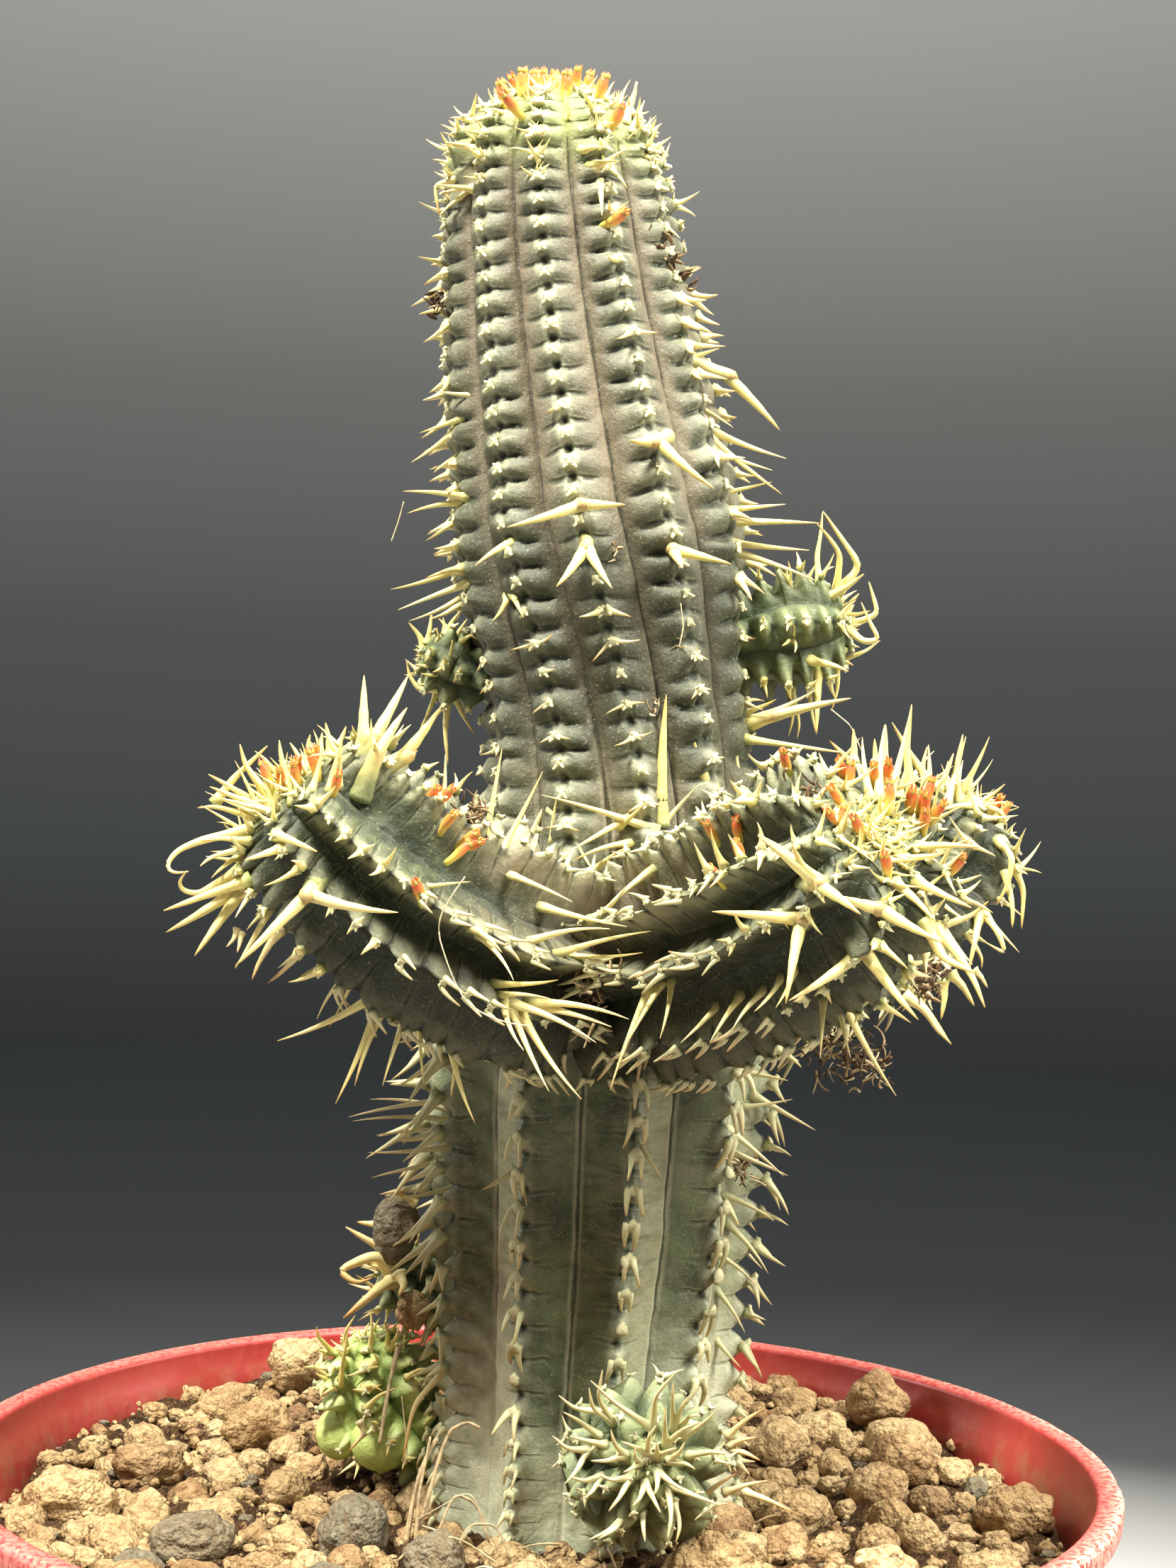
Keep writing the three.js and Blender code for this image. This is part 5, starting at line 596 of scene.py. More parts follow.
def bud_material():
    M = Mat("bud", 0.5, spec=0.4, sub=0.08, subrad=(0.8, 0.3, 0.1))
    h, r = M.attr("h"), M.attr("rnd")
    n = M.noise(900, 4, 0.6)
    col = M.ramp(h, [(0.0, srgb(176, 182, 84)), (0.34, srgb(222, 200, 92)), (0.54, srgb(220, 146, 68)), (0.76, srgb(208, 98, 52)), (0.92, srgb(172, 82, 50)), (1.0, srgb(118, 70, 44))])
    col = M.mix(M.mul(M.ramp(r, [(0.3, 0), (1.0, 1)]), 0.7), col, M.ramp(h, [(0.0, srgb(190, 186, 92)), (0.5, srgb(226, 178, 88)), (0.85, srgb(206, 132, 62)), (1.0, srgb(150, 92, 50))]))
    col = M.mix(M.mul(M.ramp(n, [(0.45, 0), (0.75, 1)]), 0.3), col, srgb(228, 136, 84))
    M.color(col)
    M.bump(n, 0.4, 0.0004)
    return M.m
bud_mat = bud_material()

def stone_material():
    M = Mat("stone", 0.9, spec=0.2)
    r, g = M.attr("rnd"), M.attr("grey")
    n1 = M.noise(150, 5, 0.62)
    n2 = M.noise(620, 5, 0.68)
    n3 = M.noise(2400, 3, 0.6)
    tan = M.ramp(r, [(0.0, srgb(140, 110, 74)), (0.18, srgb(162, 132, 90)), (0.5, srgb(181, 152, 106)), (0.78, srgb(196, 169, 123)), (0.92, srgb(160, 127, 87)), (1.0, srgb(124, 94, 64))])
    col = M.mix(M.mul(M.ramp(n1, [(0.42, 0), (0.68, 1)]), 0.5), tan, srgb(212, 185, 135))
    col = M.mix(M.mul(M.ramp(n1, [(0.3, 1), (0.46, 0)]), 0.5), col, srgb(128, 90, 54))
    col = M.mix(M.mul(M.ramp(n2, [(0.5, 0), (0.66, 1)]), 0.7), col, srgb(104, 70, 42))
    gcol = M.mix(M.ramp(n2, [(0.35, 0), (0.7, 1)]), srgb(92, 86, 68), srgb(138, 129, 106))
    gcol = M.mix(M.mul(M.ramp(n1, [(0.5, 0), (0.75, 1)]), 0.5), gcol, srgb(150, 132, 102))
    col = M.mix(g, col, gcol)
    v1 = M.voronoi(620)
    v2 = M.voronoi(1500)
    # painted shade: the stone is darkened in its pits and in the creases between grains, the low parts of the bump
    pits = M.ramp(n3, [(0.32, 0.45), (0.46, 1)])
    col = M.mix(1.0, col, pits, "MULTIPLY")
    col = M.mix(M.mul(M.ramp(v1, [(0.5, 0), (0.8, 1)]), 0.35), col, srgb(104, 76, 48))
    M.color(col)
    h = M.math("SUBTRACT", M.math("ADD", M.math("MULTIPLY", n2, 0.7), M.math("MULTIPLY", n3, 0.3)), M.math("ADD", M.math("MULTIPLY", v1, 1.0), M.math("MULTIPLY", v2, 0.4)))
    M.bump(h, 0.75, 0.0014)
    return M.m
stone_mat = stone_material()

def mix_material():
    M = Mat("potting_mix", 0.95, spec=0.15)
    n1, n2, n3 = M.noise(90, 5, 0.65), M.noise(520, 6, 0.72), M.noise(2100, 4, 0.65)
    col = M.ramp(n2, [(0.3, srgb(34, 22, 14)), (0.46, srgb(66, 44, 27)), (0.6, srgb(104, 74, 45)), (0.78, srgb(160, 124, 80))])
    col = M.mix(M.mul(M.ramp(n1, [(0.4, 0), (0.7, 1)]), 0.4), col, srgb(60, 42, 28))
    col = M.mix(M.mul(M.ramp(n3, [(0.55, 0), (0.68, 1)]), 0.6), col, srgb(204, 170, 116))
    M.color(col)
    M.bump(M.math("ADD", n2, M.math("MULTIPLY", n3, 0.7)), 1.0, 0.0022)
    return M.m
mix_mat = mix_material()

def pot_material():
    M = Mat("pot_plastic", 0.45, spec=0.5, sub=0.06, subrad=(0.9, 0.25, 0.15))
    n1, n2 = M.noise(26, 4, 0.55), M.noise(420, 5, 0.65)
    wear = M.attr("wear")
    dirt = M.attr("dirt")
    col = M.mix(M.ramp(n1, [(0.35, 0), (0.7, 1)]), srgb(154, 46, 41), srgb(170, 60, 53))
    col = M.mix(M.mul(M.ramp(n2, [(0.5, 0), (0.72, 1)]), 0.2), col, srgb(206, 108, 94))
    w = M.mul(wear, M.ramp(M.noise(800, 5, 0.75), [(0.42, 0), (0.54, 1)]))
    col = M.mix(M.mul(w, 0.8), col, srgb(234, 178, 156))
    d = M.mul(dirt, M.ramp(M.noise(170, 5, 0.72), [(0.44, 0), (0.64, 1)]))
    col = M.mix(M.mul(d, 0.7), col, srgb(150, 108, 76))
    M.color(col)
    M.rough(M.ramp(M.math("ADD", M.math("MULTIPLY", w, 0.6), M.math("MULTIPLY", n2, 0.5)), [(0.2, 0.36), (0.7, 0.64)]))
    M.bump(M.math("ADD", M.math("MULTIPLY", n2, 0.4), M.math("MULTIPLY", w, 0.6)), 0.3, 0.0004)
    return M.m
pot_mat = pot_material()

def debris_material():
    M = Mat("dry_debris", 0.9, spec=0.2)
    r = M.attr("rnd")
    n = M.noise(900, 4, 0.6)
    col = M.ramp(r, [(0.0, srgb(60, 47, 35)), (0.4, srgb(108, 86, 60)), (0.75, srgb(172, 148, 108)), (1.0, srgb(214, 198, 160))])
    col = M.mix(M.mul(M.ramp(n, [(0.4, 0), (0.7, 1)]), 0.5), col, srgb(60, 42, 28))
    M.color(col)
    M.bump(n, 0.6, 0.0005)
    return M.m
debris_mat = debris_material()

# ------------------------------------------------------------------ main stem
def stem_crests(z, u):
    return np.array([np.interp(z, CREST_Z, CRESTS[:, k]) for k in range(CRESTS.shape[1])])

RIGHT_FACE = np.array([1, 1, 0.45, 0.35, 0.7, 1, 0.6, 1, 0.5, 1, 1])  # how strongly each face is cushioned, right and left of every crest
LEFT_FACE = np.array([1, 1, 0.4, 1.05, 1, 0.6, 1, 1, 0.6, 1, 0.5])
RIGHT_LITE = np.array([0, 0, 1, 0.9, 0.2, 0.8, 0, 0.6, 0, 0.7, 0.1])  # faces of the lower stem painted paler, as painted light
LEFT_LITE = np.array([1, 0.9, 0, 0.1, 0.6, 0, 0.7, 0, 0.8, 0, 0.6])

def stem_spacing(L, total):
    z = 114 + L
    return np.interp(z, [114, 150, 165, 220, 250, 300, 340, 372, 392], [3.4, 3.6, 5.6, 6.0, 5.6, 5.2, 4.6, 3.9, 3.0])

def stem_relief(self, R, a, d, phi, u, P, radial, hw):
    z = P[..., 2]
    up = sstep(z, 226, 286)
    low = sstep(z, 252, 214)
    k = np.clip(R / 24.0, 0.3, 1.15)
    fr = phi - np.round(phi)
    sl = phi + (0.045 * d - 0.003 * d * d) * up + (0.1 + 0.07 * up) * vnoise(P, 5.0, 9)
    fr2 = sl - np.round(sl)
    g = (1 - (1 - a) ** 1.7) * (1 - up) + a ** 1.9 * up
    depth = 0.15 * (1 - up) + 0.105 * up
    r0 = R * (1 - depth * g)
    n1, n3 = vnoise(P, 7.0, 3), vnoise(P, 4.5, 31)
    i_ = np.arange(self.nr)[:, None]
    side = np.where(self.f[None, :] < 0.5, RIGHT_FACE[i_ % 11], LEFT_FACE[(i_ + 1) % 11])[None]
    side = 1 - (1 - side) * up * sstep(z, 366, 350)
    lite = np.where(self.f[None, :] < 0.5, RIGHT_LITE[i_ % 11], LEFT_LITE[(i_ + 1) % 11])[None]
    pill = np.abs(np.cos(np.pi * fr2)) ** 0.62
    w0 = sstep(a, 0.05, 0.2) * (1 - sstep(a, 0.4, 0.9))
    rel = (0.3 * (1 - up) + 2.0 * up) * side * k * (1 + 0.7 * n1 + 0.35 * n3) * (pill - 0.72) * w0
    # the faces bulge beside the crest between two teeth
    rel = rel + (1 - up) * 0.55 * np.cos(2 * np.pi * (fr2 - 0.5)) * np.exp(-((d - 1.8) / 1.5) ** 2)
    fd = (1 - a) * hw
    # crest: a tooth at every areole, a hole between two, a thin wall on either side of it
    tooth = np.exp(-(np.abs(fr) / (0.2 + 0.08 * (1 - up))) ** 2.2) * np.exp(-(d / (1.7 + 0.5 * (1 - up))) ** 2)
    pocket = np.exp(-((np.abs(fr) - 0.5) / 0.15) ** 2) * np.exp(-(d / 0.85) ** 2)
    wall = np.exp(-((np.abs(fr) - 0.5) / 0.3) ** 2) * np.exp(-((d - 1.25) / 0.5) ** 2)
    gap = np.exp(-((np.abs(fr) - 0.5) / 0.16) ** 2) * np.exp(-(d / 1.9) ** 2)
    rel = rel + (0.8 * up + 1.7 * (1 - up)) * tooth * k - (0.4 * (1 - up) + 1.1 * up) * (1 + 0.5 * n1) * pocket * k + 0.45 * up * (1 + 0.6 * n3) * wall - 0.9 * (1 - up) * gap
    # furrow line
    rel = rel - (0.25 + 0.2 * up) * np.exp(-(fd / 0.4) ** 2) + (0.1 + 0.12 * (1 - up)) * np.exp(-((fd - 1.0) / 0.5) ** 2)
    rel = rel + 0.2 * fbm(P, 3.2, 11) + 0.3 * vnoise(P, 16.0, 2) + up * 0.3 * n3 * w0 - (1 - up) * 0.3 * np.abs(vnoise(P * [1, 1, 2.2], 5.0, 6))
    fade = sstep(R, 1.5, 7.5)
    r = r0 + rel * fade
    # pil pales the cushion tops, partly bloom and partly painted highlight
    attrs = dict(pil=np.clip((pill - 0.35) * 1.5, 0, 1) * w0 * (0.15 + 0.6 * up) * side, bare=(1 - side) * sstep(d, 1.2, 2.6), lite=lite * low * sstep(d, 1.0, 2.6),
                 # dk: painted shade on the lower-stem faces under the arms, plus a darker band from z 262 to 318 and
                 # darker cushioned upper faces
                 dk=np.clip(sstep(z, 262, 278) * sstep(z, 318, 298) + 0.45 * up * (side - 0.4) + 0.85 * low * (0.6 - lite) * sstep(z, 150, 166), 0, 1), furrow=0.85 * (1 - up) + 0.12 * up + 0.0 * a, fd=fd, sl=sl, up=up,
                 # notch: painted shade in the gaps on the lower crest and in the crevices between the upper cushions
                 flat=np.exp(-(fd / 2.3) ** 2) * up, notch=np.clip(gap * (0.5 * (1 - up)) + 0.3 * up * (1 - pill) ** 2 * w0, 0, 1),
                 edge=np.exp(-(d / 1.2) ** 2) * (0.2 + 0.8 * np.exp(-(fr / 0.26) ** 2)) * (1 - np.clip(pocket * 1.6, 0, 1)), old=np.zeros_like(a), low=low,
                 fresh=0.8 * sstep(z, 364, 382), bloom=np.clip(np.maximum(sstep(z, 165, 146) * (0.6 + 0.4 * sstep(np.abs(P[..., 0] - 8), 8, 20)), 1.0 * sstep(z, 184, 160) * sstep(np.abs(P[..., 0] - 8), 8, 17) * sstep(P[..., 1], 14, -2)), 0, 1), ph=phi, cd=d)
    return r, attrs

n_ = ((8, 70, 210))
zrow = np.concatenate([np.linspace(114, 138, n_[0], endpoint=False), np.linspace(138, 226, n_[1], endpoint=False), np.linspace(226, 372.5, n_[2])])
stem = Ribbed(STEM, STEM_TIP, stem_crests, 0, 34, fdiv(18, 0.5), stem_spacing, stem_relief, 2.0, 2.0, seed=1, srows=(zrow - 114) / 258.5)
stem.make("stem_skin", skin_stem, "stem_skin", ("main_stem",))

# ------------------------------------------------------------------ arms
def arm_relief(self, R, a, d, phi, u, P, radial, hw):
    tipw = sstep(u, 0.6, 0.92)
    k = np.clip(R / 19.0, 0.25, 1.15)
    fr = phi - np.round(phi)
    sl = phi + 0.05 * vnoise(P, 6.0, 9)
    fr2 = sl - np.round(sl)
    radz = radial[..., 2]
    cork = sstep(u, 0.68, 0.42) * (0.25 + 0.75 * sstep(radz, -0.15, 0.45))
    g = 1 - (1 - a) ** 2.1
    depth = 0.36 * (1 - 0.3 * tipw)
    r0 = R * (1 - depth * g)
    pill = np.abs(np.cos(np.pi * fr2)) ** 0.8
    w0 = sstep(a, 0.04, 0.18) * (1 - sstep(a, 0.4, 0.75))
    rel = (0.25 + 0.7 * tipw) * k * (pill - 0.6) * w0
    tooth = np.exp(-(fr / 0.24) ** 2) * np.exp(-(d / 1.7) ** 2)
    pocket = np.exp(-((np.abs(fr) - 0.5) / 0.18) ** 2) * np.exp(-(d / 1.4) ** 2)
    rel = rel + (0.9 + 1.4 * tipw) * k * tooth - (0.6 + 0.5 * tipw) * k * pocket
    fd = (1 - a) * hw
    rel = rel - 0.35 * np.exp(-(fd / 0.4) ** 2)
    lobe = np.abs(vnoise(P, 3.8, 8))
    near = np.exp(-(d / 4.6) ** 2)
    rel = rel + cork * near * (2.9 * lobe - 0.6) + 0.3 * fbm(P, 3.4, 21) + 0.55 * vnoise(P, 11.0, 4) - 0.5 * (1 - tipw) * np.abs(vnoise(P, 5.5, 33))
    fade = sstep(R, 1.2, 6.0)
    hump = sstep(u, 0.5, 0.24) * sstep(radz, 0.0, 0.4)
    # dk: painted shade on the skin that faces down
    attrs = dict(lite=np.zeros_like(a), pil=np.clip((pill - 0.35) * 1.4, 0, 1) * w0 * (0.15 + 0.5 * tipw), furrow=np.full_like(a, 0.1), flat=np.zeros_like(a), fd=fd, sl=sl, up=0.2 + 0.5 * tipw, bare=np.zeros_like(a), dk=0.9 * sstep(radz, 0.1, -0.5),
                 # notch: painted shade in the pockets and on the furrow side of the ribs, less on the cork
                 notch=np.clip(pocket * 0.8 + sstep(a, 0.4, 0.9) * 0.45, 0, 1) * (1 - cork * near * 0.8),
                 edge=np.exp(-(d / 1.1) ** 2) * (0.4 + 0.6 * np.exp(-(fr / 0.3) ** 2)), old=np.clip(np.maximum(cork * near * (0.35 + 1.1 * lobe) * 1.3, 0.85 * hump), 0, 1),
                 low=np.full_like(a, 0.85), fresh=0.5 * sstep(u, 0.84, 1.0), bloom=np.zeros_like(a), ph=phi, cd=d)
    return r0 + rel * fade, attrs

def arm_spacing(L, total):
    return np.interp(L / total, [0, 0.6, 0.8, 1.0], [4.6, 4.2, 3.4, 2.6])

arms = {}
for nm, ax, tp, ribs, sd in (("left_arm", LEFT_ARM, LEFT_TIP, LEFT_RIBS, 11), ("right_arm", RIGHT_ARM, RIGHT_TIP, RIGHT_RIBS, 12), ("rear_arm", REAR_ARM, REAR_TIP, REAR_RIBS, 13)):
    A = Ribbed(ax, tp, (lambda r: (lambda z, u: r))(ribs), 126 if nm != "rear_arm" else 84, 40, fdiv(16 if nm != "rear_arm" else 14, 0.5), arm_spacing, arm_relief, seed=sd)
    A.make(nm + "_skin", skin_arm, "arm_skin", (nm,))
    arms[nm] = A

# ------------------------------------------------------------------ offsets
OFFSETS = {
    "offset_upper_left": dict(a=[-8, 7, 282], b=[-18.3, 8.5, 285.0], t=[-24.6, 8.5, 287.8], r=6.4, n=6),
    "offset_upper_right": dict(a=[26, 7, 289], b=[39.5, 8, 292.6], t=[50.2, 8, 295.6], r=10.2, n=6),
    "offset_base_front": dict(a=[14, -12, 151], b=[18.2, -27, 155.5], t=[19.6, -38, 158.8], r=11.3, n=9),
    "offset_base_left": dict(a=[-15, 14, 142], b=[-28.2, 14, 155], t=[-31.0, 12.5, 166.0], r=9.8, n=7),
    "offset_back_left": dict(a=[-8, 12, 170], b=[-22.5, 14, 174.5], t=[-28, 14, 179], r=6.2, n=6),
}
def pup_relief(self, R, a, d, phi, u, P, radial, hw):
    k = np.clip(R / 8.0, 0.2, 1.4)
    fr = phi - np.round(phi)
    w = np.clip(hw * 0.62, 0.8, 2.6)
    knob = np.exp(-(fr / 0.27) ** 2) * np.exp(-(d / w) ** 2)
    pocket = np.exp(-((np.abs(fr) - 0.5) / 0.2) ** 2) * np.exp(-(d / 1.8) ** 2)
    rel = 2.1 * k * knob - 1.0 * k * pocket + 0.2 * fbm(P, 2.5, 31) + 0.3 * vnoise(P, 6, 7)
    z0 = np.zeros_like(a)
    attrs = dict(pil=np.clip(knob * 1.2, 0, 1), furrow=z0, flat=z0, fd=(1 - a) * hw, sl=phi, up=z0, bare=z0, dk=z0, lite=z0,
                 # notch: painted shade in the pockets and between the knobs
                 notch=np.clip(pocket * 0.7 + (1 - knob) * sstep(a, 0.3, 0.9) * 0.6, 0, 1), edge=np.clip(knob ** 3, 0, 1) * 0.6, old=z0,
                 low=z0, fresh=0.4 * sstep(u, 0.7, 1.0), bloom=z0, ph=phi, cd=d)
    return R * (1 - 0.24 * a ** 1.2) + rel * sstep(R, 0.8, 4.0), attrs
pups = {}
for nm, o in OFFSETS.items():
    a_, b_, t_ = np.array(o["a"], float), np.array(o["b"], float), np.array(o["t"], float)
    ax = np.array([[*a_, o["r"] * 0.55], [*((a_ + b_) / 2), o["r"] * 0.8], [*b_, o["r"]]])
    ribs = -20 + np.arange(o["n"]) * 360 / o["n"]
    Pp = Ribbed(ax, t_, (lambda r: (lambda z, u: r + 25 * u))(ribs), 42, 42, fdiv(12, 0.4),
                lambda L, tot: np.interp(L / tot, [0, 0.5, 1], [4.6, 4.0, 3.0]), pup_relief, seed=len(nm), cap_pow=2.0)
    Pp.make(nm + "_skin", skin_fresh if nm == "offset_base_left" else skin_pup, "fresh_skin" if nm == "offset_base_left" else "arm_skin", (nm,))
    pups[nm] = Pp

# ------------------------------------------------------------------ areoles, spines, buds
def areole(buf, s, size=1.0, stubs=True, old=0.0, stub_len=1.0):
    """A small pale cushion with two stout stubs below and two fine ones above"""
    p, n, up, sd = s["p"], s["n"], s["up"], s["s"]
    rn = rng.random() * 0.5 * (1 - old) + old
    c = p + n * 0.1
    ths = np.arange(6) / 6 * 2 * np.pi + 0.5
    V = [c - n * 0.9]
    for rr, hh in ((1.0, 0.0), (0.78, 0.5)):
        for i, t in enumerate(ths):
            lobe = 1.0 + (0.16 if i % 2 else -0.12)
            V.append(c + size * (sd * np.cos(t) * rr * lobe + up * np.sin(t) * rr * lobe * 1.1 + n * (hh + 0.1 * rng.standard_normal())))
    V.append(c + n * size * 0.42)
    T, Q = [], []
    for k in range(6):
        k2 = (k + 1) % 6
        T.append([0, 1 + k2, 1 + k])
        Q.append([1 + k, 1 + k2, 7 + k2, 7 + k])
        T.append([13, 7 + k, 7 + k2])
    buf.add(V, np.array(Q), np.array(T), h=[0.1] * 7 + [0.5] * 7, rnd=rn)
    if not stubs:
        return
    for sx, sy, ln, r0 in ((1, -0.8, 1.4, 0.46), (-1, -0.8, 1.4, 0.46), (0.9, 0.85, 0.85, 0.34), (-0.9, 0.85, 0.85, 0.34)):
        L = size * ln * stub_len * rng.uniform(0.55, 1.25)
        d = unit(sd * sx * rng.uniform(0.6, 1.0) + up * sy * rng.uniform(0.6, 1.1) + n * rng.uniform(0.5, 1.1))
        b = c + size * (sd * sx * 0.42 + up * sy * 0.5) + n * 0.05
        pts = np.array([b - d * 0.3, b + d * L * 0.45, b + d * L])
        rad = r0 * size * np.array([1.2, 0.95, rng.uniform(0.35, 0.8)])
        sweep(buf, pts, rad, 4, rnd=rn)

def pair(buf, s, L, beta=40, down=0.5, r0=0.6, age=0.4, both=1.0, jitter=0.18, bend=0.12, out=1.0, spread_up=0.0):
    p, n, up, sd = s["p"], s["n"], s["up"], s["s"]
    for sgn in (1, -1):
        if rng.random() > both:
            continue
        b = math.radians(beta * rng.uniform(0.75, 1.25))
        d = unit(n * math.cos(b) * out + sd * sgn * math.sin(b) - up * down * rng.uniform(0.6, 1.3) + up * spread_up + rng.standard_normal(3) * jitter)
        l = L * rng.uniform(0.7, 1.2)
        f = p + sd * sgn * 0.35 - n * 0.2
        spine(buf, f, f + d * l, r0 * rng.uniform(0.85, 1.15), bend * rng.uniform(0.3, 1.4), age=float(np.clip(age + rng.normal(0, 0.12), 0, 1)), seg=5 if l < 6 else 7, sides=5 if l < 6 else 6, fl=1.7)

def staple(buf, s, L, r0=0.44, age=0.3, out=0.4, side=0.34):
    """two stout spines that hang side by side from a broad pad"""
    p, n, up, sd = s["p"], s["n"], s["up"], s["s"]
    w = rng.uniform(0.55, 0.9)
    for sgn in (1, -1):
        l = L * rng.uniform(0.7, 1.15)
        f = p + sd * sgn * w + up * 0.2 - n * 0.3
        d = unit(-up + sd * sgn * side * rng.uniform(-0.2, 1.0) + n * out * rng.uniform(0.3, 1.5) + rng.standard_normal(3) * 0.06)
        m = f + (n * rng.uniform(0.35, 0.8) + sd * sgn * rng.uniform(-0.1, 0.3) - up * 0.35) * l * 0.5
        q = bezier(f, m, f + d * l, 6)
        u = np.linspace(0, 1, 6)
        sweep(buf, q, r0 * (1.35 - 1.0 * u ** 1.4) * rng.uniform(0.85, 1.15), 6, rnd=rng.random(), age=float(np.clip(age + rng.normal(0, 0.22), 0, 1)))

def prickles(buf, s, L=1.2, n=2, r0=0.22, age=0.5):
    for k in range(n):
        d = unit(s["n"] * 0.6 + s["s"] * rng.uniform(-1, 1) + s["up"] * rng.uniform(-0.2, 1.0))
        f = s["p"] + s["up"] * 0.5 + s["s"] * rng.uniform(-0.5, 0.5) - s["n"] * 0.1
        spine(buf, f, f + d * L * rng.uniform(0.6, 1.4), r0, 0.1, age=age, seg=3, sides=4, fl=1.3)

def bent(buf, pts, r0, age=0.0, fl=1.6):
    """a spine through the given points, eased at the bends"""
    P_ = np.asarray(pts, float)
    cum = np.concatenate([[0], np.cumsum(np.linalg.norm(np.diff(P_, axis=0), axis=1))])
    n = 8 + 3 * (len(P_) - 1)
    tt = np.linspace(0, cum[-1], n)
    q = np.stack([np.interp(tt, cum, P_[:, k]) for k in range(3)], 1)
    for _ in range(3):
        q[1:-1] = 0.25 * q[:-2] + 0.5 * q[1:-1] + 0.25 * q[2:]
    u = np.linspace(0, 1, n)
    rad = r0 * ((1 - u) ** 0.7 * 0.88 + 0.12) * (1 + (fl - 1) * np.exp(-u * 9)) * (1 + 0.05 * np.sin(u * 19))
    sweep(buf, q, rad, 7, rnd=rng.random() * 0.7, age=age)

ar_stem, sp_up, sp_low, sp_crown = Buf(), Buf(), Buf(), Buf()
NEAR = np.array([[*f[:3]] for f in SINGLES] + [[*f[0]] for f in FORKED] + [k[0][0] for k in KINKED])
def clear_of(p, d):
    return np.min(np.linalg.norm(NEAR - p, axis=1)) > d
for s in stem.sites():
    p = s["p"]
    z = p[2]
    if z < 138.0:
        continue
    left_sil, right_sil = s["n"][0] < -0.78, s["n"][0] > 0.78
    free = clear_of(p, 3.2)
    if z > 366:
        areole(ar_stem, s, rng.uniform(0.8, 1.15), True, 0.0, 1.0)
        if rng.random() < 0.75:
            pair(sp_crown, s, rng.uniform(2.4, 5.4), 40, -0.35, 0.5, age=0.05, jitter=0.28)
        prickles(sp_crown, s, 2.0, 3, 0.26, 0.0)
    elif z > 292:
        areole(ar_stem, s, rng.uniform(0.7, 0.95), True, 0.0, 0.8)
        q = rng.random()
        if z > 355:
            if q < 0.4:
                pair(sp_up, s, rng.uniform(2.4, 5.0), 48, -0.1, 0.48, age=0.1)
        elif left_sil or right_sil:
            if free and q < 0.72:
                pair(sp_up, s, rng.uniform(3.6, 7.0), 40, 0.35, 0.72, age=0.12)
        elif q < 0.13 and free:
            pair(sp_up, s, rng.uniform(3.0, 6.0), 55, 0.3, 0.6, age=0.2, both=0.8)
        prickles(sp_up, s, 1.0, 2 if rng.random() < 0.5 else 1, 0.2, 0.1)
    elif z > 226:
        areole(ar_stem, s, rng.uniform(0.72, 0.92), True, 0.35 if rng.random() < 0.4 else 0.0, 0.8)
        if rng.random() < 0.6 and free:
            pair(sp_up, s, rng.uniform(2.0, 4.4), 58, 0.3, 0.42, age=0.5, both=0.85)
        prickles(sp_up, s, 1.2, 1, 0.2, 0.5)
    else:
        areole(ar_stem, s, rng.uniform(1.1, 1.4) * (1.0 if z > 158 else 0.65), False, 0.1)
        if left_sil:
            if z > 188:
                pair(sp_low, s, rng.uniform(8.0, 11.5), 20, 0.62, 0.9, age=0.3, bend=0.06, jitter=0.07)
            elif z > 162:
                pair(sp_low, s, rng.uniform(4.2, 6.4), 28, 0.9, 0.78, age=0.3, bend=0.1)
            else:
                staple(sp_low, s, rng.uniform(2.4, 3.4), 0.38, 0.3)
        elif right_sil:
            pair(sp_low, s, rng.uniform(4.6, 7.2) * (1.0 if z > 165 else 0.6), 32, 0.75, 0.72, age=0.4, bend=0.1)
        else:
            if rng.random() > 0.1 * (z > 165):
                staple(sp_low, s, rng.uniform(3.6, 5.6) * (1.0 if z > 160 else 0.6), rng.uniform(0.48, 0.62) if z > 160 else 0.38, 0.15, out=rng.uniform(0.15, 0.5), side=rng.uniform(0.15, 0.4))
            if rng.random() < 0.3 and z > 165:
                prickles(sp_low, s, 1.5, 1, 0.24, 0.5)
# growing point: a tuft between the buds
for k in range(170):
    t = rng.random() * 2 * np.pi
    rr = 15.0 * math.sqrt(rng.random())
    f = stem.snap((STEM_TIP[0] + rr * math.cos(t), 5 + rr * math.sin(t), 385.0 - 0.055 * rr ** 2), 8.0)
    d = unit(np.array([0.55 * math.cos(t) * rr / 8, 0.55 * math.sin(t) * rr / 8, 1.0]) + rng.standard_normal(3) * 0.3)
    spine(sp_crown, f - d * 0.4, f + d * rng.uniform(1.4, 4.4), rng.uniform(0.26, 0.46), 0.14, age=rng.uniform(0, 0.2), seg=5, sides=4)

SKIN = np.vstack([b.V for b in [stem, *arms.values(), *pups.values()]])
AXIS = np.vstack([np.vstack([np.repeat(b.C, len(b.V[:-2]) // b.n, 0), b.C[:1], b.C[-1:]]) for b in [stem, *arms.values(), *pups.values()]])
def rest_on(p, reach=9.0, sink=0.8):
    """the nearest point of any body's skin"""
    dd = np.linalg.norm(SKIN - p, axis=1)
    i = int(np.argmin(dd))
    return SKIN[i] - unit(SKIN[i] - AXIS[i]) * sink if dd[i] < reach else np.asarray(p, float)

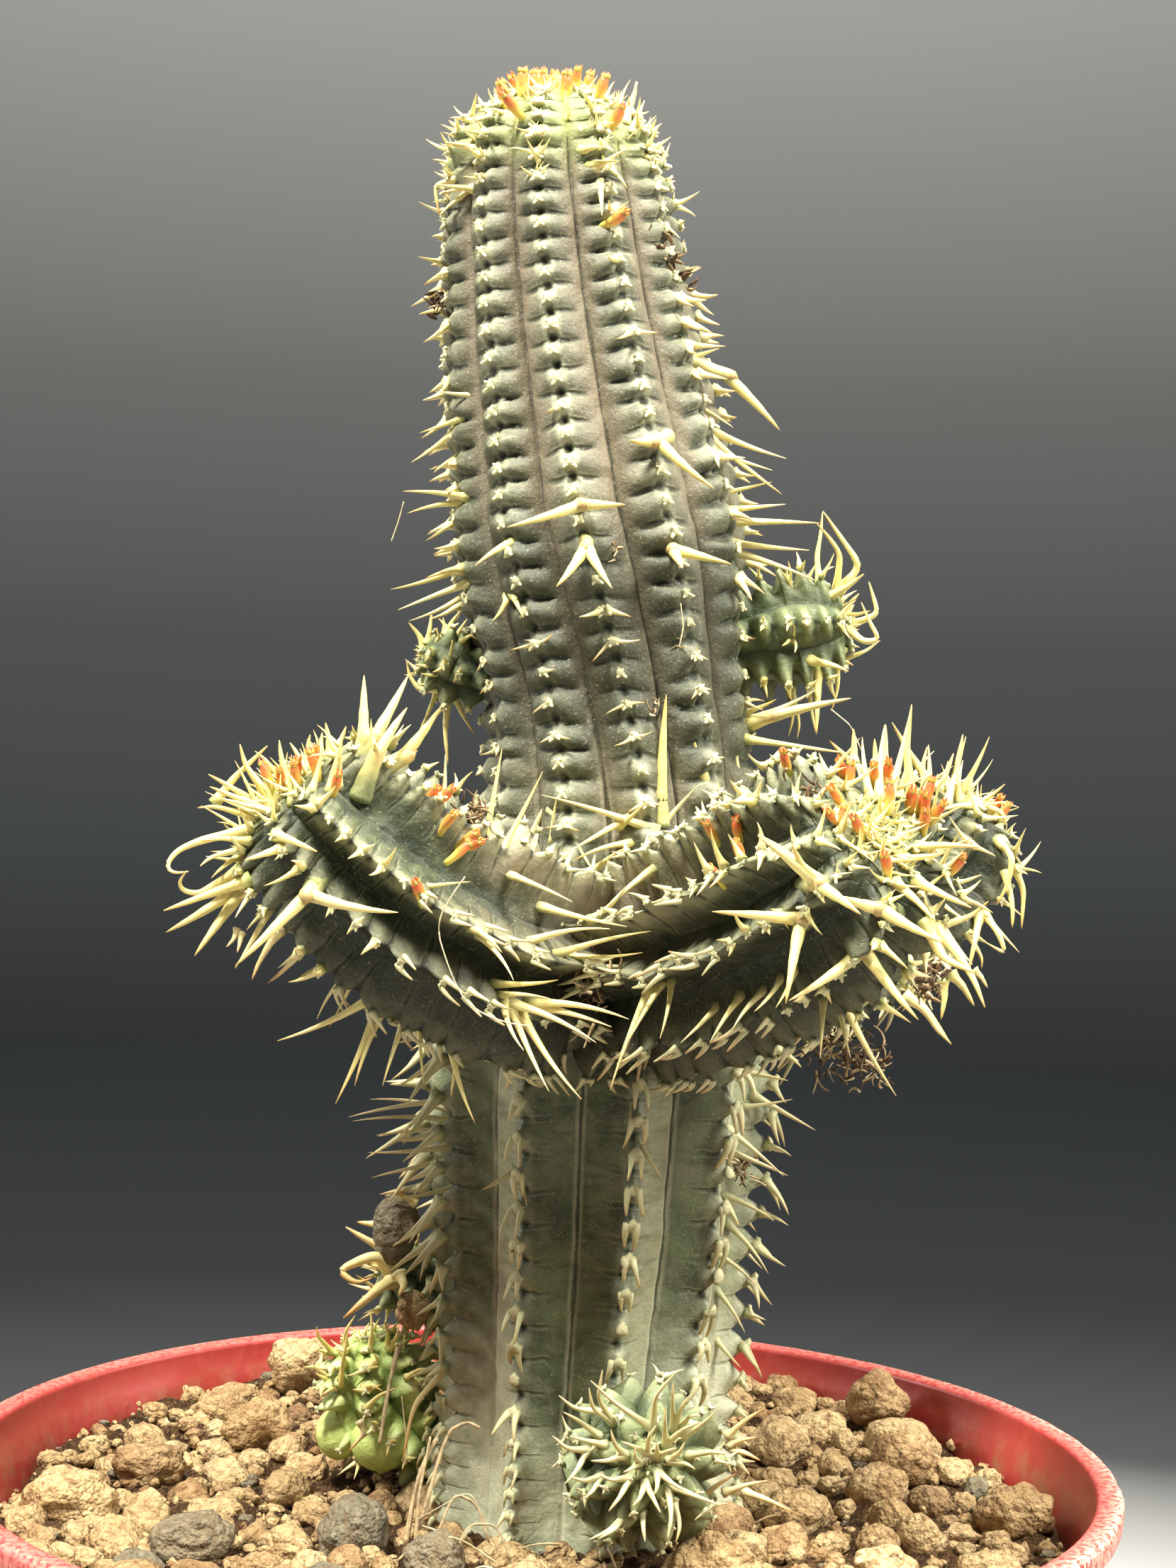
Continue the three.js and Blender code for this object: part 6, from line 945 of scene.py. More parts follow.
def forked(buf, F_, fat=True):
    """a fleshy stalk that narrows into long spines"""
    foot, knee, tips = rest_on(np.array(F_[0]), 7.0, 0.5), np.array(F_[1]), [np.array(t) for t in F_[2:]]
    ax = unit(knee - foot)
    start = foot - ax * 1.6
    n = 9
    u = np.linspace(0, 1, n)
    pts = start + (knee + ax * 0.6 - start) * u[:, None]
    rad = ((0.85 if fat else 0.45) * (1 - u) ** 1.6 + (1.2 if fat else 1.05)) * (1 + 0.05 * np.sin(u * 17))
    w = sstep(u, 0.95, 0.25)
    sweep(buf, pts, rad, 12, rnd=0.4, age=0.0, stk=np.concatenate([np.repeat(w, 12), [1, w[-1]]]) * (0.95 if fat else 0.4))
    for t in tips:
        d = t - knee
        L = np.linalg.norm(d)
        s0 = knee - ax * 1.2
        mid = knee + d * 0.45 + ax * L * (0.14 if len(tips) > 1 else 0.03) + rng.standard_normal(3) * L * 0.02
        q = bezier(s0, mid, t, 14)
        v = np.linspace(0, 1, 14)
        rr = 1.15 * ((1 - v) ** 0.75 * 0.93 + 0.05) * (1 + 0.05 * np.sin(v * 23 + rng.random() * 6))
        sweep(buf, q, rr, 9, rnd=rng.random() * 0.6, age=0.0, stk=np.concatenate([np.repeat(0.55 * sstep(v, 0.3, 0.0), 9), [0.5, 0]]))

straws = Buf()
for x, y, z, tx, ty, tz, r in SINGLES:
    f, t = rest_on(np.array([x, y, z])), np.array([tx, ty, tz])
    a = 0.05 if z > 290 else (0.12 if z > 222 else 0.5)
    L = np.linalg.norm(t - f)
    spine(straws if z > 222 else sp_low, f, t, r * 0.9, rng.uniform(0.03, 0.12), age=a, seg=9, fl=1.7)
straws.make("long_straw_spines", spine_yellow, "spine")
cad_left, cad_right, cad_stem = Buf(), Buf(), Buf()
for i, F_ in enumerate(FORKED):
    forked(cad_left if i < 6 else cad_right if 9 <= i <= 12 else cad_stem, F_, i < 6 or 9 <= i <= 12)
fork_names = ["forked_spine_%02d" % (i + 1) for i in range(18)]
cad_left.make("left_arm_forked_spines", spine_yellow, "spine", tuple(fork_names[:6]))
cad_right.make("right_arm_forked_spines", spine_yellow, "spine", tuple(fork_names[9:13]))
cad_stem.make("stem_forked_spines", spine_yellow, "spine", tuple(fork_names[6:9] + fork_names[13:]))

kinked = {}
WHERE = dict(ur=pups["offset_upper_right"], ul=pups["offset_upper_left"], la=arms["left_arm"], lt=arms["left_arm"], ra=arms["right_arm"], rb=arms["rear_arm"],
             bl=pups["offset_back_left"], bf=pups["offset_base_front"], bs=pups["offset_base_left"], sl=stem, cr=stem)
for pts, r0, w in KINKED:
    q = [np.array(v, float) for v in pts]
    q[0] = WHERE[w].snap(q[0], 5.0, 0.8)
    bent(kinked.setdefault(w, Buf()), q, r0, age=dict(ur=0.0, ul=0.0, la=0.0, ra=0.1, rb=0.1, bl=0.3, bf=0.12, bs=0.0, sl=0.55, lt=0.5, cr=0.15)[w])
def kmake(keys, name, mat):
    b = Buf()
    for k in keys:
        s_ = kinked[k]
        off = b.n
        b.V += s_.V; b.Q += [q + off for q in s_.Q]; b.T += [q + off for q in s_.T]
        for a_k, a_v in s_.A.items():
            b.A.setdefault(a_k, []).extend(a_v)
        b.n += s_.n
    b.make(name, mat, "spine")
kmake(["ur"], "upper_right_bent_spines", spine_yellow)
kmake(["ul"], "upper_left_bent_spines", spine_yellow)
kmake(["la"], "left_arm_bent_spines", spine_yellow)
kmake(["ra"], "right_arm_bent_spines", spine_yellow)
kmake(["rb"], "rear_arm_bent_spines", spine_yellow)
kmake(["bl", "lt", "sl", "cr"], "old_bent_spines", spine_tan)
kmake(["bf"], "base_front_bent_spines", spine_green)
kmake(["bs"], "base_left_bent_spines", spine_yellow)

def arm_dress(nm, A, long_=1.0):
    ar, sp, tan = Buf(), Buf(), Buf()
    for s in A.sites():
        u, p = s["u"], s["p"]
        if u < 0.36 and s["n"][2] > 0.25 and rng.random() < 0.5:
            continue
        if np.hypot(p[0] - np.interp(p[2], STEM[:, 2], STEM[:, 0]), p[1] - 5) < 25.5:
            continue
        free = clear_of(p, 2.4)
        if u > 0.86:
            areole(ar, s, 0.6, True, 0.0)
            if rng.random() < 0.75:
                pair(sp, s, rng.uniform(3.4, 6.6) * long_, 38, -0.3, 0.42, age=0.0, jitter=0.3)
            prickles(sp, s, 1.8, 2, 0.22, 0.0)
        elif u > 0.6:
            areole(ar, s, 0.64, True, 0.25, 0.8)
            if free and rng.random() < 0.3:
                pair(sp, s, rng.uniform(3.6, 6.6) * long_, 46, -0.1, 0.55, age=0.05, jitter=0.25, both=0.9)
            elif rng.random() < 0.7:
                pair(sp, s, rng.uniform(1.5, 2.4), 46, 0.1, 0.42, age=0.1, jitter=0.2)
        else:
            areole(ar, s, 0.62, True, 0.5, 0.7)
            if free and s["n"][2] < 0.3:
                staple(tan, s, rng.uniform(3.0, 4.8) * long_, 0.4, 0.3, out=0.7)
            elif free and rng.random() < 0.5:
                pair(tan, s, rng.uniform(2.0, 4.0) * long_, 46, 0.3, 0.44, age=0.4, jitter=0.25, both=0.9)
    # growing point
    tip, dirn = A.C[-1], A.T[-1]
    a, b, t = frame_of(dirn)
    for k in range(46):
        th, rr = rng.random() * 2 * np.pi, 7.0 * math.sqrt(rng.random())
        f = A.snap(tip + (a * math.cos(th) + b * math.sin(th)) * rr - dirn * (0.04 * rr ** 2))
        d = unit(dirn + (a * math.cos(th) + b * math.sin(th)) * rr / 7 * 0.8 + rng.standard_normal(3) * 0.3)
        spine(sp, f - d * 0.4, f + d * rng.uniform(1.4, 4.2), rng.uniform(0.26, 0.4), 0.12, age=0.0, seg=5, sides=5)
    ar.make(nm + "_areoles", areole_mat, "spine")
    sp.make(nm + "_young_spines", spine_yellow, "spine")
    tan.make(nm + "_old_spines", spine_green, "spine")

arm_dress("left_arm", arms["left_arm"])
arm_dress("right_arm", arms["right_arm"])
arm_dress("rear_arm", arms["rear_arm"], 1.25)
for nm, A in pups.items():
    ar, sp = Buf(), Buf()
    spec = dict(offset_upper_left=(1.6, 3.2, 0.0, 0.7), offset_upper_right=(2.0, 4.5, 0.0, 0.6), offset_base_front=(2.0, 3.6, 0.2, 0.2), offset_base_left=(2.0, 4.0, 0.0, 0.8), offset_back_left=(3.0, 6.0, 0.3, 0.8))[nm]
    for s in A.sites():
        p = s["p"]
        if np.hypot(p[0] - np.interp(p[2], STEM[:, 2], STEM[:, 0]), p[1] - 5) < 24 or p[2] < 141:
            continue
        areole(ar, s, 0.6, True, 0.3, 0.8)
        if rng.random() < spec[3] and clear_of(p, 1.8):
            pair(sp, s, rng.uniform(spec[0], spec[1]), 42, -0.05, 0.46, age=spec[2], jitter=0.3)
    tip, dirn = A.C[-1], A.T[-1]
    a, b, t = frame_of(dirn)
    for k in range(16):
        th, rr = rng.random() * 2 * np.pi, OFFSETS[nm]["r"] * 0.4 * math.sqrt(rng.random())
        f = A.snap(tip + (a * math.cos(th) + b * math.sin(th)) * rr - dirn * (0.05 * rr ** 2))
        d = unit(dirn + (a * math.cos(th) + b * math.sin(th)) * rr / OFFSETS[nm]["r"] * 1.8 + rng.standard_normal(3) * 0.3)
        spine(sp, f - d * 0.3, f + d * rng.uniform(1.0, spec[1] * 0.5), rng.uniform(0.24, 0.36), 0.12, age=spec[2], seg=5, sides=5)
    ar.make(nm + "_areoles", areole_mat, "spine")
    sp.make(nm + "_spines", spine_tan if nm == "offset_back_left" else spine_green if nm == "offset_base_front" else spine_yellow, "spine")
ar_stem.make("stem_areoles", areole_mat, "spine")
sp_up.make("stem_upper_spines", spine_tan, "spine")
sp_low.make("stem_lower_spines", spine_green, "spine")
sp_crown.make("crown_spines", spine_yellow, "spine")

def bud(buf, foot, top, r=1.25, rnd=None):
    foot, top = np.asarray(foot, float), np.asarray(top, float)
    d = top - foot
    L = np.linalg.norm(d)
    rnd = rng.random() if rnd is None else rnd
    u = np.array([0, 0.12, 0.26, 0.4, 0.55, 0.7, 0.83, 0.92, 0.98])
    rad = 0.74 * r * np.array([0.62, 0.78, 0.82, 0.94, 1.04, 1.04, 0.94, 0.74, 0.42]) * rng.uniform(0.85, 1.1)
    a, b, t = frame_of(d)
    w = a * rng.uniform(-0.05, 0.05) + b * rng.uniform(-0.05, 0.05)
    pts = foot - t * 0.6 + d * u[:, None] * (1 + 0.6 / L) + np.sin(u * np.pi)[:, None] * w * L
    sweep(buf, pts, rad, 10, rnd=rnd)
    # shrivelled lobes at the mouth
    for k in range(4):
        th = k * np.pi / 2 + rng.random()
        o = a * math.cos(th) + b * math.sin(th)
        q = np.array([pts[-2] + o * rad[-2] * 0.6, pts[-1] + o * r * 0.45 + t * 0.2, pts[-1] + o * r * rng.uniform(0.2, 0.6) + t * rng.uniform(0.4, 0.9)])
        sweep(buf, q, [0.32 * r, 0.26 * r, 0.1 * r], 5, rnd=rnd)

def set_bud(buf, body, f, t, r):
    f, t = np.array(f, float), np.array(t, float)
    q = body.snap(f, 7.0, 0.2)
    bud(buf, q, q + (t - f), r)
crown_b, left_b, right_b, rear_b = Buf(), Buf(), Buf(), Buf()
for i, (f, t) in enumerate(BUDS):
    if i < 5:
        bud(crown_b, stem.snap(np.array(f) + [0, -5, 0], 6.0, 0.2), stem.snap(np.array(f) + [0, -5, 0], 6.0, 0.2) + (np.array(t) - np.array(f)) * 0.86, 1.5)
    else:
        bud(left_b if i < 8 else right_b, f, t, 1.1)
for x, y, z, tx, ty, tz in CROWN_BUDS:
    o = np.array([0, -5 if z > 370 else 0, 0])
    bud(crown_b, stem.snap(np.array([x, y, z]) + o, 6.0, 0.2), np.array([tx, ty, tz]) + o, 1.2)
for k in range(15):
    t, rr = rng.random() * 2 * np.pi, 9.5 * math.sqrt(rng.uniform(0.15, 1))
    f = np.array([STEM_TIP[0] + rr * math.cos(t), 8 + abs(rr * math.sin(t)), 385.0])
    d = unit(np.array([0.35 * math.cos(t), 0.35 * math.sin(t), 1.0]) + rng.standard_normal(3) * 0.12)
    set_bud(crown_b, stem, f, f + d * rng.uniform(3.0, 4.4), rng.uniform(1.1, 1.45))
for x, y, z, tx, ty, tz, w in MORE_BUDS:
    set_bud({"l": left_b, "r": right_b, "b": rear_b}[w], arms[{"l": "left_arm", "r": "right_arm", "b": "rear_arm"}[w]], (x, y, z), (tx, ty, tz), 1.05)
bn = ["flower_bud_%02d" % (i + 1) for i in range(12)]
crown_b.make("crown_flower_buds", bud_mat, "bud", tuple(bn[:5]))
left_b.make("left_arm_flower_buds", bud_mat, "bud", tuple(bn[5:8]))
right_b.make("right_arm_flower_buds", bud_mat, "bud", tuple(bn[8:]))
rear_b.make("rear_arm_flower_buds", bud_mat, "bud")

# ------------------------------------------------------------------ pot
POT_RIM_R, POT_H, LIP_W, LIP_H, WALL, FOOT_R, FLOOR_Z, SOIL_Z = 100.0, 150.0, 4.7, 4.6, 2.2, 72.5, 5.0, 137.4
def outer(z): return FOOT_R + (POT_RIM_R - 2.8 - FOOT_R) * z / POT_H
def inner(z): return outer(z) - WALL
def rise(y): return 5.5 * sstep(y, 0, 75)
lz = POT_H - LIP_H
prof = [(0.01, 2.6), (20, 2.6), (44, 2.6), (FOOT_R - 6.4, 2.6), (FOOT_R - 5.9, 2.4), (FOOT_R - 5.4, 1.0), (FOOT_R - 5.1, 0.2), (FOOT_R - 4.5, 0), (FOOT_R - 1.4, 0), (FOOT_R - 0.5, 0.3), (outer(1.2), 1.2)]
prof += [(outer(z), z) for z in (4, 7, 7.6)] + [(outer(8.4) + 0.35, 8.4), (outer(10) + 0.35, 10), (outer(10.8), 10.8)]
prof += [(outer(z), z) for z in np.linspace(16, 118, 12)]
prof += [(outer(120), 120), (outer(120.8) + 0.55, 120.8), (outer(123) + 0.6, 123), (outer(124) + 0.6, 124)]
prof += [(outer(z) + 0.6, z) for z in (130, 137, 143)] + [(outer(lz - 1) + 0.6, lz - 1), (outer(lz - 0.3) + 0.8, lz - 0.3)]
for a_ in np.linspace(-90, 0, 6):
    prof.append((POT_RIM_R - 1.3 + 1.3 * math.cos(math.radians(a_)), lz + 1.3 + 1.3 * math.sin(math.radians(a_))))
for a_ in np.linspace(0, 90, 6):
    prof.append((POT_RIM_R - 1.3 + 1.3 * math.cos(math.radians(a_)), POT_H - 1.3 + 1.3 * math.sin(math.radians(a_))))
for a_ in np.linspace(90, 180, 6):
    prof.append((POT_RIM_R - LIP_W + 1.1 + 1.1 * math.cos(math.radians(a_)), POT_H - 1.1 + 1.1 * math.sin(math.radians(a_))))
prof += [(POT_RIM_R - LIP_W - 0.05, POT_H - 2.4), (inner(lz - 1) + 0.3, lz - 0.6), (inner(lz - 3), lz - 3)]
prof += [(inner(z), z) for z in (140, 136, 132, 120, 100, 70, 40, FLOOR_Z + 3)] + [(inner(FLOOR_Z) - 0.7, FLOOR_Z + 0.8), (inner(FLOOR_Z) - 2, FLOOR_Z), (44, FLOOR_Z), (20, FLOOR_Z), (0.01, FLOOR_Z)]
prof = np.array(prof)
NA = 160
th = np.arange(NA) / NA * 2 * np.pi
Vp = np.stack([prof[:, None, 0] * np.cos(th)[None], prof[:, None, 0] * np.sin(th)[None], np.repeat(prof[:, 1:], NA, 1)], -1)
lipm = sstep(prof[:, 1], lz, lz + 1)[:, None] * sstep(prof[:, 0], 98, 99.6)[:, None]
rough = fbm(Vp, 2.2, 51, 3)
right_side = 0.35 + 0.65 * sstep(Vp[..., 0], 40, 85)
rad = np.linalg.norm(Vp[..., :2], axis=-1, keepdims=True)
dirs = Vp[..., :2] / np.maximum(rad, 1e-6)
inw = -np.abs(rough) * 0.42 * lipm * right_side
wavy = 0.25 * np.sin(th * 3 + 0.6)[None, :] * sstep(prof[:, 1], 60, 150)[:, None] * 0.6
Vp[..., :2] += dirs * (inw + np.minimum(wavy, 0.0))[..., None]
wear = (lipm * right_side * 1.0 + 0.25 * sstep(prof[:, 1], POT_H - 0.7, POT_H)[:, None]) * np.ones_like(rough)
inside = ((prof[:, 0] < 95.4) & (prof[:, 1] > 20) & (np.arange(len(prof)) > 40))[:, None] * 1.0
dirt = inside * sstep(Vp[..., 2], 149, 139) + 0.35 * sstep(prof[:, 1], 30, 0)[:, None]
npf = len(prof)
idx = np.arange(npf * NA).reshape(npf, NA)
nx = np.roll(idx, -1, 1)
Qp = np.stack([idx[:-1], nx[:-1], nx[1:], idx[1:]], -1).reshape(-1, 4)
b0, b1 = npf * NA, npf * NA + 1
Vall = np.vstack([Vp.reshape(-1, 3), [[0, 0, prof[0, 1]]], [[0, 0, prof[-1, 1]]]])
Tp = np.concatenate([np.stack([np.full(NA, b0), nx[0], idx[0]], -1), np.stack([np.full(NA, b1), idx[-1], nx[-1]], -1)])
pot = build("pot_shell", Vall, Qp, Tp, dict(wear=np.concatenate([wear.ravel(), [0, 0]]), dirt=np.concatenate([dirt.ravel(), [0, 0]])), pot_mat, True, ("pot",))
# drain holes
cut_v, cut_q, cut_t, nn = [], [], [], 0
for k in range(6):
    cxh, cyh = 46 * math.cos(k * math.pi / 3), 46 * math.sin(k * math.pi / 3)
    t24 = np.arange(24) / 24 * 2 * np.pi
    for zz in (-3, 9):
        cut_v += [[cxh + 5 * math.cos(t), cyh + 5 * math.sin(t), zz] for t in t24]
    for j in range(24):
        j2 = (j + 1) % 24
        cut_q.append([nn + j, nn + j2, nn + 24 + j2, nn + 24 + j])
    cut_v += [[cxh, cyh, -3], [cxh, cyh, 9]]
    for j in range(24):
        j2 = (j + 1) % 24
        cut_t.append([nn + 48, nn + j2, nn + j])
        cut_t.append([nn + 49, nn + 24 + j, nn + 24 + j2])
    nn += 50
cme = bpy.data.meshes.new("cut")
cme.from_pydata([tuple(c * MM for c in v) for v in cut_v], [], [tuple(q) for q in cut_q] + [tuple(t) for t in cut_t])
cob = bpy.data.objects.new("cut", cme)
scene.collection.objects.link(cob)
bm = pot.modifiers.new("holes", "BOOLEAN")
bm.object, bm.operation, bm.solver = cob, "DIFFERENCE", "EXACT"
bpy.context.view_layer.update()
dg = bpy.context.evaluated_depsgraph_get()
me2 = bpy.data.meshes.new_from_object(pot.evaluated_get(dg))
pot.modifiers.clear()
pot.data = me2
bpy.data.objects.remove(cob)

# ------------------------------------------------------------------ mix and stones
def surface(x, y):
    r = np.hypot(x, y)
    P = np.stack([x, y, np.zeros_like(x)], -1)
    heap = 1.4 * np.exp(-(r / 40) ** 2) + 1.2 * vnoise(P, 22, 61) + 0.8 * vnoise(P, 9, 62)
    return SOIL_Z + rise(y) + heap - 0.8
nr_, na_ = (88, 210)
rr = np.concatenate([[0.03], np.linspace(0.1, 0.97, nr_ - 2), [0.985]])
t_ = np.arange(na_) / na_ * 2 * np.pi
rim_in = inner(141) - 0.6
X = rr[:, None] * rim_in * np.cos(t_)[None]
Y = rr[:, None] * rim_in * np.sin(t_)[None]
Z = surface(X, Y)
Pm = np.stack([X, Y, Z], -1)
Z = Z + 0.9 * fbm(Pm, 4.2, 71, 3) + 1.5 * (0.5 - np.abs(vnoise(Pm, 2.6, 75))) + 0.7 * (0.5 - np.abs(vnoise(Pm, 1.2, 77)))
Pm = np.stack([X, Y, Z], -1)
Vm = [Pm.reshape(-1, 3)]
idx = np.arange(nr_ * na_).reshape(nr_, na_)
nx = np.roll(idx, -1, 1)
Qm = [np.stack([idx[:-1], idx[1:], nx[1:], nx[:-1]], -1).reshape(-1, 4)]
prev = idx[-1]
base = nr_ * na_
for zz in (134.0, 90.0, 40.0, FLOOR_Z + 0.4):
    rad_ = inner(zz) - 0.5
    Vm.append(np.stack([rad_ * np.cos(t_), rad_ * np.sin(t_), np.full(na_, zz)], -1))
    cur = base + np.arange(na_)
    Qm.append(np.stack([prev, cur, np.roll(cur, -1), np.roll(prev, -1)], -1))
    prev = cur
    base += na_
Vm.append(np.array([[0, 0, float(Z[0].mean())], [0, 0, FLOOR_Z + 0.4]]))
Tm = np.concatenate([np.stack([np.full(na_, base), idx[0], nx[0]], -1), np.stack([np.full(na_, base + 1), np.roll(prev, -1), prev], -1)])
build("mix_surface", np.vstack(Vm), np.vstack(Qm), Tm, None, mix_mat, True, ("potting_mix",))

_ico = {}
def ico(sub):
    if sub not in _ico:
        import bmesh
        b_ = bmesh.new()
        bmesh.ops.create_icosphere(b_, subdivisions=sub, radius=1.0)
        V = np.array([v.co[:] for v in b_.verts])
        T = np.array([[v.index for v in f.verts] for f in b_.faces])
        b_.free()
        _ico[sub] = (V, T)
    return _ico[sub]

def stone(buf, c, abc, turn, seed, sub=3, grey=0.0, rough=1.0, tilt=0.2):
    V, T = ico(sub)
    g = np.random.default_rng(seed)
    P = V + seed * 3.7
    k = 1 + rough * (0.22 * vnoise(P, 0.9, seed % 97) + 0.16 * (0.45 - np.abs(vnoise(P, 0.55, 3))))
    X = V * k[:, None]
    for _ in range(3 if sub > 1 else 2):
        n = unit(g.standard_normal(3))
        h = g.uniform(0.66, 0.9)
        dd = X @ n - h
        X = X - np.where(dd > 0, dd * 0.75, 0)[:, None] * n
    if sub > 1:
        # knobbly, as grains baked together: rounded bumps with creases between them
        X = X + V * (rough * (0.24 * (np.abs(vnoise(P, 0.6, 21)) - 0.25) + (0.1 * (np.abs(vnoise(P, 0.28, 22)) - 0.25) if sub > 2 else 0)))[:, None]
    X = X * np.asarray(abc)
    a, b = math.radians(turn), g.uniform(-tilt, tilt)
    Rz = np.array([[math.cos(a), -math.sin(a), 0], [math.sin(a), math.cos(a), 0], [0, 0, 1]])
    Rx = np.array([[1, 0, 0], [0, math.cos(b), -math.sin(b)], [0, math.sin(b), math.cos(b)]])
    X = X @ (Rz @ Rx).T + np.asarray(c)
    rr_ = np.linalg.norm(X[:, :2], axis=1)
    lim = inner(np.clip(X[:, 2], 100, 150)) - 0.3
    X[:, :2] *= np.minimum(1, lim / np.maximum(rr_, 1e-6))[:, None]
    buf.add(X, None, T, rnd=g.random(), grey=grey)

big = Buf()
GREY = {2: 0.85, 3: 1.0, 6: 0.9}
placed = []
for i, (x, y, z, a, b, c, turn) in enumerate(STONES):
    zz = z + float(rise(y))
    stone(big, (x, y, zz), (a, b, c), turn, 100 + i, 5 if y < -5 else 4, GREY.get(i + 1, 0.0), 0.6 if i + 1 in GREY else 1.0)
    placed.append((x, y, max(a, b) * 0.92))
big.make("large_stones", stone_mat, "pumice", tuple("stone_%02d" % (i + 1) for i in range(16)))
wb = Buf()
for (x, y, z, a, b, c, turn), g_, sd in zip(WEDGED, (1.0, 0.25), (201, 202)):
    stone(wb, (x, y, z), (a, b, c), turn, sd, 4, g_, 0.45 if g_ > 0.5 else 1.0)
wb.make("wedged_stones", stone_mat, "grey_stone", ("wedged_stone_dark", "wedged_stone_brown"))

placed.append((8.3, 5, 24.5))
placed.append((-28, 15, 7.5))
placed.append((19, -24, 6.0))
# bare dark mix beside the foot
BARE = ((-27, -9, 6.0), (-20, -21, 5.0), (-9, -28, 4.0))
placed.extend(BARE)
def scatter(buf, n, r0, r1, sub, seed, zf=0.35, pack=0.86, greyp=0.04, tries=60):
    g = np.random.default_rng(seed)
    for k in range(n):
        r = g.uniform(r0, r1) if r1 - r0 < 1.2 else r0 + (r1 - r0) * g.random() ** 1.6
        for _ in range(tries):
            t, q = g.random() * 2 * np.pi, math.sqrt(g.random()) * (92.5 - r * 0.9)
            x, y = q * math.cos(t), q * math.sin(t)
            pl = np.array(placed)
            if np.all(np.hypot(pl[:, 0] - x, pl[:, 1] - y) > (pl[:, 2] + r) * pack):
                break
        else:
            continue
        placed.append((x, y, r))
        zz = float(surface(np.array(x), np.array(y))) + r * (zf - 0.12 + g.uniform(-0.3, 0.2))
        ab = r * g.uniform(0.9, 1.25), r * g.uniform(0.75, 1.0), r * g.uniform(0.62, 0.95)
        stone(buf, (x, y, zz), ab, g.uniform(0, 360), seed * 1000 + k, sub, 1.0 if g.random() < greyp else g.uniform(0, 0.12), tilt=0.5)

med, small = Buf(), Buf()
scatter(med, 56, 4.4, 6.6, 3, 5, 0.4, 0.9)
scatter(med, 150, 2.6, 4.4, 3, 6, 0.42, 0.86)
scatter(small, 460, 1.4, 2.6, 2, 7, 0.45, 0.78)
med.make("medium_stones", stone_mat, "pumice")
small.make("small_stones", stone_mat, "pumice")
# crumbs: small broken grains over everything
def crumbs(name, n, r0, r1, seed, lift):
    g = np.random.default_rng(seed)
    V0, T0 = ico(1)
    t, q = g.random(n * 2) * 2 * np.pi, np.sqrt(g.random(n * 2)) * 92.2
    x, y = q * np.cos(t), q * np.sin(t)
    keep = np.hypot(x - 8.3, y - 5) > 24.5
    for bx, by, br in BARE:
        keep &= (np.hypot(x - bx, y - by) > br) | (g.random(n * 2) < 0.3)
    x, y = x[keep][:n], y[keep][:n]
    n = len(x)
    r = r0 + (r1 - r0) * g.random(n) ** 2
    z = surface(x, y) + 0.9 * fbm(np.stack([x, y, surface(x, y)], -1), 4.2, 71, 3) + r * 0.3 + g.random(n) ** 2 * lift
    turn = g.random(n) * 2 * np.pi
    S = r[:, None, None] * (1 + 0.42 * g.uniform(-1, 1, (n, len(V0), 1))) * V0[None] * g.uniform(0.7, 1.2, (n, 1, 3))
    c, s = np.cos(turn)[:, None], np.sin(turn)[:, None]
    X = np.stack([c * S[..., 0] - s * S[..., 1], s * S[..., 0] + c * S[..., 1], S[..., 2]], -1) + np.stack([x, y, z], -1)[:, None, :]
    lim = inner(np.clip(X[..., 2], 100, 150)) - 0.3
    X[..., :2] *= np.minimum(1, lim / np.maximum(np.linalg.norm(X[..., :2], axis=-1), 1e-6))[..., None]
    T = T0[None] + (np.arange(n) * len(V0))[:, None, None]
    rnd = np.repeat(g.random(n), len(V0))
    grey = np.repeat((g.random(n) < 0.05) * 1.0, len(V0))
    build(name, X.reshape(-1, 3), None, T.reshape(-1, 3), dict(rnd=rnd, grey=grey), stone_mat, False)
crumbs("fine_crumbs", 2500, 0.4, 1.4, 9, 1.4)

# ------------------------------------------------------------------ debris
deb = Buf()
g = np.random.default_rng(12)
def wisps(centre, spread, n, L, r=0.16):
    for k in range(n):
        c = np.asarray(centre) + g.standard_normal(3) * spread
        d = unit(g.standard_normal(3))
        e = unit(np.cross(d, g.standard_normal(3)))
        l = L * g.uniform(0.5, 1.3)
        sweep(deb, bezier(c, c + d * l * 0.5 + e * l * 0.35, c + d * l, 6), np.linspace(r * 1.3, r * 0.6, 6) * g.uniform(0.7, 1.6), 4, rnd=g.random())
for c, sp_, n, L, r in DEBRIS:
    wisps(c, sp_, n, L, r)
# brown dried flowers that hang on the right edge, a dark one on the left
for i, c in enumerate(DRIED):
    c = np.array(c)
    for k in range(9):
        o = g.standard_normal(3) * [0.9, 0.9, 1.1]
        d = unit(g.standard_normal(3) + [0.5 if i < 4 else -0.5, -0.2, 0.2])
        l = g.uniform(1.4, 3.0)
        sweep(deb, bezier(c + o, c + o + d * l * 0.5 + g.standard_normal(3) * 0.4, c + o + d * l, 6), np.array([0.3, 0.55, 0.75, 0.7, 0.45, 0.2]) * g.uniform(0.6, 1.1), 6, flat=0.5, rnd=0.15 + 0.5 * g.random() if i < 4 else 0.1)
for pts in HAIRS:
    P_ = np.array(pts, float)
    tt = np.linspace(0, len(P_) - 1, 26)
    q = np.stack([np.interp(tt, np.arange(len(P_)), P_[:, k]) for k in range(3)], 1)
    ker = np.ones(5) / 5
    for k in range(3):
        q[2:-2, k] = np.convolve(q[:, k], ker, "valid")
    sweep(deb, q, np.full(26, 0.11), 4, rnd=0.97)
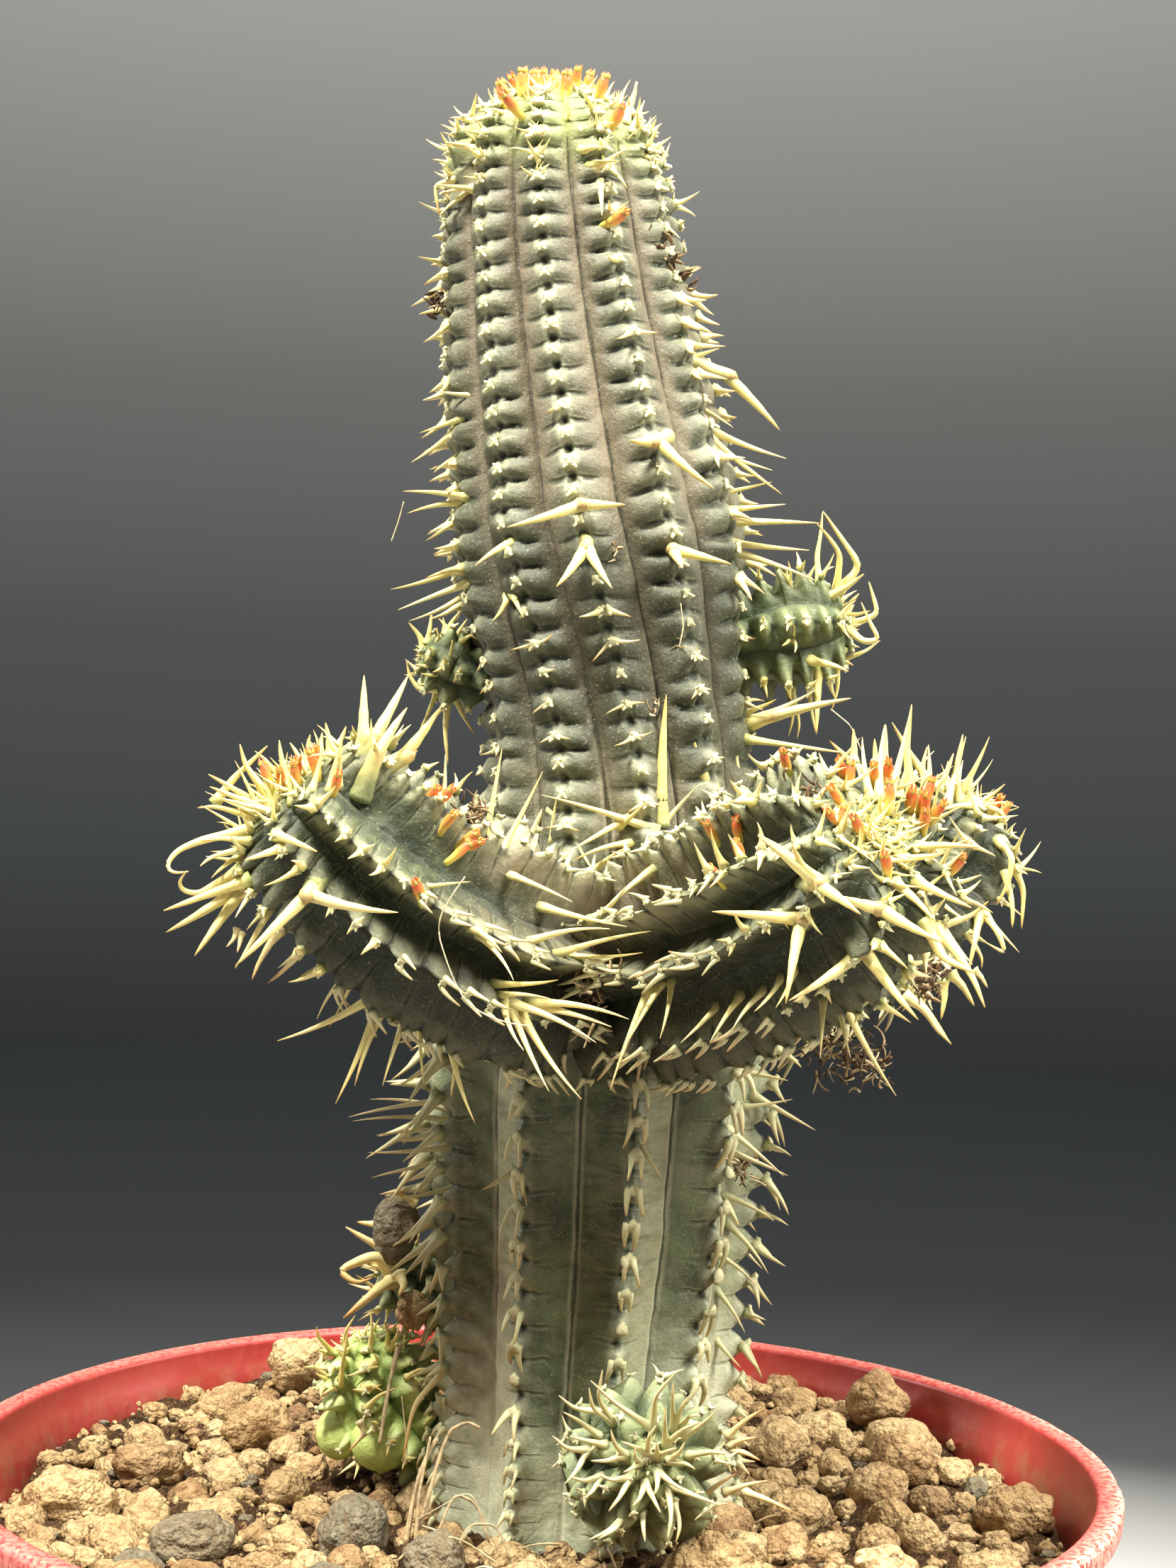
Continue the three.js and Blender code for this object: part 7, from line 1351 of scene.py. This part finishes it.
# dry roots and straws against the foot of the stem
for pts, r in ROOTS:
    P_ = np.array(pts, float)
    tt = np.linspace(0, len(P_) - 1, 22)
    q = np.stack([np.interp(tt, np.arange(len(P_)), P_[:, k]) for k in range(3)], 1)
    for k in range(3):
        q[2:-2, k] = np.convolve(q[:, k], np.ones(5) / 5, "valid")
    sweep(deb, q, np.linspace(r, 0.7 * r, 22) * (1 + 0.14 * np.sin(tt * 5.0)), 6, rnd=0.82)
# loose dry bits between the stones near the stem
for k in range(46):
    t, q = g.random() * 2 * np.pi, 27 + 30 * g.random() ** 1.5
    x, y = 8.3 + q * math.cos(t), 5 + q * math.sin(t)
    if math.hypot(x, y) > 88:
        continue
    z = float(surface(np.array(x), np.array(y))) + 2.2 + g.random() * 1.6
    d = unit(np.array([g.standard_normal(), g.standard_normal(), g.normal(0, 0.25)]))
    l = g.uniform(3, 9)
    sweep(deb, bezier((x, y, z), np.array([x, y, z]) + d * l * 0.5 + [0, 0, 0.8], np.array([x, y, z]) + d * l, 5), np.linspace(0.28, 0.08, 5), 5, rnd=0.5 + 0.5 * g.random())
deb.make("dry_debris", debris_mat, "spine")
# smooth swollen bulbs under the left offset
bulbs = Buf()
for c, abc in (((-35.0, 12, 148.6), (4.2, 4.0, 4.6)), ((-27.4, 8.5, 148.4), (5.4, 4.6, 5.2))):
    V, T = ico(4)
    bulbs.add(V * abc * (1 + 0.04 * vnoise(V, 0.7, 3))[:, None] + c, None, T, pil=0.35, bloom=0.0, fresh=0.25, fd=9.0, cd=9.0)
bulbs.make("offset_base_left_bulbs", skin_fresh, "fresh_skin")

# ------------------------------------------------------------------ stage and light
def stage_material():
    M = Mat("stage", 0.9, spec=0.1)
    sep = N(M.nt, "ShaderNodeSeparateXYZ")
    M.link(M.tc.outputs["Object"], sep.inputs[0])
    x, y, z = sep.outputs
    r = M.math("SQRT", M.math("ADD", M.math("MULTIPLY", x, x), M.math("MULTIPLY", y, y)))
    # painted light and shade: the floor is pale near the pot and dark further out, the wall dark low down and bright
    # higher up, graded against the lamps' falloff to give the background's tones
    floor = M.ramp(M.math("DIVIDE", r, 3.0), [(0.0, (0.44, 0.435, 0.42)), (0.14, (0.4, 0.395, 0.375)), (0.205, (0.04, 0.042, 0.043)), (0.3, (0.02, 0.022, 0.024)), (0.62, (0.031, 0.035, 0.037)), (1.0, (0.06, 0.063, 0.064))])
    wall = M.ramp(M.math("DIVIDE", z, 3.0), [(0.0, (0.05, 0.055, 0.058)), (0.055, (0.062, 0.069, 0.071)), (0.14, (0.1, 0.106, 0.108)), (0.243, (0.215, 0.218, 0.215)), (0.4, (0.5, 0.5, 0.48)), (1.0, (0.56, 0.56, 0.55))])
    up = M.ramp(M.math("DIVIDE", z, 1.0), [(0.02, 0), (0.16, 1)])
    col = M.mix(up, floor, wall)
    M.color(col)
    return M.m
prof2 = [(0.0, 0.0), (0.4, 0.0), (0.9, 0.0), (1.5, 0.0), (2.0, 0.0)]
for a_ in np.linspace(0, 90, 14)[1:]:
    prof2.append((2.0 + 0.7 * math.sin(math.radians(a_)), 0.7 - 0.7 * math.cos(math.radians(a_))))
prof2 += [(2.7, 1.4), (2.7, 2.2), (2.7, 3.2)]
na = 96
me = bpy.data.meshes.new("studio_bowl")
vv, ff = [(0, 0, -0.0004)], []
for r, z in prof2[1:]:
    vv += [(r * math.cos(k * 2 * math.pi / na), r * math.sin(k * 2 * math.pi / na), z - 0.0004) for k in range(na)]
for k in range(na):
    ff.append((0, 1 + k, 1 + (k + 1) % na))
for j in range(len(prof2) - 2):
    for k in range(na):
        k2 = (k + 1) % na
        ff.append((1 + j * na + k, 1 + (j + 1) * na + k, 1 + (j + 1) * na + k2, 1 + j * na + k2))
me.from_pydata(vv, [], ff)
me.polygons.foreach_set("use_smooth", np.ones(len(ff), bool))
me.materials.append(stage_material())
bowl = bpy.data.objects.new("studio_bowl", me)
scene.collection.objects.link(bowl)

def area(name, loc, target, size, power, color=(1, 1, 1)):
    L = bpy.data.lights.new(name, "AREA")
    L.shape, L.size, L.energy, L.color = "DISK", size, power, color
    o = bpy.data.objects.new(name, L)
    d = unit(np.asarray(target, float) - np.asarray(loc, float))
    z = -d
    x = unit(np.cross([0, 1, 0] if abs(z[2]) > 0.99 else [0, 0, 1], z))
    y = np.cross(z, x)
    mm_ = Matrix.Identity(4)
    for i in range(3):
        mm_[i][0], mm_[i][1], mm_[i][2], mm_[i][3] = x[i], y[i], z[i], loc[i]
    o.matrix_world = mm_
    scene.collection.objects.link(o)
area("key", (-0.32, -0.44, 1.26), (0, 0, 0.27), 0.24, 43.0, (1.0, 0.98, 0.92))
area("top", (0.3, 0.04, 1.42), (0, 0, 0.25), 0.36, 20.0, (1.0, 0.98, 0.92))
area("right", (0.62, -0.42, 0.95), (0.05, -0.02, 0.18), 0.3, 19.0, (1.0, 0.98, 0.93))
area("edge_left", (-0.85, 0.1, 0.5), (0, 0, 0.2), 0.25, 3.5, (1.0, 0.98, 0.94))
area("edge_right", (0.85, 0.16, 0.5), (0, 0, 0.2), 0.25, 3.0, (1.0, 0.98, 0.94))
area("fill", (0.3, -1.3, 0.6), (0, 0, 0.25), 1.0, 2.0, (0.97, 0.98, 0.98))
area("backdrop", (0, 1.3, 2.5), (0, 2.7, 1.3), 0.8, 16.0, (1.0, 1.0, 0.98))
w = bpy.data.worlds.new("world")
w.use_nodes = True
w.node_tree.nodes["Background"].inputs["Color"].default_value = (0.84, 0.87, 0.9, 1)
w.node_tree.nodes["Background"].inputs["Strength"].default_value = 0.15
scene.world = w
scene.view_settings.view_transform = "Standard"
scene.view_settings.look = "None"
scene.view_settings.exposure = 0.0
